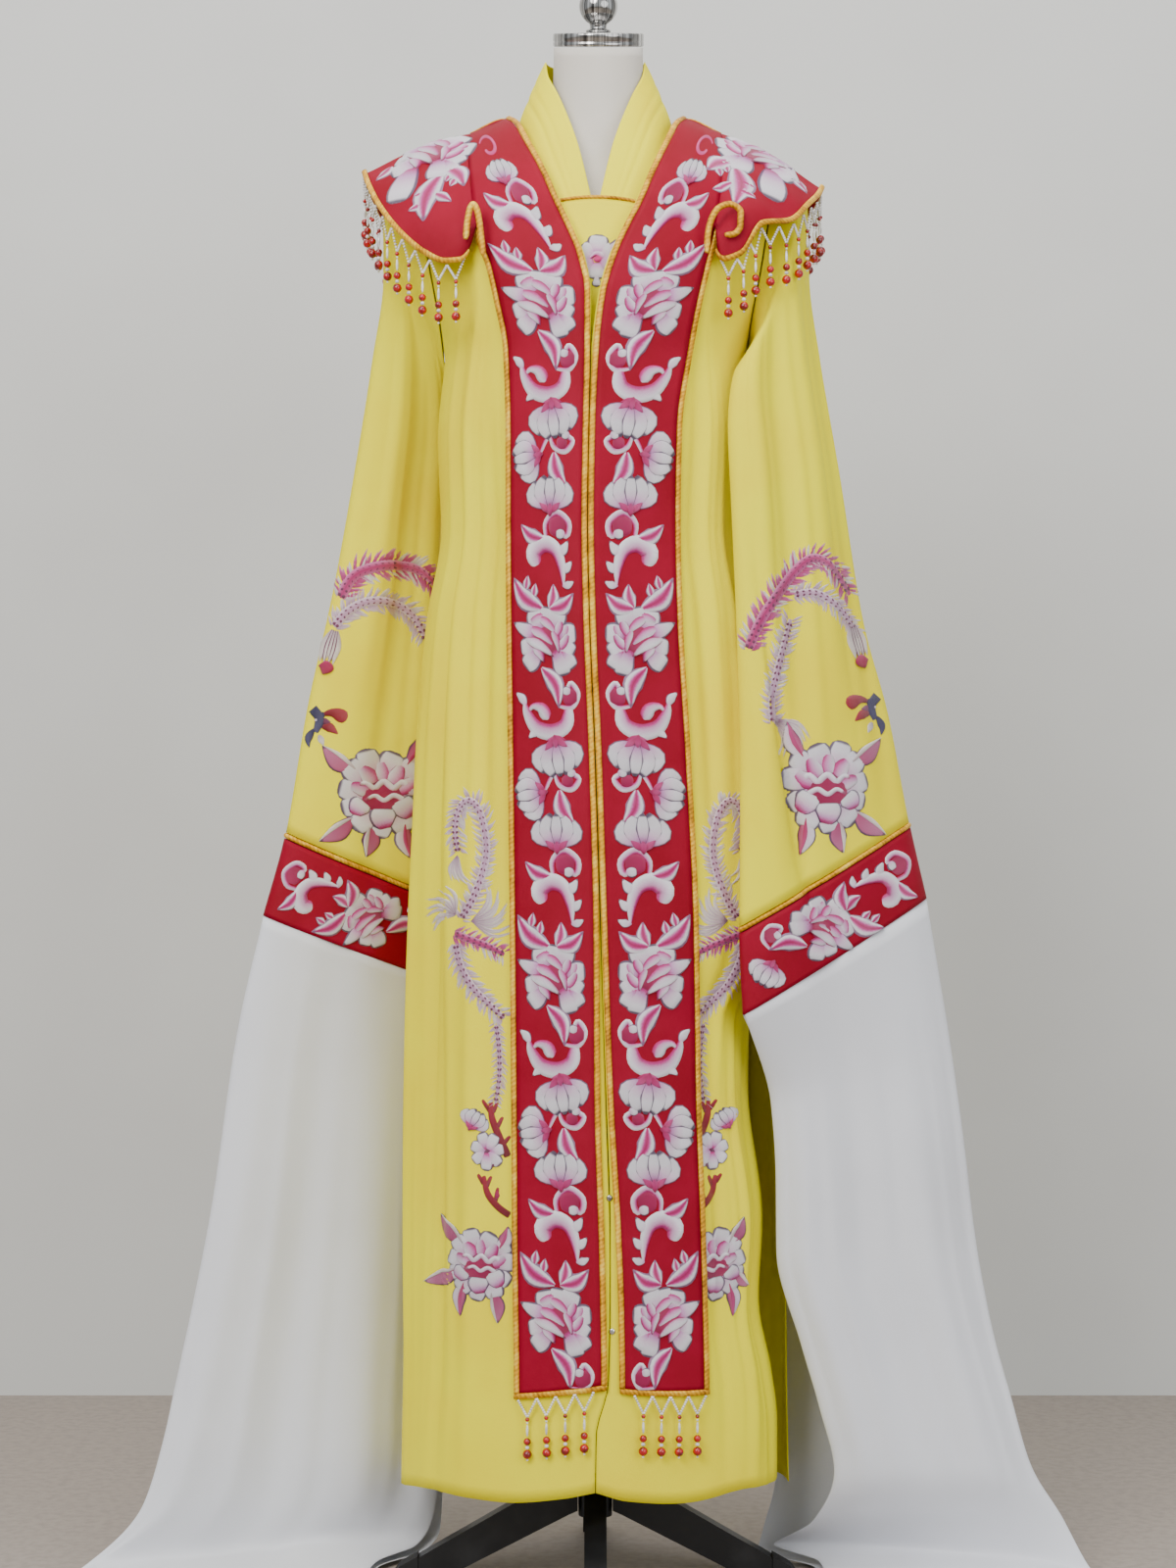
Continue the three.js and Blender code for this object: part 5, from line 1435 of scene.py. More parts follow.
def band_scrolls(n):
    """The part of the band's pattern that stands above a peony."""
    n.curl([(-1, -220), (0, -204), (-12, -194), (-26, -203), (-25, -215), (-17, -214)], 7.5, "curl")
    n.leaf((0, -219), (29, -204), 17, -0.14)
    n.patch(
        "scroll", [(-20, -265), (-18, -244), (-11, -228), (3, -223), (14, -231), (10, -244)],
        19, "scroll", 1, fine=24,
    )
    n.leaf((-12, -234), (-26, -220), 12, 0.1, "white", 1)
    n.leaf((-16, -249), (-30, -239), 11, 0.1, "white", 1)
    n.leaf((-18, -262), (-32, -258), 9, 0.1, "white", 1)
    n.leaf((3, -284), (37, -254), 22, -0.14, layer=2, serrated=True)
    n.leaf((-2, -284), (-31, -269), 19, 0.16, layer=2)
    n.leaf((-3, -284), (-8, -260), 15, 0.1, layer=1)


def first_pair(n):
    """The leaf and the curl that hang below a peony."""
    n.leaf((7, -24), (-11, -62), 20, -0.16, layer=2)
    n.curl([(-10, -60), (-25, -61), (-32, -49), (-25, -39), (-20, -46)], 6.5)


def spiral(n, x, y, size=1.0):
    """An open ring of pink silk."""
    turn = np.linspace(0.2, 1.9 * np.pi, 14)
    reach = (12 - 3.8 * turn / np.pi) * size
    line = np.stack([x + reach * np.cos(turn), y + reach * np.sin(turn)], axis=1)
    n.patch("rose", line, 4.2 * size, "curl", 1, fine=26, wide=5)


BARB_PITCH = 2.8


def plume(n, line, width, tone="rich"):
    """A long tail feather: a slim vane, ragged barbs that lean forward, and a knotted shaft."""
    count = int(travelled(np.array(line, float))[-1] / BARB_PITCH)
    shaft = through(line, count + 1)
    run = unit(np.gradient(shaft, axis=0))
    side = np.stack([-run[:, 1], run[:, 0]], axis=1)
    n.patch(f"vane_{tone}", line, width * 0.42, "stem", 1, fine=max(16, count), wide=5)
    for k in range(count):
        for way in (1, -1):
            reach = width * random.uniform(0.36, 0.66)
            root = shaft[k] + side[k] * way * width * 0.08
            lean = random.uniform(0.3, 1.0)
            end = root + run[k] * reach * lean + side[k] * way * reach * 0.82
            thread = f"barb_{tone}" if random.random() < 0.7 else "strand"
            n.patch(thread, [root, end], width * 0.13, "leaf", 1.6, fine=5, wide=3)
    for k in range(1, count - 1, 2):
        for way in (1, -1):
            off = side[k] * way * width * 0.1
            ends = [shaft[k] + off, mix(shaft[k], shaft[k + 1], 1.2) + off * 0.4]
            n.patch("knot", ends, width * 0.14, "leaf", 3, fine=5, wide=3)


def tail(n, base, tip, width, bend=0.1):
    """The pale eye at the end of a plume, and its bright tip."""
    base, tip = np.array(base, float), np.array(tip, float)
    across = unit(np.array([base[1] - tip[1], tip[0] - base[0]]))
    for off in (-0.4, -0.14, 0.14, 0.4):
        shift = across * off * width
        n.leaf(base + shift * 0.3, tip + shift * 0.7, width * 0.36, bend * off, "strand", 2)
        n.leaf(base + shift * 0.3, tip + shift * 0.4, width * 0.08, bend * off, "knot", 3)
    past = tip + (tip - base) * 0.34
    n.leaf(mix(base, tip, 0.92), past, width * 0.62, -bend, "magenta", 4)


def fan(n, x, y, bearing, size, count=7, spread=110):
    """A spray of fine curved strands with grey lines between them."""
    for k in range(count):
        angle = math.radians(bearing + spread * (k / (count - 1) - 0.5))
        reach = size * random.uniform(0.78, 1.05)
        out = np.array([math.cos(angle), math.sin(angle)]) * reach
        curl = np.array([-out[1], out[0]]) * 0.2
        base = np.array([x, y], float)
        line = [base, base + out * 0.55 + curl, base + out]
        n.patch("strand", line, 4.6, "leaf", 1 + k % 2 * 0.5, fine=9, wide=4)
        n.patch("barb_pale", [p + (0.8, 0.8) for p in line], 1.6, "leaf", 2.4, fine=7, wide=3)


def twig(n):
    """Two red antlers about a grey flower, and a bud."""
    n.patch("red", [(-20, -4), (-10, 18), (-4, 34), (-3, 50)], 8, "stem", 1, fine=16)
    for x0, y0, x1, y1 in ((-8, 22, -15, 36), (-4, 36, -10, 49), (-3, 38, 6, 51), (-14, 8, -22, 18)):
        n.patch("red", [(x0, y0), (x1, y1)], 5.4, "stem", 1, fine=5, wide=4)
    n.patch("red", [(-22, -58), (-10, -50), (0, -38), (4, -20)], 7.4, "stem", 1, fine=16)
    for x0, y0, x1, y1 in ((-7, -48, -10, -30), (2, -34, -4, -20), (3, -30, 10, -19)):
        n.patch("red", [(x0, y0), (x1, y1)], 5.4, "stem", 1, fine=5, wide=4)
    n.patch("heart", [(-9, -43), (-9, -34)], 5, "leaf", 2)
    for k in range(7):
        angle = k * 2 * math.pi / 7 + 0.3
        tip = (17 * math.cos(angle), 2 + 19 * math.sin(angle))
        n.patch("petal" if k % 2 else "lobe", [(0, 2), tip], 13, "round", 1 + k % 3 * 0.5)
    n.patch("knot", [(-4, 6), (4, -2)], 5, "disc", 3, fine=7, wide=5)
    n.patch("knot", [(-8, -8), (-3, -14)], 3, "leaf", 3, fine=5, wide=4)
    n.bud(16, 24, 120, 0.62)


# Where the pointed leaves of a bloom start and end, round its heart.
BLOOM_LEAVES = ((24, 20, 58, 46), (-20, 28, -40, 64), (-30, -14, -66, -36), (22, -30, 36, -70))


def bloom(n, size=1.0, turn=0.0, leaves=BLOOM_LEAVES):
    """An open peony among its pointed leaves, half deep and half pale."""
    for k, (x0, y0, x1, y1) in enumerate(leaves):
        ends = (x0 * size, y0 * size), (x1 * size, y1 * size)
        n.leaf(*ends, 21 * size, 0.1 if k % 2 else -0.1, "split" if k % 2 else "mauve")
        n.leaf(*ends, 5 * size, 0.06, "pink" if k % 2 else "strand", 4)
    n.petals(OPEN_PEONY, size, turn)
    c, s = math.cos(math.radians(turn)) * size, math.sin(math.radians(turn)) * size
    for line, width, layer in LIPS:
        line = [(x * c - y * s, x * s + y * c) for x, y in line]
        n.patch("lip", line, width * size, "stem", layer, fine=26, wide=5)


def bird(n):
    """A small bird's head with a red crest; it looks away from the body."""
    n.patch("red", [(3, 9), (14, 11), (28, 5)], 14, "drop", 1)
    n.patch("rose", [(8, 12), (20, 10)], 5, "leaf", 2)
    n.patch("red", [(2, -3), (10, -3), (19, -10)], 10, "leaf", 1)
    n.patch("knot", [(1, 3), (12, 2)], 7, "leaf", 1.6)
    n.patch("blue", [(-6, 15), (1, 5), (-3, -8)], 10, "stem", 2)
    n.patch("blue", [(4, 12), (2, 4)], 6, "leaf", 2.4)
    n.patch("blue", [(-4, -4), (-10, -14), (-9, -23)], 8, "leaf", 2)
    n.patch("white", [(-4, 4), (1, 4)], 4, "disc", 3, fine=6, wide=4)
    n.patch("strand", [(0, -10), (5, -21)], 7, "leaf", 1)


# ------------------------------------------------------------------ settings


def colour_property(name, description, colour):
    return bpy.props.FloatVectorProperty(
        name=name, description=description, default=[c / 255 for c in colour],
        subtype="COLOR_GAMMA", size=3, min=0, max=1,
    )


def length_property(name, description, default):
    return bpy.props.FloatProperty(
        name=name, description=description, default=default, subtype="DISTANCE", unit="LENGTH",
        min=0.0001,
    )


class CostumeColours(bpy.types.PropertyGroup):
    """The colours of the cloths and trimmings."""

    crepe: colour_property("Crepe", "Yellow crepe of the robe and sleeves", (243, 232, 2))
    crepe_deep: colour_property("Crepe shade", "Deeper yellow in the crepe", (240, 220, 2))
    cape: colour_property("Cape", "Red satin of the cape and cuffs", (148, 3, 40))
    silk: colour_property("Water silk", "White silk of the water sleeves", (226, 227, 232))
    gold: colour_property("Gold", "Metal thread of the bindings", (224, 160, 12))
    jersey: colour_property("Jersey", "Cover of the dress form", (218, 211, 200))
    bead: colour_property("Red beads", "Large glass beads of the fringes", (184, 0, 6))


class CostumeSizes(bpy.types.PropertyGroup):
    """The sizes of the cloths and trimmings."""

    crepe_wall: length_property("Crepe", "Thickness of the crepe", 0.0011)
    cape_wall: length_property("Cape", "Thickness of the backed satin", 0.0018)
    silk_wall: length_property("Water silk", "Thickness of the silk", 0.0008)
    binding: length_property("Binding", "Width of the gold binding", 0.0055)
    strand: length_property("Strand", "Length of one strand of the fringes", 0.060)
    strand_gap: length_property("Strand spacing", "Distance between strands", 0.020)
    seed: length_property("Seed bead", "Width of a seed bead", 0.0026)


FINISHES = {}
WHITE, LILAC, PINK = (234, 228, 235), (216, 150, 204), (200, 44, 134)
MAGENTA, PALE, ORCHID = (172, 0, 84), (230, 202, 222), (222, 160, 200)
GREY_OUTLINE_AND_SHADE, STRAW, WINE_OUTLINE_AND_SHADE = (76, 50, 84), (228, 216, 206), (150, 8, 84)
# Silk threads: finish, its name, what the dye follows, the line at the edge (partly outline stitching,
# partly painted shade where patches overlap), and the dyes.
THREADS = [
    ("white", "White_silk", "along", GREY_OUTLINE_AND_SHADE, [(0, LILAC), (0.22, PALE), (0.5, WHITE), (1, WHITE)]),
    ("petal", "Petal", "along", GREY_OUTLINE_AND_SHADE,
     [(0, MAGENTA), (0.14, PINK), (0.3, LILAC), (0.48, PALE), (0.7, WHITE)]),
    ("heart", "Heart", "along", None, [(0, (152, 0, 68)), (1, (176, 0, 84))]),
    ("rose", "Rose", "across", None, [(0, (226, 60, 140)), (1, (206, 30, 116))]),
    ("split", "Split_leaf", "side", GREY_OUTLINE_AND_SHADE,
     [(0, (176, 50, 104)), (0.42, (200, 100, 144)), (0.54, PALE), (1, WHITE)]),
    ("strand", "Strand", "along", None, [(0, (176, 150, 164)), (0.5, STRAW)]),
    ("knot", "Knot", "along", None, [(0, (96, 24, 62)), (1, (124, 60, 96))]),
    ("magenta", "Magenta", "along", None, [(0, (176, 20, 84)), (1, (150, 8, 50))]),
    ("vane_rich", "Rich_vane", "across", None,
     [(0, (176, 34, 104)), (0.5, (200, 84, 144)), (1, (216, 140, 180))]),
    ("vane_pale", "Pale_vane", "across", None,
     [(0, (198, 150, 182)), (0.6, (216, 184, 204)), (1, STRAW)]),
    ("barb_rich", "Rich_barb", "along", None,
     [(0, (160, 20, 84)), (0.55, (196, 76, 138)), (1, (226, 170, 200))]),
    ("barb_pale", "Pale_barb", "along", None,
     [(0, (150, 104, 134)), (0.4, (206, 172, 192)), (1, STRAW)]),
    ("centre", "Centre", "side", WINE_OUTLINE_AND_SHADE,
     [(0, MAGENTA), (0.2, PINK), (0.42, (224, 150, 200)), (0.66, PALE), (0.88, WHITE)]),
    ("lobe", "Bud", "along", GREY_OUTLINE_AND_SHADE, [(0, PINK), (0.16, LILAC), (0.36, PALE), (0.6, WHITE)]),
    ("curl", "Curl", "side", None,
     [(0, WHITE), (0.3, PALE), (0.56, ORCHID), (0.76, PINK), (0.92, MAGENTA)]),
    ("lip", "Lip", "side", WINE_OUTLINE_AND_SHADE, [(0, PINK), (0.3, PALE), (0.6, WHITE)]),
    ("leaf", "Leaf", "across", (134, 92, 128),
     [(0, MAGENTA), (0.22, PINK), (0.38, (222, 140, 190)), (0.54, WHITE), (0.8, WHITE)]),
    ("scroll", "Scroll", "side", None,
     [(0, MAGENTA), (0.16, PINK), (0.34, ORCHID), (0.56, PALE), (0.76, WHITE)]),
    ("pink", "Pink", "along", None, [(0, MAGENTA), (1, (204, 70, 140))]),
    ("mauve", "Mauve", "along", GREY_OUTLINE_AND_SHADE, [(0, (176, 48, 104)), (1, (190, 108, 148))]),
    ("red", "Red", "along", None, [(0, (112, 8, 26)), (1, (164, 22, 46))]),
    ("blue", "Blue", "along", None, [(0, (40, 38, 70)), (1, (74, 72, 108))]),
]


def colours():
    return bpy.context.scene.costume_colours


def sizes():
    return bpy.context.scene.costume_sizes


def as_seen(colour, factor=1.0):
    return tuple(min(255, c * 255 * factor) for c in colour)


class CostumeOperator(bpy.types.Operator):
    bl_options = {"REGISTER", "UNDO"}

    def execute(self, context):
        self.make()
        return {"FINISHED"}


# ------------------------------------------------------------------ camera, finishes, stage


class COSTUME_OT_camera(CostumeOperator):
    """Sets the camera at chest height, straight in front"""

    bl_idname = "costume.camera"
    bl_label = "Camera"
    # In metres, in millimetres for the lens and its sensor, and in degrees below level.
    PLACE, LENS, SENSOR, DOWN = (-0.007, -3.0, 0.79), 70.875, 36, 0.364

    def make(self):
        data = bpy.data.cameras.new("Camera")
        data.lens, data.sensor_width = self.LENS, self.SENSOR
        camera = bpy.data.objects.new("Camera", data)
        camera.location = self.PLACE
        camera.rotation_euler = (math.radians(90 - self.DOWN), 0, 0)
        bpy.context.scene.collection.objects.link(camera)
        bpy.context.scene.camera = camera


class COSTUME_OT_finishes(CostumeOperator):
    """Mixes the finish of every cloth, thread, bead and metal"""

    bl_idname = "costume.finishes"
    bl_label = "Finishes"

    def make(self):
        c = colours()
        FINISHES.update(
            crepe=cloth_finish(
                "Yellow_crepe", as_seen(c.crepe), as_seen(c.crepe_deep), 0.0007, 0.5, 0.5, 0.02,
                (244, 236, 44),
            ),
            silk=cloth_finish(
                "White_silk", as_seen(c.silk), as_seen(c.silk, 0.975), 0.0005, 0.3, 0.46, 0.2,
                (246, 246, 250),
            ),
            cape=satin_finish("Red_satin", as_seen(c.cape), (134, 2, 28), (164, 18, 48)),
            # The gold's dark colour is painted shade and its bright colour painted glints.
            gold=gold_finish("Gold_thread", as_seen(c.gold), (112, 56, 0), (255, 230, 100)),
            jersey=jersey_finish("Ivory_jersey", as_seen(c.jersey), (206, 198, 186)),
            chrome=chrome_finish("Chrome"),
            paint=paint_finish("Black_paint", (20, 20, 21), 0.3, 300),
            rubber=paint_finish("Black_rubber", (24, 23, 23), 0.62, 700),
            red_glass=glass_finish("Red_beads", as_seen(c.bead), (112, 0, 4), 0.2, 0.3),
            clear_glass=glass_finish("Clear_beads", (232, 230, 228), (196, 192, 190), 0.1, 0.8),
        )
        for key, name, by, line, stops in THREADS:
            FINISHES[key] = silk_thread(f"{name}_thread", stops, by, line)


class COSTUME_OT_stage(CostumeOperator):
    """Lays a plain pale floor with a wall behind it, and sets soft lamps"""

    bl_idname = "costume.stage"
    bl_label = "Stage"

    def make(self):
        half, wall_at, top = 6000, 860, 4500
        u, v = sheet_grid("stage")
        across = mix(-half, half, u)
        floor = self.plane("Studio_floor", point(across, mix(-half, half, v), 0))
        floor.data.materials.append(self.paint("Floor_paint", (154, 143, 133), (142, 132, 123), 90))
        wall = self.plane("Studio_wall", point(across, wall_at, mix(0, top, v)))
        paint = self.paint("Wall_paint", (205, 205, 202), (199, 198, 195), 1.6)
        self.clear_from_behind(paint)
        wall.data.materials.append(paint)
        world = bpy.data.worlds.new("Studio_air")
        world.use_nodes = True
        air = world.node_tree.nodes["Background"].inputs
        air["Color"].default_value, air["Strength"].default_value = (0.93, 0.97, 1, 1), 0.66
        bpy.context.scene.world = world
        # name, place, aim, size, power, tint
        lamps = [
            ("Key_lamp", (-1.5, -2.7, 2.7), (0, 0, 0.9), 2.0, 107, (1, 0.98, 0.95)),
            ("Fill_lamp", (2.0, -2.8, 1.6), (0, 0, 0.7), 2.4, 50, (0.96, 0.98, 1)),
            ("Top_lamp", (0.1, -0.6, 3.2), (0, 0.2, 0.8), 2.2, 49, (1, 1, 1)),
        ]
        for name, place_at, aim, size, power, tint in lamps:
            data = bpy.data.lights.new(name, "AREA")
            data.shape, data.size, data.energy, data.color = "DISK", size, power, tint
            lamp = bpy.data.objects.new(name, data)
            lamp.location = place_at
            lamp.rotation_euler = (Vector(aim) - Vector(place_at)).to_track_quat("-Z", "Y").to_euler()
            bpy.context.scene.collection.objects.link(lamp)

    def plane(self, name, p):
        tall, wide = p.shape[:2]
        return new_piece(name, p.reshape(-1, 3), grid_faces(wide, tall))

    def paint(self, name, colour, other, grain):
        f = Finish(name)
        cloud = f.noise(f.where(), grain, 3, 0.6)
        speck = f.noise(f.where(), 90, 4, 0.7)
        tone = f.blend(linear(colour), linear(other), cloud.step(0.35, 0.7))
        f.set(Base_Color=tone, Roughness=0.75)
        return f.bump(speck, 0.0005, 0.2)

    def clear_from_behind(self, material):
        """Lets the wall be seen through from its back, so that it hides nothing there."""
        tree = material.node_tree
        side = tree.nodes.new("ShaderNodeNewGeometry")
        clear = tree.nodes.new("ShaderNodeBsdfTransparent")
        either = tree.nodes.new("ShaderNodeMixShader")
        tree.links.new(side.outputs["Backfacing"], either.inputs[0])
        tree.links.new(tree.nodes["Principled BSDF"].outputs[0], either.inputs[1])
        tree.links.new(clear.outputs[0], either.inputs[2])
        tree.links.new(either.outputs[0], tree.nodes["Material Output"].inputs["Surface"])


# ------------------------------------------------------------------ cloth


class COSTUME_OT_robe(CostumeOperator):
    """Hangs the robe's two fronts and its back"""

    bl_idname = "costume.robe"
    bl_label = "Robe"

    def make(self):
        wall = sizes().crepe_wall / MM
        for side, sign in SIDES.items():
            u, height = sheet_grid("front")
            height = mix(HEM, NECK, height)
            p = front(side, u, height)
            piece = sew(f"Robe_front_{side}", p, wall, sign, "crepe", f"robe_front_{side}")
        u, height = sheet_grid("back")
        p = back(u, mix(HEM, NECK, height))
        piece = sew("Robe_back", p, wall, -1, "crepe", "robe_back")


class COSTUME_OT_sleeves(CostumeOperator):
    """Hangs the wide sleeves, their red cuffs and the gold piping between"""

    bl_idname = "costume.sleeves"
    bl_label = "Sleeves and cuffs"

    def make(self):
        crepe, cape = sizes().crepe_wall / MM, sizes().cape_wall / MM
        cuff_start = SLEEVE_END + PIPING_STEP + CUFF_GAP
        for side, sign in SIDES.items():
            turn, v = ring_grid("sleeve")
            p = sleeve(side, turn, mix(0, SLEEVE_END - CUFF_GAP, v))
            piece = sew(
                f"Robe_sleeve_{side}", p, crepe, sign, "crepe", f"sleeve_{side}", ring=True
            )
            turn, v = ring_grid("cuff")
            p = sleeve(side, turn, mix(cuff_start, CUFF_END, v))
            piece = sew(f"Cuff_{side}", p, cape, sign, "cape", f"cuff_{side}", ring=True)
            turn = np.arange(160) / 160
            low = sleeve(side, turn, np.full_like(turn, SLEEVE_END - PIPING_OVERLAP))
            high = sleeve(side, turn, np.full_like(turn, SLEEVE_END + PIPING_STEP))
            centre, across = (low + high) / 2, unit(high - low)
            along = unit(np.roll(centre, -1, 0) - np.roll(centre, 1, 0))
            out = unit(np.cross(across, along))
            piping = sweep(f"Cuff_piping_{side}", centre, across, out, *PIPING_SIZE, closed=True)
            finish_piece(piping, FINISHES["gold"], "gold", f"cuff_piping_{side}")


class COSTUME_OT_water_sleeves(CostumeOperator):
    """Hangs the white water sleeves, open along the inner edge, and spreads them on the floor"""

    bl_idname = "costume.water_sleeves"
    bl_label = "Water sleeves"

    def make(self):
        wall = sizes().silk_wall / MM
        for side, sign in SIDES.items():
            turn, v = sheet_grid("water")
            p = water(side, turn, mix(WATER_START, WATER_END[side], v))
            piece = sew(
                f"Water_sleeve_{side}", p, wall, sign, "silk", f"water_sleeve_{side}", floor=0.05
            )


class COSTUME_OT_collar(CostumeOperator):
    """Folds the standing collar round the neck and fills the V below it"""

    bl_idname = "costume.collar"
    bl_label = "Collar and bodice"

    def make(self):
        wall = sizes().crepe_wall / MM
        u, v = sheet_grid("collar")
        p = collar(u, v)
        away = np.abs(2 * u - 1)
        crease = sum(
            -deep * np.exp(-(((v - at - slant * away) / spread) ** 2)) * (away > start)
            for at, slant, spread, deep, start in COLLAR_CREASES
        )
        p = p + outward(p) * crease[..., None]
        piece = sew("Collar", p, wall, -1, "crepe", "collar")
        u, height = sheet_grid("bodice")
        p = bodice(u, mix(BODICE_LOW, BODICE_TOP, height))
        piece = sew("Bodice", p, wall, 1, "crepe", "bodice")
        top = BODICE_TOP + SEAM_GAP

        def strip_at(u, v):
            return bodice(v, mix(top, top + PIPING_HIGH, u))

        centre, across, out = edge_frame(strip_at, 40)
        piping = sweep("Bodice_piping", centre, across, out, *BODICE_CORD)
        finish_piece(piping, FINISHES["gold"], "gold", "bodice_piping")


class COSTUME_OT_cape(CostumeOperator):
    """Lays the cape's bands, wings and back over the robe"""

    bl_idname = "costume.cape"
    bl_label = "Cape"

    def make(self):
        wall = sizes().cape_wall / MM
        for side, sign in SIDES.items():
            u, v = sheet_grid("band")
            p = band(side, u, v)
            out = unit(np.cross(*slopes(p))) * sign
            p = ridge_point(p, out, mix(BAND_END[side][0], BAND_TOP, v), BAND_LIFT)
            piece = sew(f"Cape_band_{side}", p, wall, sign, "cape", f"cape_band_{side}")
            u, place = sheet_grid("wing")
            p = wing(side, u, place)
            flare = u**2 * np.sin(place * np.pi)
            ripple = sum(flare * deep * np.sin(place * rate + at) for deep, rate, at in RIPPLES)
            p = p + wing_out(side, p) * (ripple * (1 - u**8))[..., None]
            piece = sew(f"Cape_wing_{side}", p, wall, sign, "cape", f"cape_wing_{side}")
        u, v = sheet_grid("yoke")
        piece = sew("Cape_back", cape_back(u, v), wall, -1, "cape", "cape_back")


def lifted(strip_at, lift, sign, height_at=None):
    """The same strip moved off the cloth along its normal, and with the ridge if it has heights."""

    def at(u, v):
        step = 0.002
        across = strip_at(u + step, v) - strip_at(u - step, v)
        along = strip_at(u, np.clip(v + step, 0, 1)) - strip_at(u, np.clip(v - step, 0, 1))
        out = unit(np.cross(across, along)) * sign
        if height_at is None:
            return strip_at(u, v) + out * lift
        return ridge_point(strip_at(u, v), out, height_at(v), lift)

    return at


class COSTUME_OT_bindings(CostumeOperator):
    """Sews gold cord round the bands, the wings and the back"""

    bl_idname = "costume.bindings"
    bl_label = "Gold bindings"

    def bind(self, name, strip_at, count, height):
        centre, across, out = edge_frame(strip_at, count)
        half = sizes().binding / MM / 2
        piece = sweep(name, centre, across, out, half, height, 12)
        finish_piece(piece, FINISHES["gold"], "gold", name.lower())

    def make(self):
        end = BINDING_WIDTH + SEAM_GAP
        for side, sign in SIDES.items():
            inner_end, outer_end = BAND_END[side]
            edges = [
                ("inner", INNER, inner_end, BAND_TOP, -1, 420),
                ("outer", OUTER, outer_end, NOTCH, 1, 380),
            ]
            for name, which, low, top, way, count in edges:
                flat = strip(side, which, SEAM_GAP, end, low, top)
                heights = (lambda v, low=low, top=top: mix(low, top, v))
                raised = lifted(flat, BINDING_LIFT - SEAM_GAP, sign * way, heights)
                self.bind(f"Binding_{name}_{side}", raised, count, BAND_CORD)

            def below(u, v, side=side, sign=sign, inner_end=inner_end, outer_end=outer_end):
                ends = curve(BAND[side], outer_end)
                x = mix(ends[0] - sign * end, ends[1] + sign * end, v)
                drop = mix(SEAM_GAP, end, u)
                return at_x(side, x, mix(inner_end, outer_end, v) - drop)

            raised = lifted(below, BINDING_LIFT - SEAM_GAP, sign)
            self.bind(f"Binding_end_{side}", raised, 40, BAND_CORD)

            def rim(u, v, side=side):
                return wing(side, 1 - (1 - u) * WING_RIM, mix(WING_RIM, 1 - WING_RIM, v))

            raised = lifted(rim, EDGE_LIFT, sign)
            self.bind(f"Binding_wing_{side}", raised, 200, EDGE_CORD)

        def hem(u, v):
            return cape_back(v, u * BACK_RIM)

        def neck(u, v):
            return cape_back(v, 1 - u * BACK_RIM)

        self.bind("Binding_back", lifted(hem, EDGE_LIFT, 1), 140, EDGE_CORD)
        self.bind("Binding_neck", lifted(neck, EDGE_LIFT, -1), 120, EDGE_CORD)


CURL = {
    "left": [
        (0, -105, -113, 1266), (0.3, -107, -112, 1284), (0.48, -111, -110, 1309),
        (0.55, -114.5, -109, 1314), (0.62, -118, -109, 1308), (1, -121.5, -112, 1281),
    ],
    "right": [
        (0, 104, -113, 1268), (0.12, 105, -112, 1285), (0.24, 108.5, -111, 1300),
        (0.36, 116, -109.5, 1311), (0.48, 126, -107, 1314.5), (0.62, 136, -106, 1307),
        (0.76, 135.5, -107, 1294), (0.88, 129, -109, 1286), (1, 121, -111.5, 1285),
    ],
}
CURL_SIZE, CURL_TAPER = (3.0, 2.4), ((0, 0.6), (0.06, 1), (0.94, 1), (1, 0.6))


class COSTUME_OT_curls(CostumeOperator):
    """Curls the gold cord over where each wing meets its band"""

    bl_idname = "costume.curls"
    bl_label = "Gold curls"

    def make(self):
        for side in SIDES:
            steps = np.linspace(0, 1, 90)
            centre = curve(CURL[side], steps)
            run = unit(np.gradient(centre, axis=0))
            out = unit(np.cross(run, np.cross(np.array([0.0, -1.0, 0.0]), run)))
            across = np.cross(run, out)
            taper = np.interp(steps, *zip(*CURL_TAPER))
            half_width, half_height = CURL_SIZE[0] * taper, CURL_SIZE[1] * taper
            piece = sweep(f"Curl_{side}", centre, across, out, half_width, half_height, 12)
            finish_piece(piece, FINISHES["gold"], "gold", f"curl_{side}")


# ------------------------------------------------------------------ beads

# One strand below its two legs: drop to the bead's middle, half its width, half its height, kind.
STRAND = [
    (2.2, 2.0, 1.9, "red"), (5.4, 1.2, 1.1, "clear"), (12.6, 1.25, 6.0, "clear"),
    (22.8, 3.5, 3.5, "red"), (28.2, 2.0, 1.8, "clear"), (34.6, 4.3, 4.3, "red"),
    (39.8, 1.3, 1.0, "clear"),
]
STRAND_LENGTH, LEG_BEADS, LEG_DROP = 60, 8, 17.0
SWAY, SWAY_AT, SEED_FLATNESS, SMALL_BEAD = 0.6, 40, 0.95, 1.5
BEAD_KINDS = ("red", "clear")


def bead_shape(n):
    """A ball of quads, from a cube's faces pushed out."""
    side = np.tan(np.linspace(-1, 1, n + 1) * np.pi / 4)
    a, b = np.meshgrid(side, side)
    one = np.ones_like(a)
    sheets = [(a, b, one), (b, a, -one), (one, a, b), (-one, b, a), (b, one, a), (a, -one, b)]
    points = np.concatenate([unit(np.stack(s, -1)).reshape(-1, 3) for s in sheets])
    faces = np.concatenate([grid_faces(n + 1, n + 1, k * (n + 1) ** 2) for k in range(6)])
    return points, faces


def merge_points(points, faces):
    """Joins the points that lie together, so that each bead is one closed skin."""
    keys = np.round(points, 5)
    _, first, inverse = np.unique(keys, axis=0, return_index=True, return_inverse=True)
    return points[first], inverse.ravel()[faces]


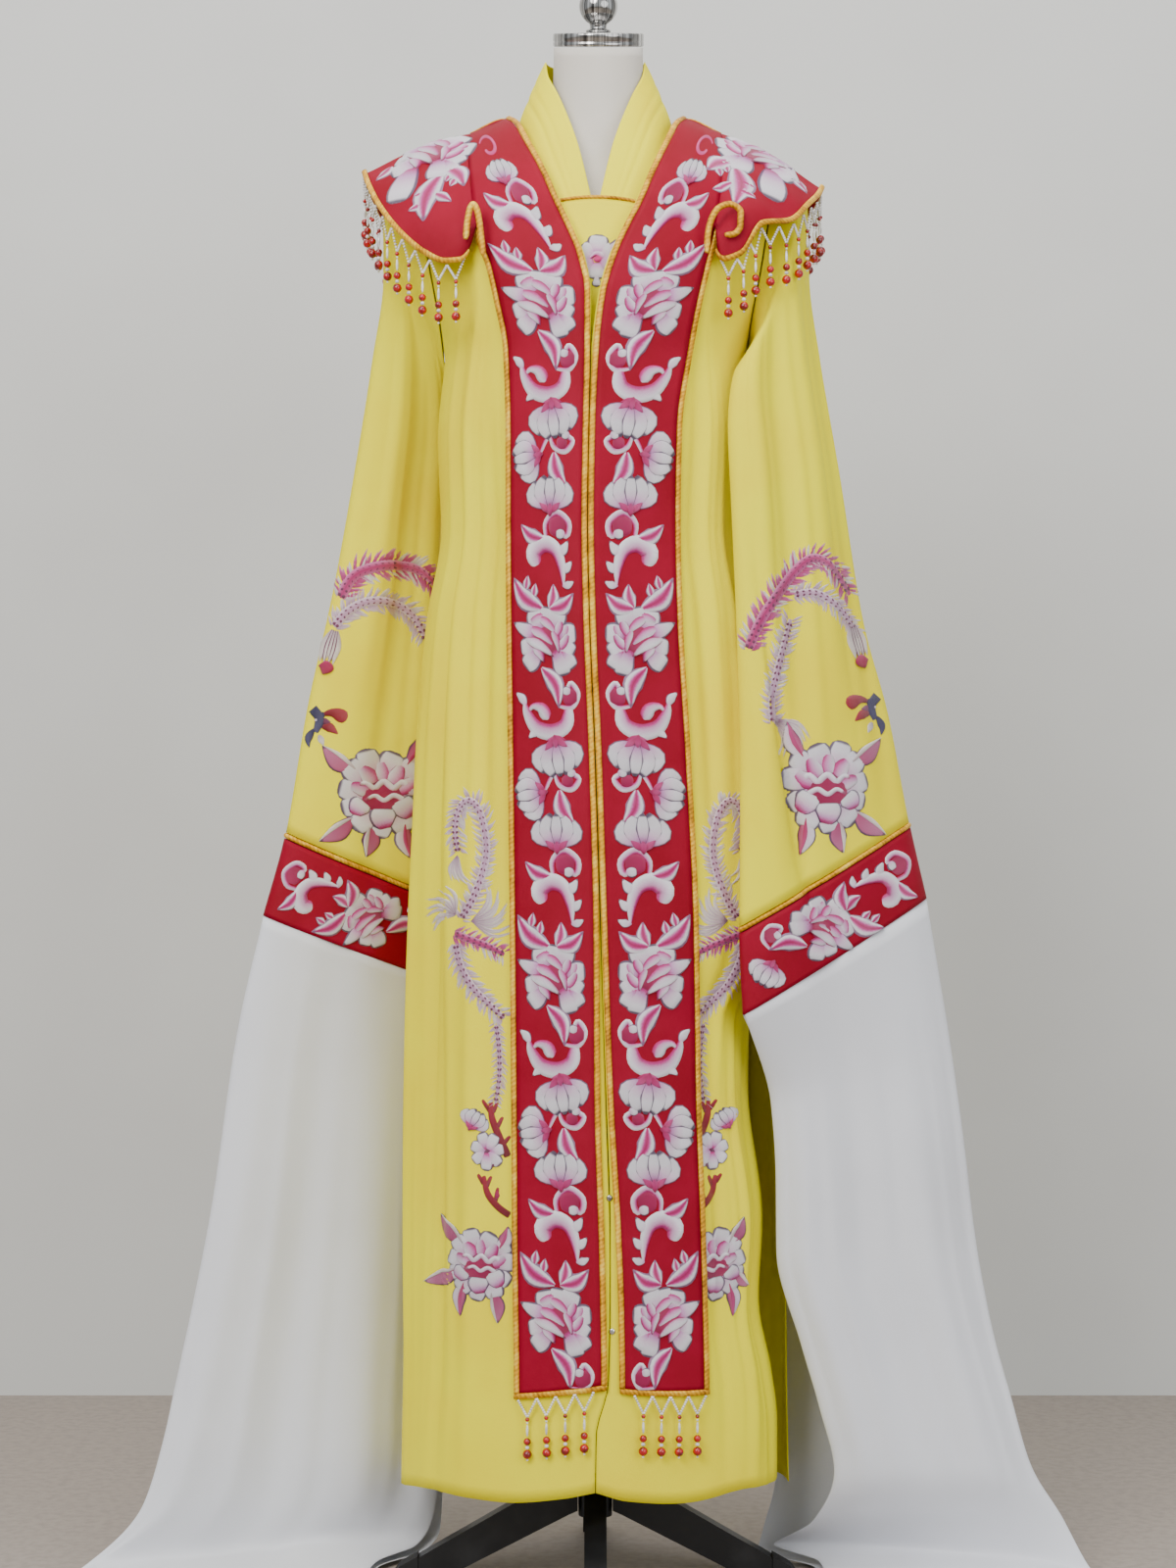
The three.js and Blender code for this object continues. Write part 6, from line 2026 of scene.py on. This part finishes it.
def bead_curtain(name, tops, node):
    """Strands hung from a row of points: beads on two legs, then one below the other."""
    ball = merge_points(*bead_shape(4))
    seed_ball = merge_points(*bead_shape(3))
    seed = sizes().seed / MM / 2
    scale = sizes().strand / MM / STRAND_LENGTH
    spots = []
    for k in range(len(tops) - 1):
        left, right = tops[k], tops[k + 1]
        bottom = (left + right) / 2 - np.array([0, 0, LEG_DROP * scale])
        sway = random.uniform(-SWAY, SWAY)
        for start in (left, right):
            for step in range(LEG_BEADS):
                at = mix(start, bottom, (step + 0.5) / LEG_BEADS)
                spots.append((at, seed, seed * SEED_FLATNESS, "clear"))
        for drop, half_width, half_height, kind in STRAND:
            at = bottom + np.array([sway * drop / SWAY_AT, 0, -drop * scale])
            spots.append((at, half_width, half_height, kind))
    parts, marks = [], []
    for at, half_width, half_height, kind in spots:
        shape, face = ball if half_width > SMALL_BEAD else seed_ball
        parts.append((shape * np.array([half_width, half_width, half_height]) + at, face))
        marks += [BEAD_KINDS.index(kind)] * len(face)
    piece = new_piece(name, *joined(parts))
    finish_piece(piece, [FINISHES[f"{kind}_glass"] for kind in BEAD_KINDS], "beads", node)
    paint_faces(piece, marks)


def evenly_along(p, gap):
    """Points on a line at equal distances near the gap, from end to end."""
    far = travelled(p)
    count = max(2, int(round(far[-1] / gap)) + 1)
    at = np.linspace(0, far[-1], count)
    return np.stack([np.interp(at, far, p[:, k]) for k in range(3)], axis=1)


class COSTUME_OT_fringes(CostumeOperator):
    """Threads the bead fringes below the bands, the wings and the back"""

    bl_idname = "costume.fringes"
    bl_label = "Bead fringes"
    # Where a band's strands start: in from its two corners, below its end and off the cloth.
    INSET, OUTSET, BELOW, LIFT = 7.0, 1.0, 5.0, 6.8
    WING_END, BACK_END = 0.045, 0.02

    def make(self):
        gap = sizes().strand_gap / MM
        below_edge = np.array([0, 0, 3.0])
        random.seed(11)
        for side, sign in SIDES.items():
            inner_end, outer_end = BAND_END[side]
            ends = curve(BAND[side], outer_end)
            v = np.linspace(0, 1, 5)
            x = mix(ends[0] + sign * self.INSET, ends[1] - sign * self.OUTSET, v)
            tops = at_x(side, x, mix(inner_end, outer_end, v) - self.BELOW)
            tops = tops + outward(tops) * self.LIFT
            bead_curtain(f"Fringe_band_{side}", tops, f"fringe_band_{side}")
            place = np.linspace(self.WING_END, 1 - self.WING_END, 240)
            rim = wing(side, np.ones_like(place), place) - below_edge
            bead_curtain(f"Fringe_wing_{side}", evenly_along(rim, gap), f"fringe_wing_{side}")
        u = np.linspace(self.BACK_END, 1 - self.BACK_END, 160)
        rim = cape_back(u, np.zeros_like(u)) - below_edge
        bead_curtain("Fringe_back", evenly_along(rim, gap), "fringe_back")


# ------------------------------------------------------------------ dress form


class COSTUME_OT_form(CostumeOperator):
    """Turns the padded dress form and gives its stand a finish"""

    bl_idname = "costume.form"
    bl_label = "Dress form"

    def make(self):
        sides = GRIDS["torso"][0]
        turn, v = ring_grid("torso")
        p = form(turn, mix(FORM[0][0], FORM[-1][0], v))
        caps = [[mix(ring, ring.mean(axis=0), t) for t in CAP_STEPS] for ring in (p[0], p[-1])]
        grid = np.array([*caps[0][::-1], *p, *caps[1]])
        count = len(grid)
        points = grid.reshape(-1, 3)
        faces = grid_faces(sides, count, 0, True)
        points, faces = close_ends(points, faces, sides, count)
        around = np.broadcast_to(np.arange(sides)[None, :] / sides * FORM_ROUND, (count, sides))
        rise = grid[..., 2] * MM
        uv = np.stack([around, rise], axis=-1).reshape(-1, 2)
        uv = np.concatenate([uv, np.zeros((2, 2))])
        piece = new_piece("Form_torso", points, faces, {"Weave": uv})
        finish_piece(piece, FINISHES["jersey"], "jersey", "form_torso")
        self.turned("Form_cap", self.cap_profile(), "form_cap")
        self.turned("Form_finial", self.ball_profile(), "form_finial")
        nodes = frame["nodes"]
        for node in nodes:
            if node.startswith(("form_pole", "form_hub", "form_leg")):
                self.dress(nodes[node], FINISHES["paint"])
            elif node.startswith("form_foot"):
                self.dress(nodes[node], FINISHES["rubber"])

    def dress(self, node, finish):
        for holder in [node, *node.children_recursive]:
            if holder.type != "MESH":
                continue
            for k in range(len(holder.material_slots)):
                holder.material_slots[k].material = finish
            bevel = holder.modifiers.new("Rounded edges", "BEVEL")
            bevel.width, bevel.segments, bevel.limit_method = 0.0016, 3, "ANGLE"

    def cap_profile(self):
        r, h, e = 44.0, 13.0, 1.8
        turn = np.linspace(0, np.pi / 2, 7)
        low = [(r - e + e * math.sin(t), 0.3 + e - e * math.cos(t)) for t in turn]
        groove = [(r, 4.2), (r - 0.5, 4.7), (r - 0.5, 5.1), (r, 5.6)]
        high = [(r - e + e * math.cos(t), h - e + e * math.sin(t)) for t in turn]
        flat = [(x, h + 0.6 * (1 - (x / 42) ** 2)) for x in (36, 28, 18, 8, 1)]
        return [(1, 0.3), (20, 0.3), *low, *groove, *high, *flat]

    def ball_profile(self):
        stem, base, neck, ball = 8.6, 13.9, 8.0, 18.6
        start = math.asin(stem / ball)
        middle = base + neck + ball * math.cos(start)
        turns = np.linspace(start, np.pi - 0.05, 40)
        ring = [(stem + 3, base), (stem + 3.6, base + 1.2), (stem + 2.6, base + 2.4)]
        stalk = [(stem, base + 3), (stem - 0.6, base + 5), (stem, base + 7.4)]
        round_part = [(ball * math.sin(t), middle - ball * math.cos(t)) for t in turns]
        return [(1, base), *ring, *stalk, *round_part]

    def turned(self, name, profile, node):
        """A solid of revolution, tipped as the top of the neck is."""
        sides = GRIDS["torso"][0]
        tip = math.radians(NECK_TIP)
        angle = np.arange(sides) * 2 * np.pi / sides
        r, z = np.array(profile).T
        p = np.stack(
            [r[:, None] * np.cos(angle), r[:, None] * np.sin(angle), z[:, None] + 0 * angle], -1
        )
        turned = p.copy()
        turned[..., 1] = p[..., 1] * math.cos(tip) - p[..., 2] * math.sin(tip)
        turned[..., 2] = p[..., 1] * math.sin(tip) + p[..., 2] * math.cos(tip)
        turned = turned + np.array(NECK_TOP)
        count = len(profile)
        faces = grid_faces(sides, count, 0, True)
        points = turned.reshape(-1, 3)
        points, faces = close_ends(points, faces, sides, count)
        u = np.abs(np.linspace(-1, 1, sides, endpoint=False))
        uv = np.stack(np.broadcast_arrays(u[None, :], (z * MM)[:, None]), -1).reshape(-1, 2)
        uv = np.concatenate([uv, np.zeros((2, 2))])
        piece = new_piece(name, points, faces, {"Weave": uv})
        finish_piece(piece, FINISHES["chrome"], "chrome", node)


# ------------------------------------------------------------------ embroidery on each piece

PEONY_HEARTS = (271, 590, 904, 1218)
BAND_PITCH, BAND_MIDDLE_SHIFT, BAND_FULL_WIDTH = 315, 1.5, 80
# The cuff's middle on the sleeve, its design's size and full length, and where along the cuff
# the hearts of the peonies lie: one is past its outer end, so that only its scrolls show.
CUFF_MIDDLE, CUFF_SCALE, CUFF_LENGTH = 7.54, 0.88, 201
CUFF_HEARTS = (-164, 113)


class COSTUME_OT_embroider_bands(CostumeOperator):
    """Embroiders peonies, buds and scrolls down both bands"""

    bl_idname = "costume.embroider_bands"
    bl_label = "Embroider the bands"

    def make(self):
        for side, sign in SIDES.items():
            n = Needle([f"Cape_band_{side}"])
            for heart in (*PEONY_HEARTS, PEONY_HEARTS[-1] + BAND_PITCH):

                def place(x, y, heart=heart):
                    height = np.clip(heart + y, BAND_END[side][0] + 4, BAND_TOP - 3)
                    edges = curve(BAND[side], height)
                    wide = np.abs(edges[..., 1] - edges[..., 0])
                    share = np.minimum(1.0, wide / BAND_FULL_WIDTH)
                    middle = (edges[..., 0] + edges[..., 1]) / 2
                    return middle + sign * (x + BAND_MIDDLE_SHIFT) * share, height

                n.place = place
                if heart == PEONY_HEARTS[0]:
                    n.petals(PEONY, 0.96)
                    first_pair(n)
                elif heart > PEONY_HEARTS[-1]:
                    band_scrolls(n)
                    n.bud(0, -194, 84, 0.86)
                    spiral(n, 10, -154, 1.3)
                else:
                    band_motif(n)
            n.finish(f"Embroidery_band_{side}")


class COSTUME_OT_embroider_wings(CostumeOperator):
    """Embroiders a peony on each shoulder and a row of flowers across the back"""

    bl_idname = "costume.embroider_wings"
    bl_label = "Embroider the wings and back"

    def make(self):
        for side, sign in SIDES.items():
            for way, facing in ((1, "front"), (-1, "back")):
                beside = f"Cape_band_{side}" if way > 0 else "Cape_back"
                n = Needle([f"Cape_wing_{side}", beside], way, tilt=38)
                n.over(sign * 156, way * -30, 1373, angle=sign * -10, flip=sign)
                n.petals(PEONY, 1.2, 14)
                n.patch("petal", [(16, -14), (20, -42), (22, -66)], 31, "round", 1, along=True)
                n.leaf((-18, -36), (-10, -92), 30, 0.12, serrated=True)
                n.leaf((-18, -28), (-42, -54), 24, -0.12, serrated=True)
                n.leaf((40, -4), (52, -24), 16, -0.12)
                n.finish(f"Embroidery_wing_{facing}_{side}")
        n = Needle(["Cape_back"], way=-1)
        bloom(n.at(0, 1316), 0.96, 0, ((30, 20, 56, 12), (-30, 20, -56, 12), (4, -36, 0, -62)))
        for sign in (-1, 1):
            n.at(sign * 66, 1318, flip=sign)
            n.curl([(-4, -6), (8, -22), (24, -10), (14, -4)], 7, "curl")
            n.bud(14, 18, 60, 0.8)
            n.leaf((22, -14), (30, -34), 11, 0.1)
        n.finish("Embroidery_back")


class COSTUME_OT_embroider_sleeves(CostumeOperator):
    """Embroiders long tail feathers, a bird's head and a peony on the sleeves and cuffs"""

    bl_idname = "costume.embroider_sleeves"
    bl_label = "Embroider the sleeves and cuffs"

    PLUMES = {
        "left": [
            ([(-248, 950), (-232, 974), (-200, 984), (-174, 981), (-152, 962)], 30, "rich"),
            ([(-254, 922), (-240, 938), (-220, 948), (-196, 947), (-178, 934), (-166, 912)], 26, "pale"),
        ],
        "right": [
            ([(142, 896), (152, 920), (167, 944), (187, 971), (206, 985), (226, 977), (246, 952)],
             28, "rich"),
            ([(166, 828), (165, 850), (169, 872), (177, 903), (184, 928)], 22, "pale"),
            ([(186, 950), (208, 952), (228, 942), (242, 929), (250, 916)], 22, "pale"),
        ],
    }
    HEART = {"left": (-208, 763), "right": (218, 770)}
    HEAD = {"left": (-268, 829), "right": (266, 841)}
    TAIL = {"left": ((252, 920), (261, 888)), "right": ((246, 924), (256, 893))}

    def make(self):
        random.seed(5)
        leaves = (
            (26, 22, 62, 50), (-24, 28, -42, 66), (30, -26, 66, -52), (-22, -32, -28, -72),
            (14, -36, 18, -70),
        )
        for side, sign in SIDES.items():
            for way, facing in ((1, "front"), (-1, "back")):
                n = Needle([f"Robe_sleeve_{side}"], way)
                for line, width, tone in self.PLUMES[side]:
                    plume(n.at(0, 0), line, width, tone)
                base, tip = self.TAIL[side]
                tail(n.at(0, 0, flip=sign), base, tip, 24)
                if side == "right":
                    fan(n.at(0, 0), 167, 832, 304, 42, 8, 56)
                bloom(n.at(*self.HEART[side], flip=sign), 0.92, 0, leaves)
                bird(n.at(*self.HEAD[side], flip=-sign))
                n.finish(f"Embroidery_sleeve_{facing}_{side}")
                self.cuff(side, sign, way, facing)

    def cuff(self, side, sign, way, facing):
        """The band's scrolls, leaves and peony, laid along the cuff from its outer end."""
        n = Needle([f"Cuff_{side}"], way)
        middle = curve(SLEEVE[side], CUFF_MIDDLE)
        outer, run = middle[[0, 2]], middle[[3, 5]] - middle[[0, 2]]
        long = np.hypot(*run)
        inward = run / long
        down = np.array([inward[1], -inward[0]]) * -sign

        def from_end(start):
            def place(x, y):
                far = (start - y * CUFF_SCALE) * long / CUFF_LENGTH
                low = x * CUFF_SCALE
                return tuple(outer[k] + inward[k] * far + down[k] * low for k in (0, 1))

            return place

        n.place = from_end(CUFF_HEARTS[0])
        band_scrolls(n)
        n.place = from_end(CUFF_HEARTS[1])
        n.petals(PEONY, 0.98)
        first_pair(n)
        n.bud(4, -66, 300, 0.9)
        n.finish(f"Embroidery_cuff_{facing}_{side}")


class COSTUME_OT_embroider_robe(CostumeOperator):
    """Embroiders feathers, a red branch and a peony down the robe's sides"""

    bl_idname = "costume.embroider_robe"
    bl_label = "Embroider the robe"

    def make(self):
        random.seed(7)
        for side, sign in SIDES.items():
            n = Needle([f"Robe_front_{side}"])
            shift = {"left": 0, "right": 8}[side]
            self.motifs(n, sign, shift)
            n.finish(f"Embroidery_robe_{side}")
        n = Needle(["Robe_back"], way=-1)
        for sign in (-1, 1):
            self.motifs(n, sign, -20)
        bloom(n.at(0, 420, size=1.3), 1.0, 0)
        n.finish("Embroidery_robe_back")

    def motifs(self, n, sign, shift):
        n.at(sign * shift, 0, flip=sign)
        loop = [(127, 644), (116, 662), (106, 688), (102, 712), (107, 741), (116, 755)]
        plume(n, [*loop, (125, 753), (131, 740), (132, 724), (129, 706)], 22, "pale")
        plume(n, [(134, 631), (116, 625), (99, 619), (84, 612)], 21, "rich")
        plume(n, [(132, 622), (127, 602), (116, 582), (101, 567), (84, 552)], 22, "pale")
        plume(n, [(93, 548), (90, 524), (90, 496), (94, 470)], 15, "pale")
        fan(n, 131, 648, 14, 32, 8, 104)
        fan(n, 129, 704, 262, 30, 6, 44)
        fan(n, 116, 642, 150, 40, 9, 84)
        twig(n.at(sign * (101 + shift), 426, flip=sign))
        far = 80 if shift <= 0 else 50
        leaves = (
            (22, 24, far * 0.4 + 24, 60), (-24, 20, -36, 52), (30, -8, far, -34), (22, -24, 28, -72),
            (-14, -34, -22, -78),
        )
        bloom(n.at(sign * (107 + min(shift, 2)), 322, flip=sign, size=0.71), 1.0, 4, leaves)


class COSTUME_OT_embroider_bodice(CostumeOperator):
    """Embroiders the small flower in the V"""

    bl_idname = "costume.embroider_bodice"
    bl_label = "Embroider the bodice"

    def make(self):
        n = Needle(["Bodice"]).at(1, 1263)
        for x, y in ((-7, 6), (7, 6), (-9, -5), (9, -4), (0, -11), (16, 9), (1, 13)):
            n.patch("lobe", [(x * 0.3, y * 0.3), (x * 2.3, y * 1.8)], 21, "round", 1 + (x + y) % 3 * 0.4)
        n.patch("centre", [(-8, -1), (0, 5), (8, 0)], 8, "drop", 3)
        n.patch("rose", [(-3, -1), (5, 0)], 6, "disc", 4)
        n.patch("white", [(0, -14), (0, -27)], 9, "drop", 2)
        n.finish("Embroidery_bodice")


class COSTUME_OT_snaps(CostumeOperator):
    """Sews small metal snaps on the front edge of the robe"""

    bl_idname = "costume.snaps"
    bl_label = "Snaps"
    PLACES = ((13.0, 387), (15.4, 263))

    def make(self):
        radius, rise, lift, turns, rings = 3.0, 1.2, 0.2, 24, 8
        needle = Needle(["Robe_front_left", "Robe_front_right"])
        angle = np.arange(turns) * 2 * np.pi / turns
        r = radius * np.sin(np.linspace(np.pi / 2, 0.06, rings))[:, None]
        h = rise * np.cos(np.linspace(np.pi / 2, 0, rings))[:, None]
        for k, (x, z) in enumerate(self.PLACES):
            u, v = x + r * np.cos(angle), z + r * np.sin(angle)
            p = needle.land(u, v, h + lift + 0 * angle)
            piece = new_piece(
                f"Snap_{k + 1}", p.reshape(-1, 3), grid_faces(turns, rings, 0, True),
                {"Weave": np.stack([u, v], -1).reshape(-1, 2) * MM},
            )
            finish_piece(piece, FINISHES["chrome"], "chrome")


# ------------------------------------------------------------------ panel and run

OPERATORS = (
    COSTUME_OT_camera, COSTUME_OT_finishes, COSTUME_OT_stage, COSTUME_OT_form,
    COSTUME_OT_robe, COSTUME_OT_sleeves, COSTUME_OT_water_sleeves, COSTUME_OT_collar,
    COSTUME_OT_cape, COSTUME_OT_bindings, COSTUME_OT_curls, COSTUME_OT_fringes,
    COSTUME_OT_snaps, COSTUME_OT_embroider_bands, COSTUME_OT_embroider_wings,
    COSTUME_OT_embroider_sleeves, COSTUME_OT_embroider_robe, COSTUME_OT_embroider_bodice,
)


class COSTUME_PT_panel(bpy.types.Panel):
    """The costume's pieces, in the order that they are made"""

    bl_idname = "COSTUME_PT_panel"
    bl_label = "Costume"
    bl_space_type = "VIEW_3D"
    bl_region_type = "UI"
    bl_category = "Costume"

    def draw(self, context):
        for settings in (context.scene.costume_colours, context.scene.costume_sizes):
            for name in settings.__annotations__:
                self.layout.prop(settings, name)
        for operator in OPERATORS:
            self.layout.operator(operator.bl_idname)


CLASSES = (CostumeColours, CostumeSizes, *OPERATORS, COSTUME_PT_panel)


def register():
    for each in CLASSES:
        bpy.utils.register_class(each)
    bpy.types.Scene.costume_colours = bpy.props.PointerProperty(type=CostumeColours)
    bpy.types.Scene.costume_sizes = bpy.props.PointerProperty(type=CostumeSizes)


def unregister():
    del bpy.types.Scene.costume_colours
    del bpy.types.Scene.costume_sizes
    for each in reversed(CLASSES):
        bpy.utils.unregister_class(each)


def main():
    register()
    for operator in OPERATORS:
        group, call = operator.bl_idname.split(".")
        getattr(getattr(bpy.ops, group), call)()


if __name__ == "__main__":
    main()
